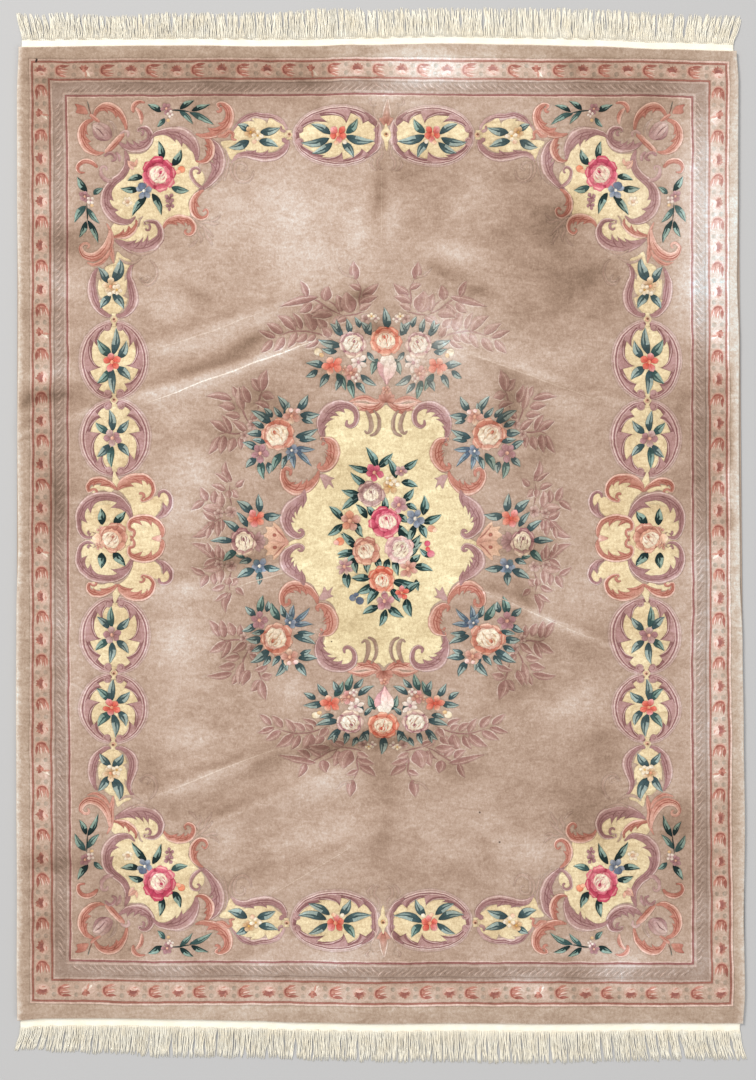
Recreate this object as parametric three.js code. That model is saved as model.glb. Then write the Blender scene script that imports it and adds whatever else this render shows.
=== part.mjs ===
// Carved wool rug with a fringe along each end, lying flat.
// Millimetres. +X to the right, +Y up the length of the rug, +Z up from the floor.
// The origin is in the middle of the underside, fringes included.
import * as THREE from 'three';

// ---- driving sizes ----
const PILE_LEFT = -1218.5;      // straight reference lines of the pile's four edges
const PILE_RIGHT = 1226.8;
const PILE_TOP = 1652.0;
const PILE_BOTTOM = -1643.5;
const PILE_HEIGHT = 15.0;       // foundation and pile together
const SELVEDGE_HEIGHT = 4.0;    // the rug is widest from here up to SHOULDER_HEIGHT
const SHOULDER_HEIGHT = 11.0;
const UNDER_INSET = 3.0;        // the underside is this much smaller all round
const TOP_INSET = 5.0;          // and the flat of the pile this much
const SWELL = 0.9;              // slow unevenness of the pile's top
const FOLD_AXIS = 10.0;         // the lengthwise fold lies at this X
const CREASE_REACH = 82.0;      // a crease fades out over this distance to each side
const CREASE_END = 110.0;       // and over this length at its ends

const BAND_WIDTH = 29.0;        // flat-woven end band between pile and fringe
const BAND_INSET = 9.0;         // the band stops this far inside the side edges
const BAND_HEIGHT = 4.0;
const GAP = 0.35;               // between the pile and each fringe comb
const TASSELS = 128;            // bunches of warp ends along each fringe
const TASSEL_FILL = 0.83;       // share of the spacing that a bunch fills at its base
const TASSEL_TAPER = 0.88;      // width at the tip over width at the base
const TASSEL_HEIGHT = 6.0;
const TIP_HEIGHT = 4.4;
const FLANK_HEIGHT = 2.6;

// Unevenness of each edge: at = share of the edge from left or from the bottom, out = mm outwards.
const LEFT_WAVE = [
  { at: 0.00, out: 0.0 }, { at: 0.06, out: 1.7 }, { at: 0.13, out: 0.7 }, { at: 0.23, out: 2.7 },
  { at: 0.33, out: 3.7 }, { at: 0.42, out: 2.4 }, { at: 0.49, out: -3.2 }, { at: 0.59, out: -1.0 },
  { at: 0.74, out: -4.0 }, { at: 0.84, out: 0.0 }, { at: 0.95, out: 0.6 }, { at: 1.00, out: -5.0 },
];
const RIGHT_WAVE = [
  { at: 0.00, out: 6.7 }, { at: 0.03, out: 12.6 }, { at: 0.11, out: 8.4 }, { at: 0.20, out: 12.2 },
  { at: 0.30, out: 8.3 }, { at: 0.39, out: 4.5 }, { at: 0.46, out: -3.6 }, { at: 0.59, out: -7.4 },
  { at: 0.70, out: -6.6 }, { at: 0.765, out: -13.6 }, { at: 0.86, out: -10.6 }, { at: 0.97, out: -9.4 },
  { at: 1.00, out: -15.5 },
];
const TOP_WAVE = [
  { at: 0.00, out: -1.7 }, { at: 0.16, out: 2.7 }, { at: 0.25, out: 3.4 }, { at: 0.33, out: 0.1 },
  { at: 0.40, out: 1.0 }, { at: 0.47, out: 5.0 }, { at: 0.60, out: 10.0 }, { at: 0.70, out: 5.8 },
  { at: 0.80, out: 0.4 }, { at: 0.90, out: -9.4 }, { at: 1.00, out: -15.5 },
];
const BOTTOM_WAVE = [
  { at: 0.00, out: -5.0 }, { at: 0.04, out: -11.4 }, { at: 0.12, out: -12.2 }, { at: 0.22, out: -8.3 },
  { at: 0.32, out: -4.0 }, { at: 0.39, out: 2.7 }, { at: 0.50, out: 7.2 }, { at: 0.60, out: 5.0 },
  { at: 0.74, out: 7.4 }, { at: 0.87, out: 4.0 }, { at: 1.00, out: 5.0 },
];

// Lines left by folding: each falls away to both sides of the lengthwise fold, as far as reach.
const FOLD_LINES = [
  { name: 'f', apex: -980, fallLeft: 0.59, fallRight: 0.40, reach: 420 },
  { name: 'e', apex: -734, fallLeft: 0.417, fallRight: 0.35, reach: 600 },
  { name: 'd', apex: -592, fallLeft: 0.364, fallRight: 0.35, reach: 850 },
  { name: 'c', apex: -49, fallLeft: 0.173, fallRight: 0.42, reach: 1230 },
  { name: 'b', apex: 721, fallLeft: 0.311, fallRight: 0.342, reach: 1230 },
  { name: 'a', apex: 893, fallLeft: 0.333, fallRight: 0.30, reach: 1230 },
];
// The stretches of those lines that still stand up: from and to = mm from the lengthwise fold.
const CREASES = [
  { line: 'a', side: -1, from: 290, to: 796, rise: 2.6 },
  { line: 'b', side: -1, from: 145, to: 1208, rise: 4.0 },
  { line: 'b', side: 1, from: 250, to: 773, rise: 3.5 },
  { line: 'c', side: -1, from: 273, to: 780, rise: 2.5 },
  { line: 'c', side: 1, from: 300, to: 756, rise: 3.5 },
  { line: 'd', side: -1, from: 334, to: 780, rise: 3.0 },
  { line: 'e', side: -1, from: 138, to: 526, rise: 3.0 },
  { line: 'f', side: -1, from: 20, to: 391, rise: 2.6 },
];
// The lengthwise fold shows in two stretches: low and high = Y in mm.
const LENGTH_FOLDS = [
  { shift: 0, low: 890, high: 1290, rise: 2.4 },
  { shift: -118, low: 1440, high: 1640, rise: 3.6 },
];

// Fringes: at = share of the width; long = mm from pile to tip; lean = mm sideways at the tip.
const TOP_FRINGE = [
  { at: 0.00, long: 117, lean: -24 }, { at: 0.05, long: 116, lean: -10 }, { at: 0.12, long: 108, lean: -5 },
  { at: 0.25, long: 116, lean: -3 }, { at: 0.34, long: 121, lean: -3 }, { at: 0.42, long: 130, lean: -3 },
  { at: 0.53, long: 123, lean: -3 }, { at: 0.66, long: 125, lean: -2 }, { at: 0.78, long: 130, lean: 0 },
  { at: 0.87, long: 125, lean: 4 }, { at: 0.95, long: 122, lean: 13 }, { at: 1.00, long: 123, lean: 30 },
];
const BOTTOM_FRINGE = [
  { at: 0.00, long: 106, lean: -25 }, { at: 0.06, long: 116, lean: -14 }, { at: 0.12, long: 124, lean: -8 },
  { at: 0.20, long: 132, lean: -6 }, { at: 0.36, long: 130, lean: -4 }, { at: 0.52, long: 132, lean: 2 },
  { at: 0.62, long: 136, lean: 3 }, { at: 0.72, long: 135, lean: 6 }, { at: 0.85, long: 132, lean: 16 },
  { at: 0.95, long: 127, lean: 23 }, { at: 1.00, long: 127, lean: 24 },
];
// Places where the bunches lie apart: x = mm, open = mm between the tips.
const TOP_PARTINGS = [
  { x: -800, open: 6 }, { x: -650, open: 6 }, { x: -505, open: 9 }, { x: -465, open: 8 },
  { x: -330, open: 5 }, { x: 410, open: 5 }, { x: 1030, open: 7 }, { x: 1095, open: 6 },
];
const BOTTOM_PARTINGS = [
  { x: -1120, open: 7 }, { x: -780, open: 12 }, { x: -688, open: 12 }, { x: -640, open: 8 },
  { x: -585, open: 8 }, { x: -440, open: 6 }, { x: -370, open: 14 }, { x: -275, open: 9 },
  { x: -225, open: 8 }, { x: -75, open: 6 }, { x: 885, open: 6 }, { x: 1020, open: 7 },
];

// ---- helpers ----
const smooth = (t) => t * t * (3 - 2 * t);
const clamp = (t, a, b) => Math.min(Math.max(t, a), b);
const mix = (a, b, t) => a + (b - a) * t;

function lookUp(table, at, column) {
  let k = 0;
  while (k < table.length - 2 && at > table[k + 1].at) k += 1;
  const a = table[k], b = table[k + 1];
  return mix(a[column], b[column], smooth(clamp((at - a.at) / (b.at - a.at), 0, 1)));
}

// A repeatable number from 0 to 1 for the bunch with this number.
function chance(n, salt) {
  let h = Math.imul(n + 1, 374761393) ^ Math.imul(salt + 7, 668265263);
  h = Math.imul(h ^ (h >>> 13), 1274126177);
  return ((h ^ (h >>> 16)) >>> 0) / 4294967296;
}

// A point of the rug at these shares of its width and length, with the outline drawn in by inset.
function place(u, v, inset) {
  const left = PILE_LEFT - lookUp(LEFT_WAVE, v, 'out') + inset;
  const right = PILE_RIGHT + lookUp(RIGHT_WAVE, v, 'out') - inset;
  const low = PILE_BOTTOM - lookUp(BOTTOM_WAVE, u, 'out') + inset;
  const high = PILE_TOP + lookUp(TOP_WAVE, u, 'out') - inset;
  return [mix(left, right, u), mix(low, high, v)];
}

function foldLineY(line, x) {
  const off = x - FOLD_AXIS;
  const fall = off < 0 ? line.fallLeft : line.fallRight;
  return line.apex - fall * Math.min(Math.abs(off), line.reach);
}

const bump = (d) => (d >= 1 ? 0 : (1 - d * d) ** 2);

function topHeight(x, y) {
  let z = PILE_HEIGHT + SWELL * (Math.sin(x / 310 + 0.6) * Math.cos(y / 420) + 0.6 * Math.sin(y / 260 - x / 540)) / 1.6;
  for (const c of CREASES) {
    const line = FOLD_LINES.find((f) => f.name === c.line);
    const off = (x - FOLD_AXIS) * c.side;
    const fall = c.side < 0 ? line.fallLeft : line.fallRight;
    const across = Math.abs(y - foldLineY(line, x)) / Math.hypot(1, fall);
    const past = Math.max(c.from - off, off - c.to, 0);
    z += c.rise * bump(across / CREASE_REACH) * bump(past / CREASE_END);
  }
  for (const f of LENGTH_FOLDS) {
    const across = Math.abs(x - FOLD_AXIS - f.shift);
    const past = Math.max(f.low - y, y - f.high, 0);
    z += f.rise * bump(across / CREASE_REACH) * bump(past / CREASE_END);
  }
  return z;
}

function toMesh(name, points, faces, material) {
  const geometry = new THREE.BufferGeometry();
  geometry.setAttribute('position', new THREE.Float32BufferAttribute(points.flat(), 3));
  geometry.setIndex(faces.flat());
  geometry.computeVertexNormals();
  const mesh = new THREE.Mesh(geometry, material);
  mesh.name = name;
  return mesh;
}

// ---- the rug: one solid with a flat underside ----
// Columns lie close together at the lengthwise fold.
function columnShares() {
  const width = PILE_RIGHT - PILE_LEFT;
  const shares = [];
  const perSide = 11;
  const near = [0, 42, 85];
  const middle = FOLD_AXIS - PILE_LEFT;
  for (let k = 0; k < perSide; k += 1) shares.push(mix(0, middle - 85, k / perSide) / width);
  for (const d of [-85, -42]) shares.push((middle + d) / width);
  for (const d of near) shares.push((middle + d) / width);
  for (let k = 1; k <= perSide; k += 1) shares.push(mix(middle + 85, width, k / perSide) / width);
  return shares;
}

// Rows follow the fold lines and lie close together beside them.
function rowPlaces() {
  const lines = [null, ...FOLD_LINES, null];
  const rows = [];
  for (let k = 0; k < lines.length - 1; k += 1) {
    const from = lines[k], to = lines[k + 1];
    const low = from ? from.apex : PILE_BOTTOM;
    const high = to ? to.apex : PILE_TOP;
    const length = high - low;
    const near = Math.min(40, length / 4);
    const steps = [0];
    if (from) steps.push(near, 2 * near);
    const start = steps[steps.length - 1];
    const end = length - (to ? 2 * near : 0);
    const count = Math.max(Math.round((end - start) / 95), 0);
    for (let n = 1; n < count; n += 1) steps.push(mix(start, end, n / count));
    if (end - start > 1) steps.push(end);
    if (to) steps.push(length - near);
    for (const s of steps) if (s < length - 1) rows.push({ from, to, share: s / length });
  }
  rows.push({ from: null, to: null, share: 1 });
  return rows;
}

function rowShare(row, u) {
  if (!row.from && !row.to && row.share === 1) return 1;
  const x = mix(PILE_LEFT, PILE_RIGHT, u);
  const y0 = row.from ? foldLineY(row.from, x) : PILE_BOTTOM;
  const y1 = row.to ? foldLineY(row.to, x) : PILE_TOP;
  return (mix(y0, y1, row.share) - PILE_BOTTOM) / (PILE_TOP - PILE_BOTTOM);
}

const columns = columnShares();
const rows = rowPlaces();

function buildRug(material) {
  const nc = columns.length, nr = rows.length;
  const points = [], faces = [];
  for (let r = 0; r < nr; r += 1) {
    for (let c = 0; c < nc; c += 1) {
      const [x, y] = place(columns[c], rowShare(rows[r], columns[c]), TOP_INSET);
      points.push([x, y, topHeight(x, y)]);
    }
  }
  for (let r = 0; r < nr - 1; r += 1) {
    for (let c = 0; c < nc - 1; c += 1) {
      const a = r * nc + c, b = a + 1, d = a + nc, e = d + 1;
      // the diagonal falls the same way as the fold lines do
      if (mix(0, 1, columns[c]) < 0.5) faces.push([a, b, e], [a, e, d]);
      else faces.push([a, b, d], [b, e, d]);
    }
  }
  // the edge of the top, anticlockwise from the bottom left corner
  const edge = [];
  for (let c = 0; c < nc; c += 1) edge.push([columns[c], 0, c]);
  for (let r = 1; r < nr; r += 1) edge.push([1, rowShare(rows[r], 1), r * nc + nc - 1]);
  for (let c = nc - 2; c >= 0; c -= 1) edge.push([columns[c], 1, (nr - 1) * nc + c]);
  for (let r = nr - 2; r >= 1; r -= 1) edge.push([0, rowShare(rows[r], 0), r * nc]);
  const levels = [
    { inset: 0, z: SHOULDER_HEIGHT }, { inset: 0, z: SELVEDGE_HEIGHT }, { inset: UNDER_INSET, z: 0 },
  ];
  let upper = edge.map((e) => e[2]);
  for (const level of levels) {
    const lower = edge.map(([u, v]) => {
      const [x, y] = place(u, v, level.inset);
      points.push([x, y, level.z]);
      return points.length - 1;
    });
    for (let k = 0; k < edge.length; k += 1) {
      const n = (k + 1) % edge.length;
      faces.push([lower[k], lower[n], upper[n]], [lower[k], upper[n], upper[k]]);
    }
    upper = lower;
  }
  const flat = upper.map((k) => new THREE.Vector2(points[k][0], points[k][1]));
  for (const [a, b, c] of THREE.ShapeUtils.triangulateShape(flat, [])) faces.push([upper[a], upper[c], upper[b]]);
  return toMesh('rug', points, faces, material);
}

// ---- a fringe: one comb of bunched warp ends on its woven band ----
// way = 1 at the top end, -1 at the bottom end.
function buildFringe(name, way, table, partings, material) {
  const v = way > 0 ? 1 : 0;
  const edge = columns.map((u) => place(u, v, 0));
  const first = edge[0][0] + BAND_INSET;
  const last = edge[edge.length - 1][0] - BAND_INSET;
  const pileY = (x) => {
    let k = 0;
    while (k < edge.length - 2 && x > edge[k + 1][0]) k += 1;
    return mix(edge[k][1], edge[k + 1][1], (x - edge[k][0]) / (edge[k + 1][0] - edge[k][0]));
  };
  const points = [], faces = [];
  const add = (x, y, z) => points.push([x, y, z]) - 1;
  const face = (a, b, c) => faces.push(way > 0 ? [a, b, c] : [a, c, b]);

  // inner edge of the band, from left to right, top and bottom
  const innerX = [first, ...edge.map((p) => p[0]).filter((x) => x > first + 4 && x < last - 4), last];
  const inner = innerX.map((x) => {
    const y = pileY(x) + way * GAP;
    return { top: add(x, y, BAND_HEIGHT), low: add(x, y, 0) };
  });

  const pitch = (last - first) / TASSELS;
  const teeth = [];
  for (let n = 0; n < TASSELS; n += 1) {
    const x = first + (n + 0.5) * pitch;
    const at = (n + 0.5) / TASSELS;
    const half = pitch * TASSEL_FILL * (0.94 + 0.12 * chance(n, 1)) / 2;
    const y = pileY(x) + way * (GAP + BAND_WIDTH + 1.6 * (chance(n, 2) - 0.5));
    let shift = lookUp(table, at, 'lean') + 4.4 * (chance(n, 3) - 0.5);
    for (const p of partings) {
      const off = x - p.x;
      if (Math.abs(off) < 4 * pitch) shift += Math.sign(off) * p.open * (1 - Math.abs(off) / (4 * pitch)) / 2;
    }
    const long = lookUp(table, at, 'long') - BAND_WIDTH + 8 * (chance(n, 4) - 0.6);
    teeth.push({ x, y, half, tipX: x + shift, tipY: y + way * long, tipHalf: half * TASSEL_TAPER });
  }
  // neighbours never touch at their tips
  for (let n = 1; n < TASSELS; n += 1) {
    const a = teeth[n - 1], b = teeth[n];
    const need = a.tipX + a.tipHalf + 0.9 - (b.tipX - b.tipHalf);
    if (need > 0) { b.tipX += need / 2; a.tipX -= need / 2; }
  }
  const made = teeth.map((t) => ({
    leftTop: add(t.x - t.half, t.y, FLANK_HEIGHT), midTop: add(t.x, t.y, TASSEL_HEIGHT), rightTop: add(t.x + t.half, t.y, FLANK_HEIGHT),
    leftLow: add(t.x - t.half, t.y, 0), rightLow: add(t.x + t.half, t.y, 0),
    tipLeftTop: add(t.tipX - t.tipHalf, t.tipY, FLANK_HEIGHT * 0.8), tipMidTop: add(t.tipX, t.tipY + way * 1.5, TIP_HEIGHT),
    tipRightTop: add(t.tipX + t.tipHalf, t.tipY, FLANK_HEIGHT * 0.8),
    tipLeftLow: add(t.tipX - t.tipHalf, t.tipY, 0), tipRightLow: add(t.tipX + t.tipHalf, t.tipY, 0),
  }));

  const fill = (ring, up) => {
    const flat = ring.map((k) => new THREE.Vector2(points[k][0], points[k][1]));
    for (const [a, b, c] of THREE.ShapeUtils.triangulateShape(flat, [])) {
      if (up) faces.push([ring[a], ring[b], ring[c]]);
      else faces.push([ring[a], ring[c], ring[b]]);
    }
  };
  // top of the band, then the underside of everything
  const bandTop = [...inner.map((p) => p.top), ...made.flatMap((t) => [t.leftTop, t.midTop, t.rightTop]).reverse()];
  fill(bandTop, true);
  const under = [...inner.map((p) => p.low), ...made.flatMap((t) => [t.leftLow, t.tipLeftLow, t.tipRightLow, t.rightLow]).reverse()];
  fill(under, false);
  // each bunch
  for (const t of made) {
    face(t.leftTop, t.midTop, t.tipMidTop); face(t.leftTop, t.tipMidTop, t.tipLeftTop);
    face(t.midTop, t.rightTop, t.tipRightTop); face(t.midTop, t.tipRightTop, t.tipMidTop);
    face(t.leftLow, t.leftTop, t.tipLeftTop); face(t.leftLow, t.tipLeftTop, t.tipLeftLow);
    face(t.tipRightLow, t.tipRightTop, t.rightTop); face(t.tipRightLow, t.rightTop, t.rightLow);
    face(t.tipLeftLow, t.tipLeftTop, t.tipMidTop); face(t.tipLeftLow, t.tipMidTop, t.tipRightLow);
    face(t.tipRightLow, t.tipMidTop, t.tipRightTop);
  }
  // the notch between neighbours, the two ends of the band, and its inner edge
  const wall = (aLow, aTop, bLow, bTop) => { face(aLow, aTop, bTop); face(aLow, bTop, bLow); };
  for (let n = 0; n < TASSELS - 1; n += 1) {
    wall(made[n].rightLow, made[n].rightTop, made[n + 1].leftLow, made[n + 1].leftTop);
  }
  const a = inner[0], z = inner[inner.length - 1], s = made[0], e = made[TASSELS - 1];
  wall(a.low, a.top, s.leftLow, s.leftTop);
  wall(e.rightLow, e.rightTop, z.low, z.top);
  for (let k = inner.length - 1; k > 0; k -= 1) wall(inner[k].low, inner[k].top, inner[k - 1].low, inner[k - 1].top);
  return toMesh(name, points, faces, material);
}

const wool = new THREE.MeshStandardMaterial({ color: 0xc3a798, roughness: 0.95, metalness: 0 });
const cotton = new THREE.MeshStandardMaterial({ color: 0xefe9d6, roughness: 0.92, metalness: 0 });
const cottonEnd = new THREE.MeshStandardMaterial({ color: 0xf0ead8, roughness: 0.92, metalness: 0 });

const part = new THREE.Group();
part.name = 'aubusson_rug';
part.add(buildRug(wool));
part.add(buildFringe('fringe_top', 1, TOP_FRINGE, TOP_PARTINGS, cotton));
part.add(buildFringe('fringe_bottom', -1, BOTTOM_FRINGE, BOTTOM_PARTINGS, cottonEnd));

// Moves everything so that the origin is exactly in the middle of the underside.
const whole = new THREE.Box3().setFromObject(part);
const middle = whole.getCenter(new THREE.Vector3());
for (const mesh of part.children) mesh.geometry.translate(-middle.x, -middle.y, -whole.min.z);

export default part;
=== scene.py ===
import math
import random

import bpy
import numpy as np
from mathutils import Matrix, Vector
from mathutils.geometry import delaunay_2d_cdt


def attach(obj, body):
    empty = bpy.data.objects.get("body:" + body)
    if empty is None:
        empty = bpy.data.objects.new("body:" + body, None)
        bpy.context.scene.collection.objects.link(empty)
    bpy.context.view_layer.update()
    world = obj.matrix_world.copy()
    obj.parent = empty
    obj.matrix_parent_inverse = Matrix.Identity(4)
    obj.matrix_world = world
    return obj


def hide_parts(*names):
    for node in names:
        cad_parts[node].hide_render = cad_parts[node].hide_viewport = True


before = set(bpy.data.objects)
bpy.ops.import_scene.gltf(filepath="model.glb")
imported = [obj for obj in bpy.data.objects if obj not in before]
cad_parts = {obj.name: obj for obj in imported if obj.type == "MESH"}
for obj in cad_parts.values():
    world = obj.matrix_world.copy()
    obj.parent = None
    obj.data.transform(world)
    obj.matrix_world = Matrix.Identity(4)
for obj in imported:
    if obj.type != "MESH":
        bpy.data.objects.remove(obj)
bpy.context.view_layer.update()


# ---------------------------------------------------------------- the chart
# The pattern is charted in units of UNIT metres, x to the right and y down from the top left, and every motif is
# built from a few named sizes by the functions below.
UNIT = 0.003375
AXIS_X, AXIS_Y = 386.5, 537.5
TAU = 2 * math.pi

COLOURS = {
    "field": (189, 165, 147), "margin": (187, 166, 147), "rose_field": (196, 170, 154),
    "mauve": (182, 143, 140), "mauve_dark": (142, 100, 99), "mauve_pale": (216, 188, 180), "mauve_line": (128, 86, 86),
    "branch": (188, 155, 143), "branch_dark": (159, 120, 112), "branch_pale": (220, 196, 183),
    "salmon": (207, 151, 133), "salmon_dark": (168, 101, 85), "salmon_pale": (232, 192, 175), "salmon_line": (142, 74, 60),
    "yellow": (236, 220, 180), "yellow_deep": (229, 208, 166), "medal": (238, 223, 180), "medal_deep": (232, 212, 164),
    "leaf_dark": (8, 31, 31), "leaf_teal": (44, 72, 70), "leaf_mid": (92, 119, 112), "leaf_aqua": (166, 191, 176), "leaf_pale": (200, 216, 204),
    "leaf_grey": (102, 128, 130), "leaf_ink": (38, 64, 70),
    "crimson": (205, 74, 100), "crimson_dark": (164, 46, 72), "pink": (231, 132, 150), "pink_pale": (244, 190, 190),
    "red": (206, 62, 48), "red_soft": (226, 110, 88), "orange": (228, 122, 88), "orange_pale": (244, 176, 140), "orange_dark": (196, 84, 56),
    "cream": (250, 234, 204), "cream_deep": (240, 212, 168), "white": (252, 246, 230),
    "terra": (180, 116, 100), "terra_dark": (154, 90, 77), "terra_soft": (204, 144, 126), "terra_pale": (224, 182, 164),
    "guard": (166, 111, 96), "guard_mauve": (160, 108, 102), "guard_pale": (230, 202, 188),
    "band": (199, 174, 156), "band_dot": (152, 140, 124), "grey": (169, 148, 134), "grey_dark": (135, 116, 104), "grey_pale": (196, 174, 161),
    "blue": (122, 134, 154), "blue_dark": (80, 94, 118), "blue_pale": (172, 181, 192),
    "plum": (150, 92, 104), "plum_pale": (188, 140, 146), "tan": (214, 170, 120), "tan_dark": (180, 130, 84),
    "gold": (226, 178, 96), "brown": (120, 84, 60), "peach": (238, 186, 158), "peach_dark": (206, 138, 110),
}


def lin(rgb):
    c = np.asarray(rgb, float) / 255.0
    return np.where(c <= 0.04045, c / 12.92, ((c + 0.055) / 1.055) ** 2.4)


def tone(c):
    return np.array(COLOURS[c], float) if isinstance(c, str) else np.asarray(c, float)


def mixed(a, b, t):
    return tone(a) * (1 - t) + tone(b) * t


class Dice:
    """Repeatable numbers, one stream for each motif."""

    def __init__(self, seed):
        self.r = random.Random(seed)

    def around(self, spread):
        return self.r.uniform(-spread, spread)

    def between(self, a, b):
        return self.r.uniform(a, b)


class Shape:
    """A closed outline with a colour that runs from c0 at p0 to c1 at p1. group says which shapes are carved apart."""

    __slots__ = ("pts", "p0", "p1", "c0", "c1", "group", "layer", "rise", "soft")

    def __init__(self, pts, c0, c1=None, p0=None, p1=None, group=0, layer=0, rise=0.0, soft=0.0):
        self.pts = np.asarray(pts, float)
        self.c0 = tone(c0)
        self.c1 = self.c0 if c1 is None else tone(c1)
        self.p0 = self.pts.mean(0) if p0 is None else np.asarray(p0, float)
        self.p1 = self.p0 + (1.0, 0.0) if p1 is None else np.asarray(p1, float)
        self.group, self.layer, self.rise, self.soft = group, layer, rise, soft


class Sheet:
    """Collects shapes. fold_mode says how they repeat: over all four quarters, left and right, top and bottom, or once.
    """

    def __init__(self):
        self.items = []
        self.groups = 1
        self.fold_mode = "four"
        self.layer = 0
        self.seed = 0

    def new_group(self):
        self.groups += 1
        return self.groups

    def dice(self):
        self.seed += 1
        return Dice(self.seed * 7919)

    def add(self, pts, c0, c1=None, p0=None, p1=None, group=None, rise=0.0, soft=0.0):
        g = self.new_group() if group is None else group
        self.items.append((self.fold_mode, Shape(pts, c0, c1, p0, p1, g, self.layer, rise, soft)))
        return g


S = Sheet()


def catmull(rows, per=6, closed=False):
    """A smooth run through rows of numbers, with about per steps between two."""
    rows = np.asarray(rows, float)
    n = len(rows)
    out = []
    last = n if closed else n - 1
    for i in range(last):
        if closed:
            a, b, c, d = (rows[(i + k) % n] for k in (-1, 0, 1, 2))
        else:
            a = rows[i - 1] if i > 0 else 2 * rows[0] - rows[1]
            b, c = rows[i], rows[i + 1]
            d = rows[i + 2] if i + 2 < n else 2 * rows[-1] - rows[-2]
        for k in range(per):
            t = k / per
            out.append(0.5 * (2 * b + (c - a) * t + (2 * a - 5 * b + 4 * c - d) * t * t + (3 * b - a - 3 * c + d) * t ** 3))
    if not closed:
        out.append(rows[-1])
    return np.array(out)


def even(pts, step, closed=False):
    """The same line with its points about step apart, keeping its ends."""
    p = np.asarray(pts, float)
    if closed:
        p = np.vstack([p, p[:1]])
    seg = np.hypot(*np.diff(p[:, :2], axis=0).T)
    run = np.concatenate([[0], np.cumsum(seg)])
    n = max(int(round(run[-1] / step)), 3 if closed else 1)
    at = np.linspace(0, run[-1], n + 1)
    out = np.stack([np.interp(at, run, p[:, k]) for k in range(p.shape[1])], 1)
    return out[:-1] if closed else out


def normals_of(line):
    d = np.gradient(line[:, :2], axis=0)
    d /= np.maximum(np.hypot(d[:, 0], d[:, 1]), 1e-9)[:, None]
    return np.stack([-d[:, 1], d[:, 0]], 1)


def ribbon(rows, step=1.3, round_ends=True):
    """rows of x, y and full width: the outline of a stroke through them, its centre line and its half widths."""
    line = even(catmull(rows, 7), step)
    half = np.maximum(line[:, 2], 0.0) / 2
    side = normals_of(line)
    left = line[:, :2] + side * half[:, None]
    right = line[:, :2] - side * half[:, None]
    parts = [left]
    if round_ends and half[-1] > 0.6:
        d = line[-1, :2] - line[-2, :2]
        d /= max(np.hypot(*d), 1e-9)
        parts.append((line[-1, :2] + d * half[-1] * 0.8)[None])
    parts.append(right[::-1])
    if round_ends and half[0] > 0.6:
        d = line[0, :2] - line[1, :2]
        d /= max(np.hypot(*d), 1e-9)
        parts.append((line[0, :2] + d * half[0] * 0.8)[None])
    return np.vstack(parts), line, half, side


def sliver(line, width, c0, c1=None, group=None, rise=0.0, soft=0.0):
    """A thin drawn line that tapers to both ends."""
    line = np.asarray(line, float)
    t = np.linspace(0, 1, len(line))
    half = width / 2 * np.clip(np.sin(math.pi * np.clip(t, 0.02, 0.98)) ** 0.6, 0.05, 1)
    side = normals_of(line)
    pts = np.vstack([line[:, :2] + side * half[:, None], (line[:, :2] - side * half[:, None])[::-1]])
    S.add(pts, c0, c1, line[0, :2], line[-1, :2], group, rise, soft)


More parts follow.
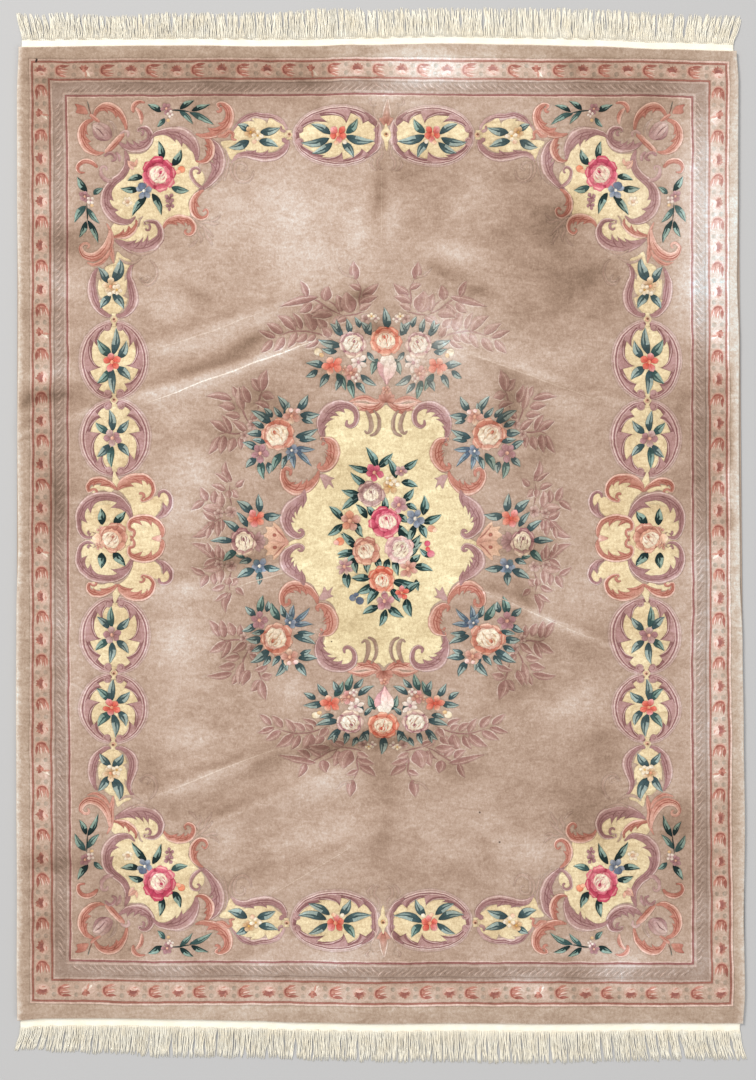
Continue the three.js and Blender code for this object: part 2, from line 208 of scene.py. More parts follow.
def scroll(rows, colour="mauve", rim=0, veins=1, step=1.3, group=None, dark_side=0, shade=0.5, teeth=()):
    """A carved acanthus stroke. rim is 1 or -1 for the side with the pale edge, 0 for none; veins are the drawn lines along it.
    teeth are leaf points on the side away from the rim: where each begins and ends, as shares of the stroke or as places near it,
    and how far it stands out."""
    body, dark, pale, ink = colour, colour + "_dark", colour + "_pale", colour + "_line"
    line = even(catmull(rows, 7), step)
    half = np.maximum(line[:, 2], 0.0) / 2
    side = normals_of(line)
    t = np.linspace(0, 1, len(line))
    out_p = line[:, :2] + side * half[:, None]
    out_m = line[:, :2] - side * half[:, None]
    w = rim if rim else 1
    def share_near(x, y):
        return float(t[int(np.argmin(np.hypot(line[:, 0] - x, line[:, 1] - y)))])
    teeth = [q if len(q) == 3 else (share_near(q[0], q[1]), share_near(q[2], q[3]), q[4]) for q in teeth]
    if teeth:
        extra = np.zeros(len(line))
        slide = np.zeros(len(line))
        for a, b, h in teeth:
            u = (t - a) / (b - a)
            on = (u >= 0) & (u <= 1)
            extra = np.where(on, np.maximum(extra, h * np.clip(u, 0, 1) ** 1.7), extra)
            slide = np.where(on, math.copysign(h, b - a) * 0.5 * np.clip(u, 0, 1) ** 1.5, slide)
        way = np.gradient(line[:, :2], axis=0)
        way /= np.maximum(np.hypot(way[:, 0], way[:, 1]), 1e-9)[:, None]
        if w > 0:
            out_p = out_p + side * extra[:, None] + way * slide[:, None]
        else:
            out_m = out_m - side * extra[:, None] + way * slide[:, None]
    def cap(end, other, r):
        if r <= 0.6:
            return []
        d = end - other
        d = d / max(np.hypot(*d), 1e-9)
        return [(end + d * r * 0.8)[None]]
    pts = np.vstack([out_p] + cap(line[-1, :2], line[-2, :2], half[-1]) + [out_m[::-1]] + cap(line[0, :2], line[1, :2], half[0]))
    wide = float(half.max()) * 2
    k = int(np.argmax(half))
    a, b = line[k, :2] + side[k] * half[k], line[k, :2] - side[k] * half[k]
    if rim < 0:
        a, b = b, a
    g = S.add(pts, mixed(body, dark, shade * 0.75), mixed(body, pale, shade * 1.0), a, b, group)
    inner = slice(max(1, len(line) // 12), max(len(line) - len(line) // 12, 3))
    cut = line[inner]
    if rim:
        edge = cut[:, :2] - rim * side[inner] * (half[inner] * 0.74)[:, None]
        sliver(edge, min(1.5, wide * 0.24), mixed(pale, "white", 0.1), None, g)
    if veins:
        offs = {1: (0.2,), 2: (0.42, -0.15), 3: (0.5, 0.0)}[veins]
        for n_v, off in enumerate(offs):
            o = off * w
            v = cut[:, :2] + side[inner] * (half[inner] * o)[:, None]
            n = len(v)
            if n >= 5:
                lo, hi = (n // 10, n - n // 4) if n_v == 0 else (n // 4, n - n // 8)
                sliver(v[lo:hi + 1], min(1.15, wide * 0.17), mixed(dark, ink, 0.25), mixed(dark, body, 0.2), g, -0.5)
    # a drawn line into each tooth
    for a0, b0, h in teeth:
        idx = np.nonzero((t >= min(a0, b0)) & (t <= max(a0, b0)))[0]
        if a0 > b0:
            idx = idx[::-1]
        if len(idx) >= 4 and h > 2:
            u = np.linspace(0, 1, len(idx))
            o = half[idx] * (0.1 + 0.8 * u ** 1.5) + h * 0.55 * u ** 2.2
            v = line[idx, :2] + w * side[idx] * o[:, None]
            sliver(v, 1.0, mixed(dark, ink, 0.2), None, g, -0.4)
    return g


LEAVES = {
    # body at the root, body at the tip, lit lobe, midrib, outline groove
    "dark": ("leaf_dark", "leaf_teal", "leaf_aqua", "leaf_pale"),
    "teal": ("leaf_teal", "leaf_mid", "leaf_aqua", "leaf_ink"),
    "grey": ((44, 66, 70), (112, 132, 130), (184, 200, 190), (50, 74, 78)),
    "blue": ("blue_dark", "leaf_grey", "blue_pale", "leaf_ink"),
}


def leaf_outline(x, y, tip_x, tip_y, width, bend, n):
    p, q = np.array([x, y], float), np.array([tip_x, tip_y], float)
    along = q - p
    length = max(float(np.hypot(*along)), 1e-6)
    across = np.array([-along[1], along[0]]) / length
    t = np.linspace(0, 1, n)
    mid = p + along * t[:, None] + across * (bend * length * np.sin(math.pi * t) * 0.5)[:, None]
    half = width / 2 * np.sin(math.pi * t ** 0.85) ** 0.9 * (1 - 0.25 * t)
    half[0] = half[-1] = 0
    side = normals_of(mid)
    return mid, half, side, length


def leaf(x, y, tip_x, tip_y, width=None, kind="dark", bend=0.0, lit=1, group=None):
    """A leaf from its root to its tip. lit is the side, 1 or -1, with the pale lobe."""
    length = math.hypot(tip_x - x, tip_y - y)
    width = width or max(3.2, length * 0.42)
    n = max(7, int(length / 1.2) + 3)
    mid, half, side, length = leaf_outline(x, y, tip_x, tip_y, width, bend, n)
    root, end, lobe, rib = LEAVES[kind]
    pts = np.vstack([mid + side * half[:, None], (mid - side * half[:, None])[::-1][1:-1]])
    g = S.add(pts, root, end, (x, y), (tip_x, tip_y), group, 0.3)
    # the pale lobe on one side of the outer half
    i0, i1 = int(n * 0.36), n
    outer = mid[i0:i1] + lit * side[i0:i1] * (half[i0:i1] * 0.95)[:, None]
    blend = np.linspace(0, 1, i1 - i0)
    inner = mid[i0:i1] + lit * side[i0:i1] * (half[i0:i1] * (0.05 + 0.15 * np.sin(blend * 9)))[:, None]
    if len(outer) >= 3:
        lobe_pts = np.vstack([outer[:-1], mid[i1 - 1:i1], inner[::-1][1:]])
        S.add(lobe_pts, mixed(lobe, end, 0.25 if kind == "dark" else 0.5), lobe, outer[0], outer[-1], g, 0.3)
    # and a small one beside the midrib
    j0, j1 = int(n * 0.42), int(n * 0.86)
    if j1 - j0 >= 3 and width > 4:
        line = mid[j0:j1] - lit * side[j0:j1] * (half[j0:j1] * 0.42)[:, None]
        sliver(line, width * 0.16, mixed(lobe, end, 0.45 if kind == "dark" else 0.6), None, g)
    if kind != "dark" and n >= 9:
        sliver(mid[1:-2], 0.7, mixed(rib, root, 0.4), root, g, -0.4)
    return g


def soft_leaf(x, y, tip_x, tip_y, width=None, bend=0.0, shade=0.0, group=None):
    """A tone-on-tone leaf of the branches: its lower right side, away from the light, is painted in shade, and a
    painted highlight line follows it outside.
    """
    length = math.hypot(tip_x - x, tip_y - y)
    width = (width or length * 0.42) * 1.34
    n = max(7, int(length / 1.5) + 3)
    mid, half, side, length = leaf_outline(x, y, tip_x, tip_y, width, bend, n)
    # the side that faces down and right, away from the light from the upper left, gets the painted shade
    shaded_side = 1 if float(side[n // 2] @ np.array([0.62, 0.78])) > 0 else -1
    pts = np.vstack([mid + side * half[:, None], (mid - side * half[:, None])[::-1][1:-1]])
    # a painted highlight line just outside the shaded side
    rim = mid[1:] + shaded_side * side[1:] * (half[1:] + 0.7)[:, None]
    sliver(rim, 1.3, mixed("branch_pale", "white", 0.2), mixed("branch_pale", "field", 0.15), None, 0.0, 0.8)
    g = S.add(pts, mixed("branch", "branch_dark", 0.5 + shade), mixed("branch", "branch_pale", 0.25 - shade), (x, y), (tip_x, tip_y), group, 0.0, 0.4)
    # painted shade over the half of the leaf on the shaded side
    low = np.vstack([mid[1:-1] + shaded_side * side[1:-1] * (half[1:-1] * 0.96)[:, None], (mid[1:-1] + shaded_side * side[1:-1] * (half[1:-1] * 0.1)[:, None])[::-1]])
    if len(low) >= 6:
        S.add(low, mixed("branch", "branch_dark", 1.0 + shade), mixed("branch", "branch_dark", 0.5), (x, y), (tip_x, tip_y), g, 0.0, 0.4)
    if n >= 9:
        vein = mid[1:-2] - shaded_side * side[1:-2] * (half[1:-2] * 0.35)[:, None]
        sliver(vein, 0.7, mixed("branch_pale", "branch", 0.3), None, g, 0.0, 0.4)
    return g


def branch(rows, count, size, width=0.40, spread=48, lean=0.0, ends=True, first=0.12, grow=0.0, sides=(1, -1), skip=()):
    """A stem through rows of x, y with leaves in turn on both sides."""
    stem = even(catmull(rows, 8), 1.4)
    n = len(stem)
    d = S.dice()
    for k in range(count):
        if k in skip:
            continue
        t = first + (1 - first) * (k + 0.5) / count
        i = min(int(t * (n - 1)), n - 2)
        way = stem[i + 1] - stem[i]
        a = math.atan2(way[1], way[0])
        sd = sides[k % len(sides)]
        ang = a + sd * math.radians(spread * (1 - 0.25 * t) + d.around(8)) + lean
        long = size * (1 - 0.28 * abs(t - 0.45) * 2 + grow * (t - 0.5)) * (1 + d.around(0.12))
        x, y = stem[i]
        soft_leaf(x, y, x + long * math.cos(ang), y + long * math.sin(ang), long * width * (1 + d.around(0.1)), bend=-sd * 0.22 + d.around(0.06), shade=d.around(0.15))
    if ends:
        way = stem[-1] - stem[-3]
        a = math.atan2(way[1], way[0])
        x, y = stem[-1]
        soft_leaf(x, y, x + size * math.cos(a), y + size * math.sin(a), size * width, bend=d.around(0.2))
    sliver(stem, 1.3, mixed("branch_dark", "mauve_dark", 0.15), mixed("branch", "branch_dark", 0.5), None, 0.0, 1.0)


def lobed(x, y, r, lobes, depth, turn=0.0, squash=1.0, n_per=5, ragged=0.0, dice=None):
    """A round outline with lobes, such as the edge of a flower."""
    n = lobes * n_per
    a = np.arange(n) / n * TAU
    rad = r * (1 - depth + depth * np.abs(np.cos(lobes * a / 2)) ** 0.7)
    if dice:
        rad = rad * np.array([1 + dice.around(ragged) for _ in range(n)])
    a = a + turn
    return np.stack([x + rad * np.cos(a), y + rad * np.sin(a) * squash], 1)


def oval(x, y, a, b, turn=0.0, n=None):
    n = n or max(8, int(TAU * max(a, b) / 1.35))
    t = np.arange(n) / n * TAU
    c, s = math.cos(turn), math.sin(turn)
    px, py = a * np.cos(t), b * np.sin(t)
    return np.stack([x + px * c - py * s, y + px * s + py * c], 1)


def petal(x, y, angle, length, width, c0, c1, group=None, tip=0.75, rise=0.0):
    """A petal from the middle outwards, widest near its end."""
    t = np.linspace(0, 1, 7)
    a = np.array([math.cos(angle), math.sin(angle)])
    b = np.array([-a[1], a[0]])
    half = width / 2 * np.sin(math.pi * np.clip(t, 0, 1) ** 1.35) ** tip
    half[0] = width * 0.08
    mid = np.array([x, y]) + a * (length * t)[:, None]
    pts = np.vstack([mid + b * half[:, None], (mid - b * half[:, None])[::-1][1:]])
    return S.add(pts, c0, c1, (x, y), mid[-1], group, rise)


ROSES = {
    # outer petals dark and light, middle petals, heart, heart's lines
    "crimson": ("crimson_dark", "crimson", (238, 150, 158), "cream", "pink"),
    "pink": ("plum_pale", "pink_pale", "white", "cream", "plum_pale"),
    "cream": ("plum", "plum_pale", "cream", "white", "peach_dark"),
    "salmon": ("salmon_dark", "salmon", "peach", "cream", "salmon"),
    "orange": ((188, 70, 50), (222, 122, 96), (243, 188, 162), "cream", "red_soft"),
    "mauve": ("mauve_dark", "mauve", "mauve_pale", "cream", "mauve"),
    "plum": ("mauve_dark", "plum", "plum_pale", "cream", "plum"),
}


def cup(x, y, angle, out, r, spread, deep, c0, c1, group=None):
    """A petal seen from above: a rounded fan whose rim lies at the distance out from x, y and whose root at out - deep."""
    t = np.linspace(-1, 1, 9)
    a = angle + t * spread
    rim = out * (1 - 0.16 * np.abs(t) ** 3 + 0.03 * np.cos(t * 7 + angle * 3))
    outer = np.stack([x + rim * np.cos(a), y + rim * np.sin(a)], 1)
    b = angle + t[::-1][1:-1:2] * spread * 0.72
    root = out - deep
    inner = np.stack([x + root * np.cos(b), y + root * np.sin(b)], 1)
    mid = np.array([x + out * math.cos(angle), y + out * math.sin(angle)])
    low = np.array([x + root * math.cos(angle), y + root * math.sin(angle)])
    return S.add(np.vstack([outer, inner]), c0, c1, low, mid, group, 0.5)


def rose(x, y, r, kind="crimson", turn=0.0, petals=7, heart=0.46, shift=(0, 0)):
    """A full rose: outer petals in turn dark and light, a middle ring that overlaps them and a pale folded heart."""
    dark, body, mid, core, ink = ROSES[kind]
    d = S.dice()
    base = S.add(lobed(x, y, r * 0.9, petals, 0.08, turn, dice=d, ragged=0.02), mixed(dark, body, 0.25), mixed(dark, body, 0.6), (x - r, y - r), (x + r, y + r), None, 0.4)
    hx, hy = x + shift[0], y + shift[1]
    order = list(range(petals))
    d.r.shuffle(order)
    for k in order:
        a = turn + (k + 0.5) / petals * TAU + d.around(0.16)
        lit = min(1.0, max(0.0, 0.45 + 0.5 * math.sin(a) + d.around(0.25)))
        c = mixed(dark, body, 0.0 + 0.7 * lit)
        e = mixed(body, mid, 0.15 + 0.75 * lit)
        g = cup(x, y, a, r * (1.02 + d.around(0.07)), r, math.pi / petals * (1.12 + d.around(0.16)), r * 0.62, c, e)
        # the turned edge of the petal
        q = np.linspace(-0.8, 0.8, 7) * math.pi / petals
        sliver(np.stack([x + r * 0.9 * np.cos(a + q), y + r * 0.9 * np.sin(a + q)], 1), max(1.0, r * 0.1), mixed(e, core, 0.35), None, g, 0.1)
    n = 5
    for k in range(n):
        a = turn + 0.5 + k / n * TAU + d.around(0.22)
        lit = min(1.0, max(0.1, 0.5 + 0.4 * math.sin(a) + d.around(0.25)))
        cup(hx, hy, a, r * (0.70 + d.around(0.05)), r, 0.62 + d.around(0.1), r * 0.42, mixed(body, dark, 0.35 * (1 - lit)), mixed(mid, body, 0.5 * (1 - lit)))
    hr = r * heart * 1.22
    phi = d.around(0.8)
    def turned(u, v):
        return hx + hr * (u * math.cos(phi) - v * math.sin(phi)), hy + hr * (u * math.sin(phi) + v * math.cos(phi))
    g = S.add(lobed(hx, hy, hr, 7, 0.12, turn + 0.7, dice=d, ragged=0.14), mixed(mid, body, 0.15), mixed(mid, core, 0.35), turned(0, -1), turned(0, 1), None, 0.5)
    # petals of the heart lie over one another round a dark eye, light at the rim and deeper at the root
    for u, v, ra, rb, tn, wh in ((-0.46, -0.02, 0.46, 0.70, 0.30, 0.5), (0.48, 0.02, 0.44, 0.68, -0.36, 0.2), (0.02, 0.50, 0.60, 0.40, 0.05, 0.7), (-0.16, -0.34, 0.36, 0.46, 0.5, 0.3), (0.20, -0.26, 0.32, 0.44, -0.5, 0.8), (0.0, 0.16, 0.30, 0.32, 0.1, 0.5)):
        px, py = turned(u + d.around(0.06), v + d.around(0.06))
        S.add(oval(px, py, hr * ra, hr * rb, phi + tn + d.around(0.15), max(8, int(hr * 1.7))), mixed(mid, core, 0.35 + 0.3 * wh), mixed(core, "white", 0.7 * wh), turned(u * 0.3, v * 0.3 - 0.3), turned(u * 1.5, v * 1.5), None, 0.3)
        k = 0.62 * (1 if u >= 0 else -1)
        sliver([turned(u + q * 0.16 * k, v - 0.34 + 0.62 * t) for t, q in ((0, 0), (0.33, 1.1), (0.66, 1.2), (1, 0.4))], max(0.9, hr * 0.12), mixed(ink, body, 0.15), mixed(ink, core, 0.5), g, -0.4)
    px, py = turned(-0.04, -0.30)
    S.add(oval(px, py, hr * 0.15, hr * 0.21, phi, 7), mixed(body, dark, 0.8), mixed(ink, body, 0.5), group=g)
    return base


FLOWERS = {
    # petal root, petal tip, middle
    "red": ((196, 58, 46), (238, 140, 118), "orange_pale"),
    "red_white": ("red", "pink_pale", "orange"),
    "crimson": ("crimson_dark", "pink", "peach"),
    "blue": ("blue_dark", "blue_pale", "white"),
    "mauve": ("plum", "mauve_pale", "peach"),
    "mauve_dark": ("mauve_dark", "plum_pale", "peach"),
    "salmon": ("salmon_dark", "salmon_pale", "peach"),
    "tan": ("tan_dark", "cream_deep", "gold"),
    "cream": ("cream_deep", "white", "gold"),
    "gold": ("tan_dark", "cream", "orange_pale"),
    "soft": ("branch_dark", "branch_pale", "branch_dark"),
    "pale": ("mauve_pale", "white", "plum_pale"),
}


def flower(x, y, r, kind="red", petals=5, turn=0.0, wide=0.82, alt=None, middle=0.24):
    """An open flower with separate petals."""
    root, end, eye = FLOWERS[kind]
    d = S.dice()
    for k in range(petals):
        a = turn + k / petals * TAU + d.around(0.16)
        e = tone(end) if not (alt and k % 2) else tone(alt)
        long = r * (1.03 + d.around(0.13))
        px, py = x + 0.05 * r * math.cos(a), y + 0.05 * r * math.sin(a)
        g = petal(px, py, a, long, r * wide * (1 + d.around(0.12)), mixed(root, e, d.between(0, 0.25)), mixed(mixed(e, root, d.between(0, 0.15)), "white", 0.10), None, 0.75, 0.3)
        if r > 5.5:
            b = a + d.around(0.2)
            sliver([(px + long * q * math.cos(b), py + long * q * math.sin(b)) for q in (0.25, 0.42, 0.6, 0.78)], 0.9, mixed(root, e, 0.3), mixed(root, e, 0.6), g, -0.3)
    S.add(oval(x, y, r * middle, r * middle, n=7), eye, mixed(eye, root, 0.5), None, None, None, 0.3)


def bud(x, y, angle, length, width, c0, c1):
    a = math.radians(angle)
    mid, half, side, _ = leaf_outline(x, y, x + length * math.cos(a), y + length * math.sin(a), width, 0, max(7, int(length / 1.2)))
    pts = np.vstack([mid + side * half[:, None], (mid - side * half[:, None])[::-1][1:-1]])
    g = S.add(pts, c0, c1, mid[0], mid[-1], None, 0.3)
    sliver(mid[1:-1], 0.8, c0, None, g, -0.3)


def berry(x, y, r, c0, c1=None):
    g = S.add(oval(x, y, r, r * 0.92, n=max(7, int(r * 5))), c0, c1 or c0, (x - r, y - r), (x + r, y + r), None, 0.3)
    return g
COLOURS.update({
    "mauve_pale_set": COLOURS["mauve_pale"], "mauve_pale_set_dark": COLOURS["mauve"], "mauve_pale_set_pale": (224, 200, 192), "mauve_pale_set_line": COLOURS["mauve_dark"],
    "mauve_soft": (185, 147, 144), "mauve_soft_dark": (146, 104, 104), "mauve_soft_pale": (216, 188, 182), "mauve_soft_line": (130, 90, 90), "haze": (224, 207, 193),
    "tone_grey": (178, 152, 134), "tone_grey_dark": (146, 116, 104), "tone_grey_pale": (204, 182, 158), "tone_grey_line": (120, 92, 82),
})
FLOWERS["plum_set"] = ("mauve_dark", "plum_pale", "plum")
FLOWERS["red_set"] = ((198, 66, 50), (243, 176, 150), "red_soft")
ROSES["salmon_deep"] = (mixed("salmon_dark", "orange_dark", 0.4), mixed("salmon", "orange", 0.3), "salmon_pale", "cream", mixed("tan", "peach", 0.5))
ROSES["cream_wine"] = ("mauve_dark", "plum", "cream", "cream", "plum")
LEAVES["bouquet"] = ((8, 32, 32), (66, 104, 100), (180, 206, 196), "leaf_pale")
def spiral(x, y, r0, r1, a0, a1, w0, w1, n=7):
    """Rows of a curl that opens from radius r0 at angle a0 to r1 at a1, in degrees, and widens from w0 to w1."""
    out = []
    for k in range(n):
        t = k / (n - 1)
        a = math.radians(a0 + (a1 - a0) * t)
        r = r0 + (r1 - r0) * t
        out.append((x + r * math.cos(a), y + r * math.sin(a), w0 + (w1 - w0) * t))
    return out


def toothed(x, y, ia, ib, teeth):
    """The edge of a ground into which leaf points stand. teeth lists them: from and to, in degrees, and how near the middle
    the tip comes, as a share of the half widths ia and ib."""
    rad = math.radians
    r = np.ones(360)
    swing = np.zeros(360)
    for f, t, tip in teeth:
        n = int(abs(t - f))
        for k in range(n + 1):
            u = k / n
            d = int(round(f + (t - f) * u)) % 360
            drop = (1 - tip) * (0.05 + 0.46 * u + 0.60 * u ** 5)
            if 1 - drop < r[d]:
                r[d] = 1 - drop
                swing[d] = (t - f) * 0.09 * u ** 5
    for k in range(0, 360):
        if r[k] == 1.0:
            r[k] = 1.0 + 0.015 * math.sin(k * 0.21 + x)
    pts = [(x + ia * r[d] * math.cos(rad(d + swing[d])), y + ib * r[d] * math.sin(rad(d + swing[d]))) for d in range(360)]
    keep = [pts[0]]
    for k, q in enumerate(pts[1:]):
        if math.hypot(q[0] - keep[-1][0], q[1] - keep[-1][1]) > 0.95:
            keep.append(q)
    return keep


def knot(x, y, w=4.4, h=4.4):
    """The little clasp between two frames."""
    S.add(catmull([(x - w * 0.55, y - h * 1.5), (x - w * 0.4, y - h * 0.9), (x - w * 0.95, y), (x - w * 0.4, y + h * 0.9), (x - w * 0.55, y + h * 1.5), (x + w * 0.55, y + h * 1.5), (x + w * 0.4, y + h * 0.9), (x + w * 0.95, y), (x + w * 0.4, y - h * 0.9), (x + w * 0.55, y - h * 1.5)], 3, True),
          "yellow", "yellow_deep", (x - w, y - h), (x + w, y + h))
    g = S.add(oval(x, y, 2.5, 2.5, n=9), mixed("mauve_pale", "tan", 0.4), "peach", (x - 2, y), (x + 2, y))
    S.add(oval(x + 0.2, y - 0.4, 1.4, 1.3, n=7), "brown", mixed("brown", "tan", 0.4), None, None, g)


def frame_oval(x, y, a, b, ia, ib, teeth, colour="mauve", ground=("yellow", "yellow_deep"), knobs=(), halves=((-84, 84), (96, 264))):
    """An oval frame made of two leafy halves round a toothed ground."""
    rad = math.radians
    S.add(oval(x, y, a + 1.9, b + 1.9), mixed(colour + "_pale", "field", 0.15), mixed(colour + "_pale", "field", 0.5), (x - a, y - b), (x + a, y + b))
    g = S.add(oval(x, y, a, b), mixed(colour, colour + "_pale", 0.22), mixed(colour, colour + "_dark", 0.08), (x - a, y - b), (x + a, y + b))
    # the leaf points fall away dark towards the ground
    S.add(toothed(x, y, ia + 3.4, ib + 3.4, teeth), mixed(colour + "_dark", colour, 0.05), mixed(colour + "_dark", colour, 0.2), (x - a, y - b), (x + a, y + b), g, -0.2)
    S.add(toothed(x, y, ia, ib, teeth), ground[0], ground[1], (x - a, y - b), (x + a, y + b))

    def at(deg, w, tip=1.0):
        """A point between the ground's edge, w = 0, and the frame's, w = 1."""
        c, q = math.cos(rad(deg)), math.sin(rad(deg))
        return (x + c * (ia * tip * (1 - w) + a * w), y + q * (ib * tip * (1 - w) + b * w))
    # long lines of the two halves
    for lo, hi in halves:
        n = max(10, int(rad(hi - lo) * max(a, b) / 2.0))
        for w, c, wide in ((0.86, mixed(colour + "_pale", "white", 0.15), 1.3), (0.66, mixed(colour + "_dark", colour + "_line", 0.15), 1.0), (0.50, mixed(colour + "_pale", colour, 0.15), 0.9)):
            sliver([at(lo + (hi - lo) * k / n, w) for k in range(n + 1)], wide, c, None, g, -0.4)
    # each leaf point has its own line that sweeps in from the frame
    for f, t, tip in teeth:
        n = max(6, int(abs(rad(t - f)) * max(ia, ib) / 1.6))
        path = []
        for k in range(n + 1):
            u = k / n
            path.append(at(f + (t - f) * (-0.15 + 1.08 * u), 0.46 * (1 - u) ** 1.2, 1 - (1 - tip) * 0.62 * u ** 2.0))
        sliver(path, 1.2, mixed(colour + "_dark", colour + "_line", 0.35), None, g, -0.4)
        sliver([(px + (x - px) * 0.035, py + (y - py) * 0.035) for px, py in path[n // 3:]], 1.0, mixed(colour + "_pale", colour, 0.2), None, g, 0.0)
    for kx, ky, kr, turn in knobs:
        S.add(oval(kx, ky, kr, kr, n=9), mixed(colour, colour + "_pale", 0.4), mixed(colour, colour + "_dark", 0.2), (kx - kr, ky - kr), (kx + kr, ky + kr), g)
        t = np.radians(np.linspace(turn, turn + 230, 7))
        sliver(np.stack([kx + kr * 0.5 * np.cos(t), ky + kr * 0.5 * np.sin(t)], 1), 0.9, mixed(colour + "_dark", colour, 0.1), None, g, -0.6)
    return g


def ghost(rows, group=None, colour="field"):
    """A spray carved in the colour of the ground: only its outline shows, with a paler edge."""
    pts, line, half, side = ribbon(rows, 1.4)
    g = S.add(pts, mixed(colour, "branch_pale", 0.35), mixed(colour, "branch", 0.22), line[0, :2], line[-1, :2], group, 0.2)
    inner = line[1:-1, :2] + side[1:-1] * (half[1:-1] * 0.2)[:, None]
    if len(inner) > 4:
        sliver(inner, 0.7, mixed("branch", colour, 0.4), None, g, -0.8)
    return g


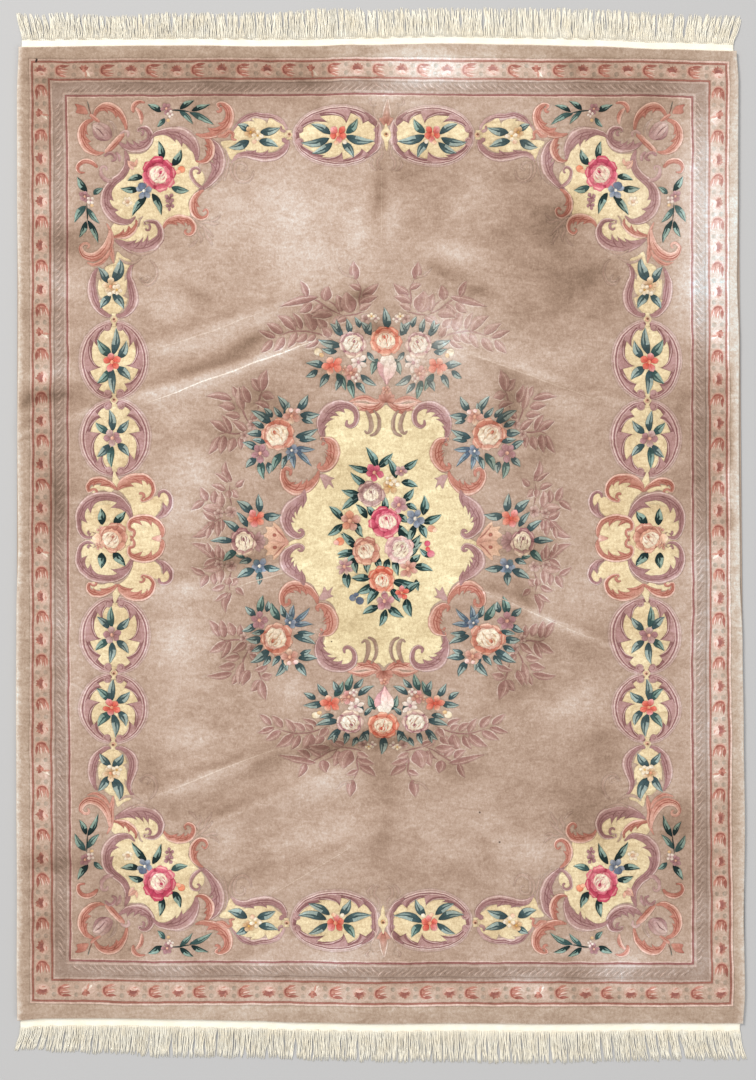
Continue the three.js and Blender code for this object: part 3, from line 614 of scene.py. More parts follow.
# ------------------------------------------------------------------ corner
def chart_corner():
    S.fold_mode = "four"
    # ringed rose in the corner
    g = S.add(catmull([(92.6, 124), (99, 121.6), (106, 123.6), (111.6, 129.6), (112.6, 136.6), (106.6, 140.4), (99.4, 138.6), (94.2, 133.4)], 3, True), mixed("mauve_pale", "field", 0.25), "mauve", (94, 122), (111, 140))
    S.add(catmull([(93, 125.4), (98.6, 124), (104.6, 128.6), (108, 136.6), (101, 136.6), (95.6, 131.4)], 3, True), mixed("mauve_pale", "white", 0.2), mixed("mauve", "mauve_pale", 0.3), (95, 125), (107, 136), None, 0.3)
    S.add(catmull([(99, 121.6), (106, 123.6), (111, 129), (112.4, 136), (108, 131), (103.4, 126.4)], 3, True), mixed("mauve_pale", "field", 0.2), mixed("mauve", "mauve_dark", 0.3), (100, 122), (112, 135), None, 0.3)
    S.add(catmull([(92.8, 127.4), (95.8, 133), (100.6, 137.6), (106.4, 140), (99.6, 140), (94, 135.6)], 3, True), mixed("mauve", "mauve_pale", 0.4), "mauve_dark", (93, 128), (104, 140), None, 0.2)
    sliver(catmull([(95, 126.6), (100, 130), (104.4, 135.6)]), 0.9, "mauve_dark", None, g, -0.5)
    sliver(catmull([(111, 122), (114.5, 128), (114, 136)]), 1.5, "mauve_pale", "field")
    sliver(catmull([(108, 119.5), (113, 122), (117, 128), (117.5, 134)]), 1.2, mixed("mauve_pale", "white", 0.3), "field")
    scroll([(94, 117.5, 2.5), (97.5, 110.5, 5), (104, 106.2, 7.4), (111.5, 106.8, 8.4), (118.5, 111, 7.6), (123.8, 118, 6), (126, 125, 4), (126.6, 131, 2)], "salmon", rim=1, veins=3, teeth=((98, 110, 108, 106.4, 3.6), (112, 107, 120, 112.6, 3)))
    scroll([(93, 119.5, 3), (86.5, 122.5, 5.5), (82, 129.5, 7.6), (81.6, 138, 8.4), (85.5, 146, 8.2), (92.5, 151.3, 6.6), (99, 153, 4), (104, 152, 2)], "salmon", rim=-1, veins=3, teeth=((86, 123, 81.8, 132, 3.2), (81.6, 134, 84, 143.6, 3.6)))
    sliver(catmull([(88, 101.5), (89.5, 108), (91.5, 114)]), 1.3, "leaf_mid", "salmon_dark")
    scroll([(91, 114.5, 3.2), (95, 118, 4), (100, 121, 2.4)], "salmon", veins=1)
    leaf_like([(88.5, 113.2), (85.5, 106.5), (81, 104.5), (75.5, 104), (77.5, 108), (76.5, 112.5), (82.5, 113.8)], "salmon_dark", "salmon", (75, 104), (88, 113))
    scroll([(106.5, 151.5, 4.5), (112, 146, 6), (118, 140, 6), (123.4, 134.6, 4.6)], "salmon", rim=1, veins=1, shade=1.0)
    scroll([(121, 133.5, 2.4), (125, 131.3, 3), (128.6, 133, 3), (128, 137, 2)], "mauve_pale_set", veins=0)
    scroll([(105.5, 155.5, 2.4), (109, 152.5, 3.4), (113.4, 154, 3.6), (115.4, 158.5, 3.2), (112, 160.5, 2.2)], "mauve", veins=1)
    scroll([(116, 152, 2.4), (119, 156, 3.4), (119.6, 160.6, 2.4)], "mauve", veins=0)
    # hooks
    scroll([(144.5, 102.6, 1.8), (139.5, 101.8, 3.6), (135, 104, 5), (132.8, 108.4, 4.6), (133.6, 112, 2.2)], "salmon", rim=-1, veins=1)
    scroll([(136, 108.5, 2.4), (139.8, 112.6, 4.6), (141.4, 118, 4.4), (141.2, 124, 2)], "salmon", rim=-1, veins=1, shade=0.9)
    scroll([(84, 172.5, 1.6), (79, 172, 3), (77.3, 167, 4.2), (80.5, 162.4, 5), (86.6, 160.6, 5.4), (92.4, 162.4, 5), (97, 166.6, 3)], "salmon", rim=1, veins=2, shade=0.8)
    # leaf sprays on the outer side
    for a in ((161.5, 111.8, 147.5, 104.3, 7.5, "dark", 1), (180, 109.5, 194.5, 100.6, 6.6, "dark", -1), (192, 111.5, 210, 104.8, 6, "dark", -1)):
        leaf(*a[:4], a[4], a[5], 0.12 * a[6], a[6])
    for a in ((164.8, 118, 157.5, 127.4, 6, "teal", 1), (180, 111.4, 193.4, 124.4, 6, "teal", 1), (190, 113, 214, 124.8, 7, "teal", 1)):
        leaf(*a[:4], a[4], a[5], -0.12 * a[6], a[6])
    sliver(catmull([(171, 110), (180, 110.6), (192, 112.6)]), 1.6, "leaf_dark", "leaf_teal")
    flower(166.8, 108.6, 5.6, "mauve_dark", 5, 0.4)
    flower(170.6, 114, 3.6, "pale", 4, 0.2)
    berry(168.6, 120.4, 1.9, "tan", "cream_deep")
    for a in ((87.5, 191.5, 77.4, 176.4, 7.6, "dark", -1), (85.4, 205.5, 74.2, 223, 8, "teal", 1), (86, 222, 78.6, 237.5, 6.6, "dark", -1)):
        leaf(*a[:4], a[4], a[5], 0.12 * a[6], a[6])
    for a in ((93, 194.5, 102.8, 187.4, 6.4, "teal", 1), (87, 208.5, 99.2, 223.6, 6.6, "teal", -1), (87.4, 221, 97.6, 243.6, 6.8, "dark", 1)):
        leaf(*a[:4], a[4], a[5], -0.1 * a[6], a[6])
    sliver(catmull([(86.2, 204), (86.6, 212), (87.6, 222)]), 1.5, "leaf_teal", "leaf_dark")
    flower(84.6, 196.6, 5.8, "mauve_dark", 5, 1.2)
    flower(90.2, 200.4, 4, "pale", 4, 0.9)
    berry(91.4, 205.6, 1.9, "tan", "cream_deep")

    # the yellow ground of the corner
    ground = [(161.5, 135), (169, 136), (176.5, 140), (183, 138.6), (187, 147), (194, 153.5), (199, 160), (198.5, 168), (203.5, 172), (204.5, 180), (199.5, 187), (193.5, 193.5),
              (188.5, 202), (190.4, 212), (187.6, 217.2), (178, 217.6), (170.4, 219.6), (164.4, 226.6), (160, 229.4), (160.4, 237), (154, 243.6), (146, 246), (136.4, 246.6), (128, 243),
              (118, 240), (112.4, 235), (111.2, 227), (117, 220.5), (110.4, 214), (106.5, 206), (108.4, 196), (110.4, 189.4), (117.6, 181.6), (126.2, 173.4), (127.4, 163), (126.2, 154.2), (134, 154.6),
              (144, 153), (151.8, 145.6), (154, 138.6)]
    S.add(catmull(ground, 4, True), "yellow", mixed("yellow", "yellow_deep", 0.4), (120, 140), (190, 220))
    # inner acanthus on the left
    g = scroll([(124.8, 151, 2), (127, 158, 5.4), (126.4, 167, 6.8), (121.6, 175.4, 7.6), (113.4, 182, 8.4), (106.8, 190, 9), (104.8, 199.5, 9.6), (107, 209.4, 10), (113.4, 217.4, 9.4), (121.4, 221.4, 7.6), (129, 221.4, 5), (135, 216.6, 1.5)], "mauve", rim=-1, veins=3, teeth=((0.36, 0.56, 4.4), (0.58, 0.73, 5)))
    scroll(spiral(105.4, 169.2, 1.2, 5.2, 20, -215, 1.8, 3.4, 7) + [(101.6, 175, 4.2), (106, 179.6, 4.4), (112, 180.6, 3.4)], "mauve", rim=0, veins=0)
    # the three-toothed curl above it
    g = scroll(spiral(141.2, 134.6, 1.0, 4.9, 60, -130, 2.0, 3.4, 6) + [(142, 128.2, 4), (148, 129.6, 5.6), (151, 135.8, 7), (148.6, 142.8, 8), (142, 147.8, 8.4), (134, 149, 8), (126.4, 147.4, 6), (119.6, 143, 2.4)], "mauve", rim=1, veins=2, teeth=((150, 139.6, 143, 147.4, 3.4), (142, 147.8, 134.4, 149, 4.6), (133, 149, 126.6, 147.4, 4)))
    # acanthus along the top of the ground
    g = scroll([(150.6, 140, 1.6), (156.4, 134.4, 4.4), (163.6, 132.4, 6.4), (172, 132.2, 10), (181, 134, 13.6), (189.4, 139.4, 13.4), (194.8, 147, 9.8), (196.6, 154, 6), (196.8, 161, 2.4)], "mauve", rim=1, veins=3, teeth=((0.22, 0.42, 4), (0.44, 0.6, 4.6)))
    sliver(catmull([(176, 126.6), (184, 127.6), (191.6, 130.8), (197.4, 136)]), 1.6, "mauve_pale", "field")
    # sweep on the right with its curl
    g = scroll([(206.4, 138.6, 2.4), (213.4, 142.6, 6.2), (218.8, 150.4, 9.6), (220.2, 160.6, 11.6), (217.4, 171, 11), (211.6, 179.6, 8), (205, 186, 5), (199, 189.2, 2)], "mauve", rim=1, veins=3, teeth=((0.64, 0.49, 6), (0.49, 0.36, 6), (0.36, 0.22, 5)))
    sliver(catmull([(225.6, 147), (228.6, 158), (226, 171), (218.6, 182), (208.4, 189.6)]), 1.8, "mauve_pale", "field")
    scroll(spiral(197.6, 171.8, 1.0, 6.4, 60, -180, 2.0, 3.4, 7) + [(192.4, 178.4, 4), (197, 184.2, 4), (203, 187.6, 2.4)], "mauve", rim=-1, veins=0)
    # salmon hook between them
    g = scroll([(205.6, 136.6, 2.6), (209.6, 141.6, 6.4), (211.6, 148.4, 8), (210.4, 154.6, 7.6), (206, 159.6, 6), (200.4, 161.6, 3.6), (196, 160.6, 1.4)], "salmon", rim=1, veins=2, shade=0.9, teeth=((0.62, 0.42, 4), (0.4, 0.22, 3.4)))
    # the big salmon scroll on the top right
    g = scroll(spiral(217.4, 110.2, 1.0, 4.8, 120, -90, 2.0, 4.6, 6) + [(222.6, 104.8, 6), (228.4, 109.4, 8), (230, 117.2, 9.4), (227, 125.6, 10), (219.8, 131.6, 9), (211.4, 134.6, 7), (203.4, 135.4, 5), (196.4, 134, 2)], "salmon", rim=1, veins=3, teeth=((230, 115, 224.6, 128, 3.4), (223, 129.6, 212, 134.6, 4.4)))
    scroll([(218.4, 136, 3), (224.4, 135.6, 5), (229, 131.6, 4.4), (233, 133.6, 3.2), (232, 138, 3), (236, 139.6, 1.6)], "salmon", rim=0, veins=1, shade=0.2)
    # lower right salmon
    g = scroll([(203, 189.6, 2), (198.4, 192.6, 4.4), (194, 198.4, 6.4), (192.8, 205.8, 7.4), (195, 213, 6.6), (200.4, 217.4, 4.8), (206, 216.2, 3.6), (208.2, 211.6, 2.8), (205.6, 208.4, 2.4), (202.6, 210.8, 1.6)], "salmon", rim=-1, veins=2, teeth=((195.6, 196, 192.8, 205, 3.6),))
    g = scroll([(162.6, 228.4, 1.6), (167.4, 221.6, 5), (174.6, 218.4, 7.4), (182.4, 217.6, 7.6), (189.8, 219.6, 6.6), (194, 225, 5.4), (193.4, 231.2, 4.4), (188.6, 234.4, 3.4), (185, 231.6, 2.6), (186.8, 228.6, 1.8)], "salmon", rim=1, veins=3, teeth=((167, 221.8, 175, 218.4, 3.4), (176, 218.2, 184, 218, 4), (185, 218.4, 191, 221, 2.4)))
    # bottom scroll
    g = scroll(spiral(146.6, 227.4, 1.0, 5.6, 150, -120, 1.8, 3.2, 7) + [(149.6, 220.6, 4), (156.4, 221.6, 4.8), (160.8, 228.4, 6), (160.2, 236.6, 8.4), (154, 243.6, 11), (144.6, 247.4, 12), (134, 247.6, 11), (124.4, 244.6, 8), (115.6, 240.4, 3)], "mauve", rim=1, veins=3, teeth=((0.90, 0.80, 5), (0.80, 0.71, 6.4), (0.71, 0.62, 6.4)))
    g = scroll([(112.6, 236.8, 2), (118.6, 236.6, 5), (125.6, 235, 6.4), (132, 230.6, 5.6), (136.2, 224.8, 3.8), (135.8, 219.6, 1.6)], "salmon", rim=-1, veins=2, shade=0.9, teeth=((117, 236.6, 124.6, 235.2, 3.4), (125.6, 235, 131.6, 231, 3.6)))
    # big salmon scroll on the lower left
    scroll([(106.6, 223.6, 1.4), (110, 230.6, 3.4), (111.4, 238.6, 5), (110.6, 246, 5.4), (112, 254, 5), (113.6, 263, 1.4)], "salmon", rim=0, veins=2, shade=0.3)
    g = scroll(spiral(86.4, 247.4, 1.0, 5.2, 60, -160, 2.0, 3.6, 7) + [(80.4, 248.6, 4.6), (83.6, 254.8, 6.6), (91.4, 257.4, 8.6), (99.6, 254.4, 9.4), (105.4, 247.4, 8), (108.6, 239, 5.6), (109.4, 231, 2.4)], "salmon", rim=1, veins=3)
    scroll([(87, 262.6, 1.4), (94, 264.6, 3.4), (101, 262.4, 4.4), (107, 256.4, 3.6), (110, 250.6, 1.6)], "salmon", rim=0, veins=1, shade=0.15)

    # flowers on the yellow ground
    leaf(161.6, 160.4, 159, 141.2, 8.6, "dark", 0.14, -1)
    leaf(172.4, 165.4, 181.4, 149.6, 9, "dark", 0.16, -1)
    leaf(171, 186.8, 189, 190.6, 8, "teal", 0.14, 1)
    leaf(152, 193, 161.4, 214.6, 8, "dark", -0.12, 1)
    leaf(146.4, 196, 132, 215.6, 8, "dark", 0.1, 1)
    leaf(143.4, 176.8, 127.6, 180.6, 7.6, "dark", 0.16, 1)
    leaf(139, 188.8, 120.6, 188.2, 8, "dark", -0.14, -1)
    bud(133.4, 169.6, -122, 11, 5.4, "salmon_pale", "peach")
    bud(136.6, 166, -150, 10, 5, "salmon", "salmon_pale")
    bud(135.8, 165.4, -82, 7, 4, "peach", "salmon_pale")
    rose(158.7, 174.2, 17.2, "crimson", 0.3, 8, 0.47, (0.6, 0.4))
    flower(144.4, 190.4, 7.6, "blue", 5, 0.9)
    berry(142, 185.8, 3.9, "blue_dark", "blue")
    flower(169.4, 198, 5.4, "plum_set", 4, 0.6)
    flower(170, 205.6, 4.6, "plum_set", 4, 0.2)
    berry(182, 169.2, 3.9, "orange", "orange_pale")
    berry(178.6, 171.6, 2.6, "orange_pale", "peach")
    flower(127.6, 201.6, 4.9, "cream", 5, 0.3)
    berry(127.6, 201.6, 2.2, "mauve_pale", "tan")

    # sprays carved in the colour of the ground
    for rows in ([(193.6, 217.6, 1.6), (199.4, 222.6, 3), (204.6, 227.6, 3.4), (209.6, 231.6, 2.4), (213.6, 236.4, 1)],
                 [(201, 222.6, 1.4), (207.4, 221.4, 3.4), (213.6, 223.6, 3.4), (219, 222, 1.2)],
                 [(209.8, 221, 1.2), (216, 218.6, 3), (220.4, 214.4, 1)],
                 [(199.4, 226.6, 1.2), (198.6, 232.4, 3.4), (201.6, 237.4, 3), (200.6, 242.6, 1)],
                 [(205.4, 229.6, 1.2), (206.6, 235.6, 3.4), (210.6, 240.6, 2.8), (212.4, 245.6, 1)],
                 [(197.6, 238.6, 1), (193.6, 243.4, 3), (188.8, 246.4, 1)]):
        ghost(rows)
    for rows in (spiral(242.6, 168.8, 1.2, 7.6, 90, -150, 1.6, 3.0, 8) + [(236.4, 176.6, 3.2), (243.6, 181.6, 3.6), (250.6, 178.4, 3), (253.4, 170.6, 1.4)],
                 [(233.8, 160.6, 1.4), (231, 168.4, 3), (233.2, 176, 3), (238.6, 182.4, 1.4)],
                 [(224.6, 180.6, 1), (226.8, 172.4, 3), (229.4, 164.6, 1)],
                 spiral(146.6, 277, 1.2, 6.4, -60, 170, 1.6, 2.8, 7) + [(146.6, 284.6, 3), (153.4, 281.6, 3.4), (156.8, 273.4, 3), (154.6, 264.6, 2.4), (150, 259.6, 1)],
                 [(131.4, 250.6, 1), (139.4, 254, 3), (147.6, 252.4, 3), (154.6, 249.6, 1)],
                 [(119, 258, 1), (126, 262.4, 3), (134.4, 262, 3), (142, 257.6, 1)],
                 [(138.6, 226, 1), (139.6, 219.6, 2), (142.6, 216, 1)]):
        ghost(rows)


def leaf_like(pts, c0, c1, p0, p1):
    g = S.add(catmull(pts, 3, True), c0, c1, p0, p1, None, 0.3)
    return g


# --------------------------------------------------------- chains of frames
def chart_chain():
    S.fold_mode = "four"
    # small open frame next to the corner, top row
    scroll([(231, 133.6, 1.6), (238.4, 125.6, 6), (246, 118.4, 7.4), (254.6, 114.8, 6), (262.6, 116.2, 6.6), (271.4, 117, 6.6), (279.4, 120.4, 6.6), (284.6, 126.6, 5), (286.6, 132, 2)], "mauve", rim=-1, veins=2)
    S.add(catmull([(242, 124.6), (230.6, 135.4), (236.4, 139.2), (220.8, 141.4), (226.6, 150), (231.8, 159.4), (237, 152.6), (247, 149)], 3, True), "yellow", "yellow_deep", (230, 128), (240, 158))
    S.add(toothed(260, 135.4, 27, 18.6, [(202, 250, 0.83), (250, 289, 0.72), (166, 114, 0.84)]), "yellow", "yellow_deep", (236, 118), (284, 152))
    g = scroll([(232, 161.6, 2), (237.6, 155.8, 5), (246, 154, 6.6), (255.4, 155.8, 8), (266.4, 157.4, 8.6), (277, 155.6, 7.6), (284.6, 150.2, 6.4), (287.4, 143.2, 5), (283, 139.4, 4.4)], "mauve", rim=-1, veins=2, teeth=((0.24, 0.36, 3), (0.4, 0.56, 3.6)))
    scroll([(284.6, 131.6, 3.4), (281.4, 130, 3), (281, 126.4, 2)], "mauve", veins=0)
    knot(289, 135.2, 5, 3)
    leaf(250.2, 130.6, 237.6, 124.1, 8.5, "grey", 0.1, 1)
    leaf(249, 140.3, 229, 147.4, 10.1, "grey", -0.14, -1)
    leaf(260, 132, 280.3, 127.6, 9.4, "grey", 0.14, 1)
    leaf(258.7, 141, 278.4, 146.9, 9.4, "grey", -0.14, -1)
    flower(250.6, 132, 6.2, "tan", 5, 0.4)
    flower(257.6, 135.6, 5.4, "cream", 4, 0.2)
    berry(254, 141.6, 2.6, "cream", "peach")
    # big frame of the top row
    frame_oval(338.4, 136.2, 44.4, 29.6, 39.6, 23.6, [(188, 240, 0.70), (240, 287, 0.60), (287, 319, 0.80), (176, 118, 0.88), (118, 84, 0.70), (84, 46, 0.82)], halves=((190, 350), (10, 170)),
               knobs=((299.6, 129.4, 4, 40), (299.6, 142, 4.2, 200), (377.6, 130.6, 3.6, 0), (377.6, 141.4, 3.6, 180)))
    scroll([(365, 113.6, 2), (371.6, 117.6, 4.6), (377, 123.4, 6), (379.2, 130, 6.6), (378.6, 136, 7), (379, 142, 6.4), (376.6, 148.6, 5.6), (371, 154.4, 4.4), (365, 158.4, 2)], "mauve", rim=1, veins=1, shade=0.9)
    leaf(330.5, 134.7, 310.8, 123.9, 8.5, "grey", 0.16, 1)
    leaf(329.4, 138.2, 300.6, 142.6, 9, "grey", -0.2, -1)
    leaf(332.6, 142.7, 311.9, 153.5, 8.5, "grey", -0.14, 1)
    leaf(346.3, 133.4, 357.7, 119.5, 9, "teal", 0.2, 1)
    leaf(345.7, 135.8, 375, 141.9, 9.4, "grey", 0.16, -1)
    leaf(342.5, 142.5, 353.7, 157.9, 9, "grey", -0.2, 1)
    flower(338.4, 134.8, 9, "red", 5, 0.3, alt="pink_pale")
    berry(336.6, 143, 2.4, "orange_pale", "cream")
    berry(345, 142.4, 2.2, "cream", "white")
    # the left column: pear-shaped frame
    g1 = scroll([(96.6, 268.6, 2), (93.4, 275, 5), (91.6, 283.6, 8), (92.4, 293.6, 9.6), (95.4, 303.4, 9), (101.4, 311.6, 6.6), (108, 315.6, 4.4), (110.6, 312.4, 2)], "mauve", rim=-1, veins=3)
    g2 = scroll([(135, 261.4, 1.6), (130.4, 267.6, 4), (129, 276, 5.6), (131.4, 285.4, 8.4), (133.6, 296, 9.4), (131.6, 306, 9), (125.4, 313.4, 6.4), (118.6, 315.6, 4.2), (116.4, 312, 2)], "mauve", rim=1, veins=3)
    S.add(catmull([(104.6, 270), (108.6, 264.6), (114.4, 262.4), (117.2, 251.6), (123.4, 256.4), (131, 260), (127.6, 269), (121, 277)], 3, True), "yellow", "yellow_deep", (108, 256), (124, 276))
    S.add(toothed(112.6, 289.6, 15.8, 24.4, [(246, 209, 0.82), (209, 156, 0.78), (-62, -28, 0.82), (-28, 20, 0.64)]), "yellow", "yellow_deep", (98, 266), (128, 312))
    leaf(111.8, 281.3, 120.3, 257.7, 11.6, "grey", 0.22, -1)
    leaf(107.6, 282.9, 97.6, 267.3, 9, "grey", 0.14, 1)
    leaf(110.7, 294.6, 99.9, 308.8, 8.5, "grey", 0.14, 1)
    leaf(111.9, 294, 123.3, 308.6, 9.4, "grey", -0.2, 1)
    flower(110.4, 286, 7.8, "gold", 5, 0.9)
    flower(116.4, 289.6, 5, "cream", 5, 0.2)
    berry(109.6, 293.4, 2.4, "white", "cream")
    # two big frames of the left column
    frame_oval(113.4, 360.4, 33.6, 39.4, 25.2, 34.2, [(258, 217, 0.80), (217, 164, 0.58), (164, 128, 0.84), (-76, -36, 0.74), (-36, 14, 0.55), (14, 56, 0.80)],
               knobs=((106.8, 326.8, 4, 90), (120.2, 326.8, 4, -90), (107.4, 393.2, 4.1, 0), (120, 393.2, 4.1, 180)))
    leaf(112.3, 354.7, 115.7, 327.4, 9.4, "grey", 0.14, -1)
    leaf(111.1, 356.3, 97.5, 338.8, 10.5, "teal", -0.14, -1)
    leaf(117.8, 358.4, 126.1, 340.5, 9, "grey", 0.2, 1)
    leaf(109.9, 368.6, 96.7, 383, 9.4, "teal", -0.14, 1)
    leaf(111.8, 369.1, 113.8, 394.9, 8.3, "grey", 0.1, 1)
    leaf(115.6, 367.4, 129.8, 380, 9.6, "grey", -0.16, -1)
    flower(111.8, 361.8, 8.8, "red", 5, 0.8, alt="pink_pale")
    frame_oval(114.8, 438.6, 34.6, 38.6, 25.6, 33.4, [(98, 134, 0.66), (134, 190, 0.58), (190, 226, 0.82), (82, 41, 0.66), (41, -10, 0.58), (-10, -52, 0.80)],
               knobs=((107.6, 406.4, 4.1, 90), (120.6, 406.4, 4.1, -90), (108, 471.4, 4.2, 0), (121, 471.4, 4.2, 180)))
    leaf(111.9, 431.8, 109, 409.8, 8.5, "grey", 0.14, 1)
    leaf(108.9, 433.7, 95.3, 422.7, 8.5, "teal", -0.14, -1)
    leaf(116.4, 432.8, 128.6, 420.4, 8.5, "grey", 0.18, 1)
    leaf(108.6, 444.7, 96.2, 457.7, 8.5, "grey", -0.14, 1)
    leaf(111.7, 446.4, 110.9, 468.4, 8.3, "teal", 0.12, 1)
    leaf(116.4, 444.4, 129, 456.6, 8.5, "grey", -0.16, -1)
    flower(111.8, 438.6, 8.6, "mauve_dark", 5, 0.5, alt="mauve_pale")

    knot(113.5, 319.6)
    knot(113.8, 400.4)
    # on the upright axis: fleur and knot
    S.fold_mode = "tb"
    S.add(catmull([(386.8, 127), (382.6, 124), (379.4, 118.4), (382.8, 117.6), (384.4, 110), (386.9, 99.6), (389.4, 110), (391, 117.6), (394.4, 118.4), (391.2, 124)], 3, True),
          mixed("salmon", "terra_soft", 0.4), mixed("salmon_pale", "field", 0.6), (387, 125), (387, 104))
    g = S.add(catmull([(386.8, 125.6), (384.2, 121), (385.2, 114), (387, 108.6), (388.8, 114), (389.8, 121)], 3, True), "salmon_dark", mixed("salmon_pale", "field", 0.3), (387, 126), (387, 110))
    for w in (-1, 1):
        sliver(catmull([(386.9 + w * 0.4, 99), (386.9 + w * 2.8, 109), (386.9 + w * 4.6, 116.6)]), 1.4, mixed("salmon_pale", "white", 0.5), mixed("guard_pale", "white", 0.3), None)
    for w in (-1, 1):
        sliver(catmull([(386.8 + w * 10.6, 128), (386.8 + w * 8.4, 122), (386.8 + w * 12.8, 112), (386.8 + w * 10.4, 104)]), 1.4, mixed("salmon_pale", "white", 0.3), "field")
        ghost([(386.8 + w * 5.6, 146, 1), (386.8 + w * 4.4, 156, 2.4), (386.8 + w * 8.6, 161.4, 3), (386.8 + w * 8, 168, 2.6), (386.8 + w * 4.6, 170.4, 1)])
        ghost([(386.8 + w * 13.4, 107, 1), (386.8 + w * 17, 103, 2.2), (386.8 + w * 15, 99.6, 1)])
        ghost([(386.8 + w * 13.6, 160, 1), (386.8 + w * 15.6, 165, 2.4), (386.8 + w * 12.4, 169.6, 2.4), (386.8 + w * 9.6, 171.6, 1)])
    S.add(catmull([(386.6, 123.6), (388.8, 129), (391.4, 133), (391.2, 138), (388.8, 142), (388.4, 147), (386.6, 152), (384.8, 147), (384.4, 142), (382, 138), (381.8, 133), (384.4, 129)], 3, True), "yellow", "yellow_deep", (386, 122), (386, 150))
    g = S.add(oval(386.6, 135.6, 2.5, 2.4, n=8), "tan", "peach")
    S.add(oval(386.7, 135.3, 1.5, 1.3, n=6), "brown", "brown", None, None, g)


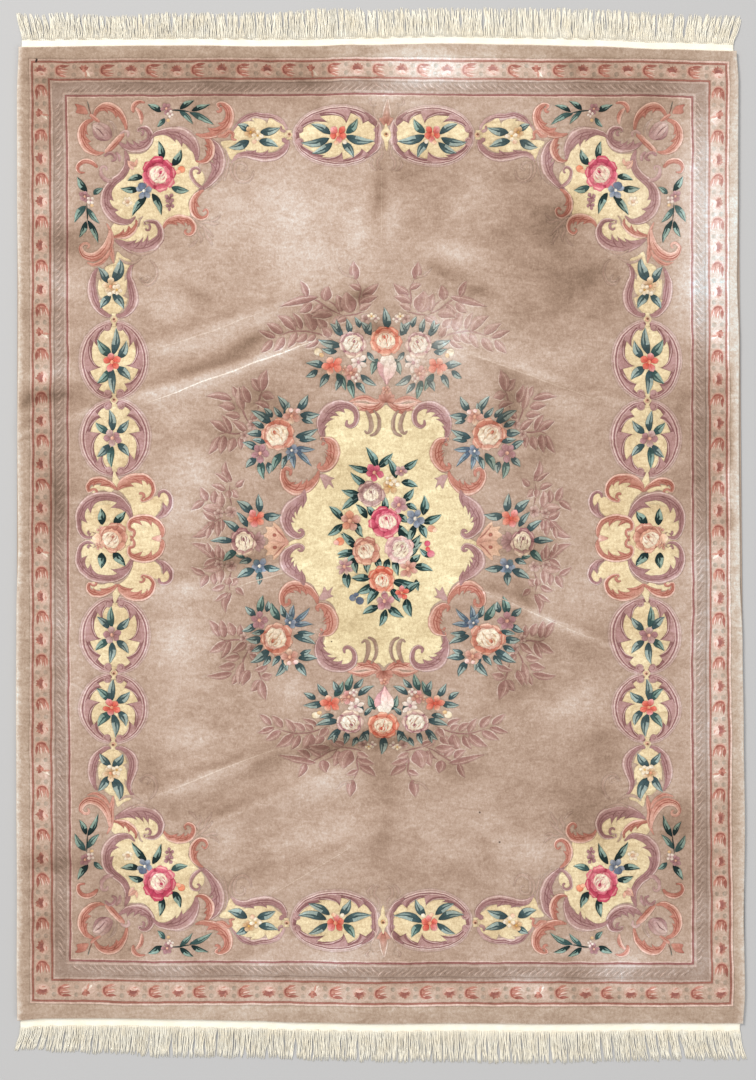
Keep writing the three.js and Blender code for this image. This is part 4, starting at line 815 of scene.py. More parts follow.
# ------------------------------------------------- cluster in mid side
def chart_side():
    S.fold_mode = "four"
    # yellow grounds, then the frames over them
    S.add(catmull([(113.6, 471), (117.6, 478), (122, 484), (128, 482), (137, 479.6), (147, 482), (152, 490), (152.8, 497), (158.4, 496), (164.4, 491), (168, 495.4), (169.6, 502.6), (167, 506.6), (162, 503), (160.4, 510), (155, 516.6),
                   (147, 519), (139, 518.4), (133, 516.6), (131, 507), (127, 499.6), (121.4, 494), (115.6, 490.6), (110, 493.6), (104, 490.6), (98, 491), (94, 493.6), (90.4, 491.6), (91, 487.4), (96, 485), (103.6, 485.6), (110.6, 487)], 3, True),
          "yellow", "yellow_deep", (110, 480), (160, 515))
    scroll(spiral(140, 495.6, 1.4, 5.2, -100, 75, 2.4, 3.4, 6) + [(144.6, 500.8, 3.8), (150.6, 497.6, 4.2), (153.4, 491, 4.8), (151.4, 483.4, 5.6), (145.4, 478.4, 6.8), (137.2, 477.4, 8), (128.8, 479.6, 9), (121.6, 485.2, 8), (117.6, 491, 2.6)],
           "salmon", rim=-1, veins=2, teeth=((118.4, 490, 127.6, 480.6, 4.6), (130, 479.4, 141, 477.4, 4.6), (143, 477.8, 150, 481.6, 2.4)))
    scroll(spiral(94.4, 493, 1.2, 4.4, 30, -160, 2.2, 3.2, 6) + [(88.2, 491.4, 4), (88, 485.4, 5), (93, 481, 6.4), (101, 480.6, 6.8), (109, 484.2, 5.6), (116.4, 490.4, 3)], "salmon", rim=1, veins=2, teeth=((114, 489, 102.4, 481, 3), (100, 480.6, 91, 482, 2.4)))
    scroll([(158.8, 497.4, 2.6), (159.6, 493.6, 3.2), (163.8, 491.6, 3.6), (168.8, 494.4, 4.2), (171.2, 501, 4.8), (169.4, 508.6, 6), (163.6, 514.8, 6.4), (156.4, 518, 3)], "mauve", rim=1, veins=2, teeth=((158, 517.4, 168.4, 509.6, 6.6),))
    # round frame, open on the left
    S.add(catmull([(131, 521), (128, 508), (120, 500.6), (106, 498.6), (92, 501), (83.6, 509), (81, 522), (83.6, 533), (91, 537), (96, 537.6), (91, 538), (83.6, 542.4), (81, 553), (84, 566), (92, 573.6), (106, 577), (120, 574.4), (128, 567), (131, 554)], 3, True), "yellow", "yellow_deep", (90, 500), (120, 570))
    scroll(spiral(89.6, 532, 1.4, 4.6, 190, 10, 2.2, 3.6, 6) + [(90.6, 538, 4), (85, 538, 4.2), (80.4, 533.2, 4.6), (78, 525.4, 5.4), (78.4, 516, 7.2), (83, 506.6, 9), (91.4, 499.6, 9.8), (102.4, 496.6, 9.4), (113.4, 497.8, 8.4), (122, 502.4, 7.4), (128.4, 509.8, 5.8), (131, 517.8, 4), (130.8, 524, 1.6)],
           "mauve", rim=1, veins=3, teeth=((98, 497.2, 85, 504.6, 6), (83, 506.6, 78, 519, 6), (131, 520, 120, 501.4, 8)))
    leaf(102.4, 525.6, 101, 509, 9.4, "dark", 0.0, -1)
    leaf(113.4, 524.4, 125, 511.6, 9.4, "dark", 0.1, -1)
    # salmon square, half of it
    S.fold_mode = "lr"
    S.add(catmull([(129.6, 527), (132, 520.6), (139, 518), (147, 517.4), (154.6, 519), (161, 524.6), (163.4, 532), (161.6, 538.8), (163.4, 545.6), (161, 553), (154.6, 558.6), (147, 560), (139, 559.6), (132, 557), (129.6, 550.6), (129.6, 546), (132.6, 538.8), (129.6, 531.6)], 3, True),
          "yellow", "yellow_deep", (132, 522), (160, 556))
    for w in (1, -1):
        def q(rows, w=w):
            return [(r[0], 538.8 + (r[1] - 538.8) * w, *r[2:]) for r in rows]
        def qt(rows, w=w):
            return [(r[0], 538.8 + (r[1] - 538.8) * w, r[2], 538.8 + (r[3] - 538.8) * w, r[4]) for r in rows]
        g = scroll(q([(130.6, 541, 1.6), (134.4, 534.6, 3), (133.4, 531, 3.2), (129.8, 530, 4), (128.8, 525.6, 4.4), (131.6, 521, 5.4), (137.6, 518.6, 6.6), (144.6, 517.8, 6.6), (152, 519, 6), (158.4, 523, 5.6), (162, 529, 5.4), (162.4, 535, 4.4), (159, 538.8, 2)]),
                   "salmon", rim=w, veins=2, teeth=qt(((129.4, 524.6, 138.6, 518.4, 5.6), (142, 517.8, 151.6, 519, 5.4))))
    S.add(catmull([(152, 538.8), (156, 536.4), (161, 535.6), (161.4, 538.8), (161, 542), (156, 541.2)], 3, True), "salmon", "salmon_pale", (152, 538), (161, 538))
    leaf(101, 552.6, 101, 566.6, 9, "dark", 0.0, 1)
    leaf(113, 553, 124.6, 563.6, 9.6, "dark", 0.1, 1)
    S.add(catmull([(92, 538.8), (96.4, 534), (101, 535.6), (102, 539), (101, 543), (96.4, 545)], 3, True), "cream", "peach", (92, 538), (102, 538))
    flower(99, 546, 4.4, "salmon", 4, 0.4)
    flower(100.6, 530.4, 4.2, "salmon", 4, 0.1)
    rose(113.4, 538.6, 14.6, "salmon", -0.4, 7, 0.52, (-2.2, 1.0))


# ------------------------------------------------- medallion
def chart_medallion():
    S.fold_mode = "once"
    half = [(0, 405), (-5, 409), (-9.5, 407.5), (-13, 404.5), (-22, 403.5), (-32, 404), (-42, 402), (-52, 404), (-60, 411), (-63, 422), (-59.5, 434), (-60, 440), (-51, 444), (-46.5, 454), (-49, 465), (-56, 472),
            (-64, 475), (-67, 481), (-73, 490), (-84, 495), (-84, 502), (-91, 508), (-99, 515), (-101.5, 524), (-96, 532), (-86, 537)]
    pts = []
    upper = [(385.6 + x, y) for x, y in half]
    lower = [(383.6 + x * 0.985, 537 + (537 - y) * 0.985) for x, y in half]
    right_u = [(387 - x * 0.955, y) for x, y in half]
    right_l = [(384 - x * 0.955, 537 + (537 - y) * 0.985) for x, y in half]
    pts = upper + lower[::-1] + right_l + right_u[::-1]
    S.add(even(catmull(pts, 4, True), 2.0, True), "medal", "medal", (330, 430), (330, 640), None, 0.0)
    S.fold_mode = "four"
    # crest
    scroll([(352, 402.6, 1.8), (360, 405.4, 5.4), (368.4, 408, 8), (377, 406.6, 8.4), (383.6, 400.8, 5), (386.4, 394, 1.6)], "salmon", rim=1, veins=2, shade=0.8, teeth=((0.62, 0.42, 3.4), (0.42, 0.22, 3)))
    scroll([(349, 402.6, 1.6), (357.6, 399.4, 4.6), (366.4, 398.6, 6.4), (374.6, 401.6, 5), (382, 402, 2)], "salmon", rim=-1, veins=1, shade=0.3)
    # inner grey curls
    g = scroll([(366.4, 411.4, 2), (369.4, 416.6, 4), (371.4, 424.6, 4.6), (370.6, 430.6, 4.6), (367.6, 433.4, 3), (365, 431.2, 2)], "tone_grey", veins=0)
    scroll([(374, 410.6, 1.6), (378.2, 417, 3.4), (379.4, 425.6, 4), (376.6, 433, 3.6), (371, 436, 2.2)], "tone_grey", veins=1)
    # mauve C scroll
    scroll([(325.6, 440.8, 2), (321.6, 431.6, 6), (322, 421.4, 10), (327.6, 411.6, 12), (337, 406.2, 10.4), (347, 405.4, 8), (354.6, 409.4, 6.6), (357.4, 416.6, 5.6), (355.4, 423.6, 4.8), (350.4, 426.8, 4), (346.4, 424.6, 3.2), (347, 421, 2.2)],
           "mauve_soft", rim=1, veins=3, teeth=((0.05, 0.17, 4), (0.17, 0.29, 5), (0.29, 0.41, 6), (0.41, 0.54, 5)))
    # salmon scroll below it
    scroll(spiral(321.8, 443.8, 1.2, 4.6, 60, -100, 2.6, 4, 6) + [(325.6, 440, 6), (331.6, 442.6, 9.4), (334.6, 449.6, 12.4), (334, 458, 12.6), (329.6, 465.4, 10), (323.4, 469, 6.6), (319.4, 467, 4.4), (320.6, 463.4, 2.4)],
           "salmon", rim=1, veins=3, teeth=((0.76, 0.64, 4.4), (0.64, 0.54, 5), (0.54, 0.45, 3.6)))
    scroll([(290.8, 475.6, 3), (291.4, 471.6, 3.8), (287, 469, 4.4), (283.8, 472, 5.4), (284.2, 480, 7.4), (289, 487, 9.4), (297, 490.4, 10.6), (306, 489, 10), (313.6, 483.6, 8), (318.4, 477, 5.6), (319.4, 471.6, 2.4)],
           "salmon", rim=-1, veins=3, teeth=((0.36, 0.49, 4), (0.51, 0.64, 4.6), (0.66, 0.78, 3.6)))
    # lily
    S.add(catmull([(320.6, 476), (325.6, 474.6), (330.4, 477), (335.6, 478.6), (332.2, 481), (334.6, 488.4), (329.8, 484.6), (326.6, 489), (324.4, 483.6)], 3, True), mixed("mauve", "mauve_pale", 0.5), mixed("mauve", "mauve_pale", 0.2), (320, 475), (335, 486))
    # side scroll
    scroll([(306, 490.6, 2), (304, 497.6, 8), (297.6, 502.4, 11), (290.6, 508.6, 12.4), (286.8, 517, 12), (287.6, 526, 10), (293, 533, 7.6), (300, 536, 6), (304.2, 533.4, 4.6), (302.6, 529.8, 3.4), (299.4, 531, 2.2)],
           "mauve_soft", rim=-1, veins=3, teeth=((0.06, 0.17, 4), (0.19, 0.29, 5), (0.31, 0.42, 5), (0.44, 0.54, 3.6)))


def chart_bouquet():
    S.fold_mode = "once"
    bits = [(384, 512.4, 384, 495.4), (374, 516.8, 366.2, 505.9), (366.8, 518.6, 355.9, 504.6), (355, 520.6, 362.8, 537.6), (398.2, 513.6, 409.1, 522.9), (394.2, 523.4, 412.8, 537.4), (398, 530, 413.5, 545.5), (356, 549, 340.5, 533.5), (356.8, 551.4, 338.2, 557.6), (360.4, 555.6, 343.4, 564.9),
            (354.2, 558, 357.3, 573.5), (368.4, 556.6, 366.9, 573.6), (377.2, 556.4, 380.3, 570.4), (388.8, 558.4, 385.7, 572.4), (395.2, 557.2, 398.3, 575.8), (403, 554.6, 418.5, 548.4), (406, 548.6, 421.5, 542.4), (407.8, 548.6, 420.2, 534.6), (409.2, 562, 420.1, 554.2), (416, 524.8, 408.2, 545)]
    for x, y, tx, ty in bits:
        leaf(x, y, tx, ty, 8.2, "dark", 0.12, 1 if (x + y) % 2 < 1 else -1)
    leaves = [(377.4, 467.6, 366.1, 447.4, 8.9, 1), (378.1, 466.8, 393.2, 452.9, 8.4, 1), (370.8, 470.3, 348.9, 465, 7.9, -1), (396.5, 478.2, 387.9, 458, 8.4, 1), (402, 469.3, 417.9, 459.2, 7.9, 1), (368.2, 486.4, 350.6, 472.3, 8.4, -1), (400.9, 482, 417.7, 487, 7.9, -1),
              (361.6, 494.6, 341, 490, 8.9, -1), (360.3, 496.9, 342.2, 510.5, 8.9, 1), (402.2, 501.1, 413.3, 488, 8.2, 1), (405.5, 504.3, 417.3, 509.8, 7.2, -1), (422.8, 515.1, 424.1, 495.2, 9.6, 1), (422.7, 522.4, 441.1, 514.8, 9.1, 1), (419.1, 524.2, 426.2, 538.5, 8.9, -1),
              (343.2, 520.2, 329.3, 506.3, 8.4, 1), (342.5, 523.9, 327.4, 535.5, 8.9, -1), (354.5, 542.3, 342.7, 532.2, 6.7, -1), (353, 552.9, 337.4, 553.7, 7.2, 1), (346.8, 571.5, 348.1, 588.3, 10.1, 1), (414.1, 566, 432.5, 570.8, 8.9, -1), (369.8, 578.7, 351.1, 577.9, 8.9, 1),
              (373.2, 583.8, 355.6, 593.4, 8.9, -1), (378.4, 587.5, 367.1, 604.3, 9.6, 1), (392.1, 580.5, 419.6, 584.3, 10.1, 1), (389.8, 588.2, 399.4, 602.1, 8.9, -1), (415.7, 579.1, 417.8, 590.9, 6, 1), (404.1, 593.5, 419.2, 581.7, 8.4, -1), (378.7, 606, 362.1, 613.6, 8.4, 1), (385.4, 608.8, 378.9, 626, 8.9, -1),
              (387.6, 605.6, 403.7, 616.9, 9.1, 1), (405.7, 598, 411.5, 616.9, 10.1, 1), (407.8, 543.2, 409.1, 557.1, 7.2, 1), (430.4, 557.1, 419.1, 548.3, 6, -1)]
    for x, y, tx, ty, w, lit in leaves:
        leaf(x, y, tx, ty, w, "bouquet", 0.12 * lit, lit)
    berry(352.6, 597.4, 3.6, "blue_dark", "blue_pale"); berry(359.6, 600.4, 4, "blue_dark", "blue")
    berry(356, 594.6, 2.6, "blue", "blue_dark")
    flower(374.4, 472.4, 8.6, "crimson", 5, 0.35, alt="pink")
    flower(401, 471.2, 5.4, "mauve", 5, 0.2)
    flower(390.4, 486, 8.6, "tan", 5, 0.9)
    flower(390.6, 480.4, 5.6, "cream", 5, 0.1)
    berry(397.6, 484.4, 2.4, "white", "cream")
    rose(370.8, 494.4, 13.4, "mauve", 0.5, 7, 0.46, (0.4, 0))
    flower(398.8, 504.6, 8.6, "mauve", 5, 0.5, alt="pink_pale")
    flower(415.2, 518.6, 9.2, "blue", 5, 0.2)
    flower(350, 521.2, 9.6, "salmon", 5, 1.0, alt="orange_pale")
    berry(340.2, 541.4, 4.4, "orange", "orange_pale"); berry(336.4, 542.6, 2.8, "peach", "pink_pale")
    rose(384.6, 522.6, 16, "crimson", 0.2, 8, 0.46, (2.4, -1.6))
    rose(399, 549.6, 14, "pink", 0.8, 7, 0.48, (1.6, -0.6))
    rose(366.4, 551, 13.8, "salmon", 0.1, 7, 0.5, (-1.4, -0.6))
    berry(431.6, 528.6, 3.8, "salmon", "orange_pale"); berry(434.6, 530, 2.4, "peach", "cream")
    berry(427, 543.6, 3.2, "crimson", "pink"); berry(430.6, 553.6, 4, "crimson", "pink_pale"); berry(427.4, 549, 2.6, "red", "pink")
    flower(344.6, 566.4, 8.4, "mauve", 7, 0.4, wide=0.5, alt="cream")
    flower(407.6, 568.6, 8.8, "salmon", 6, 0.4, wide=0.62, alt="salmon_pale")
    rose(381.6, 579.6, 13.4, "orange", 0.4, 7, 0.46, (0.4, 0.6))
    flower(401.8, 592.8, 6.6, "red", 5, 0.9, alt="pink_pale")
    flower(384.4, 600.6, 9, "mauve", 5, -1.57, alt="pink_pale")
    berry(384.4, 595.4, 3.4, "plum", "pink_pale")


# ------------------------------------------------- groups round the medallion
def chart_groups():
    # branches first
    S.fold_mode = "four"
    for stem in ([(333, 340), (320, 334.6), (304, 331.4), (290, 333), (280, 336.6)], [(345, 316.6), (332, 310.6), (322, 304), (312, 298.6), (304, 298)],
                 [(366, 311), (354, 314.6), (343, 316)], [(362, 309), (360, 299), (361, 289), (357, 280)], [(340, 314), (336, 306), (329, 301)]):
        sliver(catmull(stem, 6), 1.8, mixed("branch_dark", "mauve_dark", 0.2), mixed("branch", "branch_dark", 0.6), None, 0.0, 0.6)
    for x, y, tx, ty, w, bend, shade in (
            (276, 338.6, 259, 331.4, 5.6, 0.1, 0.3), (283, 334.6, 267, 323.4, 7.4, 0.1, 0.0), (296, 331.4, 278, 316, 8.4, 0.2, 0.1), (302, 330, 293.6, 313.4, 6.2, 0.1, 0.2),
            (313.4, 331.6, 304, 312.4, 10.4, 0.24, 0.0), (325, 330.6, 317, 319.4, 8.0, 0.2, 0.0), (331, 337, 322, 327, 7.2, 0.1, 0.05),
            (297, 332.6, 287, 348.6, 6.6, -0.1, -0.2), (307, 333.4, 295.4, 343, 6.4, -0.16, -0.1), (284, 337.6, 273.6, 352.4, 7.0, -0.1, -0.15), (273, 340.6, 261, 353.6, 6.4, -0.06, 0.0),
            (320, 339.4, 304.6, 348.4, 5.4, -0.08, 0.25), (316, 334.6, 306.4, 341.4, 5.6, -0.1, 0.0),
            (318.6, 297.6, 280, 307.4, 6.4, 0.06, 0.2), (312, 303, 299.6, 312.6, 7.6, -0.16, 0.05), (308, 298, 300.6, 281.6, 6.0, 0.12, 0.2), (323, 304.4, 310.6, 313.6, 6.6, -0.16, 0.0),
            (326, 301.4, 328.8, 286, 9.2, -0.1, 0.25), (333, 315.4, 311.8, 317.6, 8.4, 0.26, 0.0), (341, 312, 336.6, 294.4, 8.4, 0.16, 0.15),
            (353.4, 312.4, 346.4, 291.4, 14.4, -0.12, 0.1), (361.4, 289.6, 349.4, 284.6, 5.2, 0.14, 0.15), (362, 295, 379, 283, 7.2, 0.1, 0.2), (360.4, 302.4, 378.4, 296.4, 7.4, -0.14, 0.1),
            (356.6, 279.6, 353.4, 261.4, 8.2, -0.1, 0.2), (360, 309.6, 372.4, 303.6, 6.0, -0.1, -0.35), (342.6, 316.4, 331, 325.6, 7.2, -0.1, -0.1), (347, 317.4, 336, 322, 5.0, -0.1, 0.1)):
        soft_leaf(x, y, tx, ty, w, bend, shade)
    flower(366.4, 318.6, 5.4, "soft", 5)
    flower(375.6, 318.4, 4.4, "pale", 4)
    for stem in ([(246, 432), (236, 433.2), (226, 432), (219, 434.6)], [(250, 424), (245.6, 415.6), (243.4, 408), (244, 400)], [(258, 410), (260, 400), (263, 390)], [(240, 418), (232, 422)]):
        sliver(catmull(stem, 6), 1.8, mixed("branch_dark", "mauve_dark", 0.2), mixed("branch", "branch_dark", 0.6), None, 0.0, 0.6)
    for x, y, tx, ty, w, bend, shade in (
            (233, 400, 206.6, 397.4, 6.4, 0.2, 0.2), (236.4, 408.4, 218.6, 405.6, 7.4, 0.14, 0.0), (237.4, 399, 232.6, 386.4, 5.4, 0.1, 0.0), (244, 411, 239.4, 386.4, 7.2, -0.1, -0.3), (250.4, 403, 243.6, 385.6, 8.6, -0.16, 0.2),
            (230.6, 432, 221.6, 414.8, 6.4, 0.1, 0.2), (241, 416.4, 224.6, 414, 6.2, 0.1, -0.1), (247, 431.4, 232.4, 420.4, 6.4, 0.14, 0.15), (226.6, 431.4, 209.4, 420.8, 7.0, 0.16, 0.1),
            (219.4, 435.6, 208.6, 453.8, 7.0, -0.1, 0.05), (224.4, 435, 221, 453.6, 8.0, 0.0, 0.15), (234, 437, 228.6, 451.4, 8.2, -0.06, -0.15), (240.4, 436, 241, 449.6, 5.4, 0.0, 0.2),
            (261, 392, 252, 379.6, 8.2, 0.1, 0.1), (262.4, 392, 267.4, 369.8, 8.4, -0.14, 0.2), (262, 395.6, 274.4, 398.6, 7.6, -0.2, 0.0), (269, 408.6, 254.6, 403.4, 5.4, 0.3, 0.15),
            (232, 481.4, 226, 460.4, 6.6, -0.36, 0.2), (251, 419.6, 258, 411, 6.0, 0.1, 0.1)):
        soft_leaf(x, y, tx, ty, w, bend, shade)
    flower(252.4, 424.4, 5.6, "soft", 6)
    flower(244.4, 435, 4.6, "soft", 5)
    for stem in ([(232, 512), (224, 512.6), (217, 514), (208, 516)], [(224, 510), (221.4, 500), (216, 494)], [(232, 505), (229.6, 495), (230.4, 484)], [(222, 518), (214, 521), (206, 523)]):
        sliver(catmull(stem, 6), 1.8, mixed("branch_dark", "mauve_dark", 0.2), mixed("branch", "branch_dark", 0.6), None, 0.0, 0.6)
    for x, y, tx, ty, w, bend, shade in (
            (228.6, 482, 214.6, 472.8, 4.4, 0.14, 0.0), (225.6, 490, 211.4, 484.8, 5.4, 0.2, 0.1), (214.4, 503.6, 214.6, 489.6, 7.2, 0.0, 0.2), (207.4, 501.6, 200.6, 487.4, 7.0, 0.0, 0.05),
            (205, 501.4, 190.6, 510.6, 6.0, 0.1, 0.1), (221.6, 508.6, 221, 490.4, 7.4, -0.1, -0.35), (223, 513.4, 202, 507.6, 9.4, 0.16, -0.2), (216, 519, 203.6, 511, 6.0, -0.1, 0.1),
            (214.4, 520.6, 191.4, 537.4, 8.2, -0.24, 0.1), (209.4, 526.6, 207, 539.4, 5.0, 0.0, -0.1), (218.4, 520.4, 218, 537.4, 6.6, 0.0, 0.15), (222.6, 519, 222.4, 532, 4.4, 0.0, 0.1),
            (232, 489, 239.4, 497.4, 6.2, 0.1, -0.15), (228, 489.6, 229, 498.6, 6.0, 0.0, 0.0), (236, 486.6, 245, 479, 5.4, 0.0, 0.1)):
        soft_leaf(x, y, tx, ty, w, bend, shade)
    flower(231.6, 512, 7.0, "soft", 6, 0.3)
    flower(219.4, 514, 4.6, "soft", 5, 0.8)
    # uncoloured curls beside the top branches
    ghost([(339, 268, 1), (346, 275, 2.4), (354, 277, 2.4)])

    # top and bottom: the group over the axis
    S.fold_mode = "four"
    leaf(343, 337, 329.9, 323.9, 8.1, "grey", 0.1, 1)
    leaf(350.3, 334.2, 346.5, 319.1, 7.4, "grey", 0.1, 1)
    leaf(340.3, 332.6, 336.5, 320, 5.8, "grey", -0.1, -1)
    leaf(371.9, 335.5, 360.6, 321.9, 8.6, "grey", 0.1, 1)
    leaf(341.9, 346.1, 318.4, 340.3, 9.3, "grey", -0.1, -1)
    leaf(326.6, 366.2, 306, 364.1, 8.6, "grey", 0.1, 1)
    leaf(330.2, 373.2, 320.1, 387.9, 8.1, "grey", 0.1, -1)
    leaf(336.9, 373.2, 346.2, 390.8, 8.6, "teal", -0.1, 1)
    leaf(349.2, 379.5, 354.7, 398.9, 8.6, "teal", 0.0, 1)
    leaf(360.7, 375.1, 377.1, 386, 7.7, "grey", 0.14, 1)
    leaf(378.5, 358.7, 371.7, 375.5, 8.6, "teal", 0.1, 1)
    leaf(366.7, 358.6, 357.4, 371.7, 6.3, "grey", 0.1, -1)
    for a in ((337, 352, 322, 349, 7, -1), (366, 334, 371, 322, 7, 1), (318, 370, 306, 378, 7.4, -1), (343, 378, 336, 391, 7.4, 1), (356, 383, 366, 394, 7, -1), (368, 352, 376, 362, 6.4, 1), (360, 328, 355, 317, 6.4, 1)):
        leaf(*a[:4], a[4], "grey", 0.12 * a[5], a[5])
    berry(318.4, 352.6, 4.2, "yellow_deep", "white"); berry(322, 355.4, 2.6, "tan", "cream_deep")
    flower(371.8, 316.4, 3.6, "cream", 4)
    flower(358.6, 363, 8.6, "pale", 6, 0.3, wide=0.6)
    flower(351.4, 373.4, 7.4, "salmon", 5, 0.7, alt="pink_pale")
    flower(356.4, 378.6, 4.4, "pale", 4, 0.2)
    flower(344.4, 370, 4, "salmon", 4, 0.2, alt="cream")
    rose(352.8, 345, 13.6, "cream", 0.6, 7, 0.56, (0.4, -1.0))
    flower(332.6, 365.6, 9.4, "red_set", 5, 0.6, alt="cream")
    S.fold_mode = "tb"
    leaf(386.8, 328.7, 384.7, 307.3, 9.7, "grey", 0.1, 1)
    S.add(catmull([(382, 357), (387.6, 354.6), (393.4, 357), (396, 368), (391.6, 379), (387.4, 386), (383.4, 379), (379.6, 368)], 3, True), "plum_pale", "white", (387, 386), (387, 357))
    petal(387.4, 384, -1.2, 24, 8, "pink_pale", "white"); petal(387.4, 384, -1.95, 24, 8, "plum_pale", "pink_pale"); petal(387.4, 386, -1.57, 26, 7, "pink_pale", "white")
    rose(386, 341, 15.4, "orange", 0.4, 7, 0.5, (-0.2, -1.0))
    # salmon pink palmette above the crest
    for k in range(-3, 4):
        a = -math.pi / 2 + k * 0.42
        petal(387, 402.6, a, 12.6 - abs(k) * 0.9, 5.4, "salmon_dark", mixed("salmon", "salmon_pale", 0.5 if k % 2 else 0.1))
    flower(387, 390.6, 4.6, "salmon", 5, alt="peach")

    # upper left (and so on round)
    S.fold_mode = "four"
    leaf(288.9, 412.9, 277.3, 396.3, 8.6, "grey", 0.1, 1)
    leaf(282.7, 417.8, 273.9, 407.3, 6.5, "grey", -0.1, -1)
    leaf(297.1, 410.8, 308, 395.7, 9.3, "grey", 0.14, -1)
    leaf(300, 415, 320.2, 415, 8.6, "grey", 0.1, 1)
    leaf(295.8, 437.2, 318.5, 429.2, 8.6, "grey", 0.14, 1)
    leaf(271, 424.5, 251.1, 410.9, 9.7, "grey", 0.14, -1)
    leaf(264, 434.5, 246.6, 433.7, 8.8, "grey", 0.1, 1)
    leaf(258.3, 450.3, 242.4, 441.7, 8.1, "grey", 0.14, -1)
    leaf(257.3, 458.7, 246.2, 467.8, 8.6, "grey", 0.14, 1)
    leaf(261.3, 460.1, 264.8, 479.5, 8.6, "teal", 0.1, 1)
    leaf(281.7, 453.6, 272.9, 471.7, 9.3, "teal", 0.14, 1)
    for a in ((284, 416, 289, 402, 7, 1), (302, 420, 314, 424, 6.6, -1), (264, 428, 252, 422, 7, 1), (268, 462, 270, 474, 7, -1), (288, 456, 283, 470, 7, 1), (266, 443, 252, 440, 6.4, 1), (300, 441, 317, 440, 7, -1), (272, 418, 264, 408, 7, 1)):
        leaf(*a[:4], a[4], "grey", 0.12 * a[5], a[5])
    for a in ((296, 448, 315.6, 449.6, 7, 1), (295.4, 451, 312.4, 467, 6.4, -1), (293.6, 453, 295.4, 469.8, 7, 1), (290.4, 450.6, 287.6, 462, 5.6, -1)):
        leaf(*a[:4], a[4], "blue", 0.1 * a[5], a[5])
    flower(292.4, 451, 6.4, "blue", 5, 0.2, alt="leaf_grey")
    flower(260.8, 453.4, 8.4, "mauve_dark", 5, 0.2)
    rose(278.6, 434.6, 16.6, "salmon_deep", 0.3, 8, 0.56, (-1.4, 0.4))
    flower(292, 416.6, 8.8, "salmon", 5, 0.5, alt="cream")
    berry(291, 410.6, 2.4, "pink_pale", "white"); berry(298, 411.6, 2.6, "pink_pale", "white")

    # left (and right) in the middle
    S.fold_mode = "lr"
    leaf(252.9, 513.7, 236.5, 500.1, 10.4, "grey", 0.12, 1)
    leaf(260.5, 512.5, 259, 493.6, 8.6, "grey", 0.0, 1)
    leaf(263.5, 515.5, 282.4, 514.5, 9.7, "grey", 0.18, 1)
    leaf(247.9, 527.2, 236.6, 511.6, 7.7, "grey", 0.1, -1)
    leaf(240.3, 532.6, 223.5, 520.5, 8.8, "grey", 0.1, 1)
    S.fold_mode = "lr"
    leaf(234.3, 541, 210.4, 541, 7.7, "grey", 0.05, 1)
    S.fold_mode = "lr"
    for w in (1, -1):
        S.add(catmull([(289.6, 543.4), (286, 541 - w * 6), (280.6, 541 - w * 14), (274.4, 541 - w * 19), (273.6, 541 - w * 14), (266.4, 541 - w * 14.4), (268.6, 541 - w * 9.6), (264, 541 - w * 6), (268.6, 541 - w * 3), (272, 541 + w * 0.5)], 3, True),
              mixed("salmon", "salmon_pale", 0.25), mixed("salmon_pale", "cream_deep", 0.5), (288, 541), (268, 541 - w * 14))
        berry(276, 541 - w * 6, 2.0, "salmon_dark", "terra")
        sliver(catmull([(286, 541 - w * 3), (280, 541 - w * 9), (275, 541 - w * 15)]), 1.2, "salmon_dark", "salmon")
        for a0 in (0.15, 0.62, 1.1):
            petal(255.6, 541.6, -w * a0, 11.4, 5.4, "mauve_dark", mixed("mauve", "mauve_pale", 0.55))
    flower(260.6, 566, 8.2, "blue", 5, 0.4, alt="leaf_grey")
    leaf(264.6, 566.4, 281.8, 568.7, 8.1, "grey", 0.1, 1)
    leaf(256.1, 569.7, 237.2, 578.5, 9.7, "grey", 0.12, 1)
    leaf(260.4, 571.9, 260.2, 585.3, 8.1, "grey", 0.0, 1)
    leaf(253, 559.7, 239.9, 563.5, 7, "grey", 0.1, -1)
    leaf(237.1, 550.8, 223.2, 561.3, 8.6, "teal", 0.1, 1)
    leaf(245.8, 557.8, 235.3, 555.7, 5.8, "teal", 0.1, 1)
    rose(243.6, 542.2, 13.4, "cream_wine", 0.6, 7, 0.58, (0.8, -0.6))
    S.fold_mode = "lr"
    flower(256.2, 518.6, 9.2, "red_set", 5, 0.5, alt="pink_pale")


# ------------------------------------------------- specks and stains
def chart_marks():
    S.fold_mode = "once"
    g = S.add(oval(37.2, 60.8, 1.1, 2.2, 0.15, 8), (58, 44, 36), (70, 52, 42))
    for x, y, r in ((500, 842, 1.0), (480, 812, 0.9), (331.6, 641.8, 0.7)):
        S.add(oval(x, y, r, r, n=6), (92, 74, 62), (92, 74, 62), group=g)
    # sharp folds: a thin pale line along each crest, partly where the pile parts and partly painted highlight
    for path, width, share in (
            (((146, 404.2), (168, 396), (190, 387.4), (210, 380), (231, 373), (250, 365.6), (270, 358.4), (290, 350.6), (308, 343.6), (324, 338)), 1.5, 0.5),
            (((150, 350), (180, 342), (210, 333), (238, 322), (262, 313)), 1.3, 0.22),
            (((446, 350), (474, 356), (506, 367), (540, 380), (576, 393), (606, 403)), 1.2, 0.26),
            (((236, 588), (252, 582), (268, 577.4), (286, 572)), 1.2, 0.40),
            (((474, 586), (500, 598), (530, 611), (562, 626), (596, 639)), 1.1, 0.26),
            (((158, 794), (190, 782), (222, 769), (252, 757), (276, 749)), 1.2, 0.26),
            (((268, 896), (300, 878), (330, 860), (352, 846)), 1.1, 0.28),
            (((381, 166), (381.6, 190), (380.6, 214), (381.4, 246)), 1.0, 0.22)):
        c = mixed("field", (250, 238, 220), share)
        sliver(catmull([(x, y) for x, y in path], 5), width, c, None, S.field_group, 0.1)
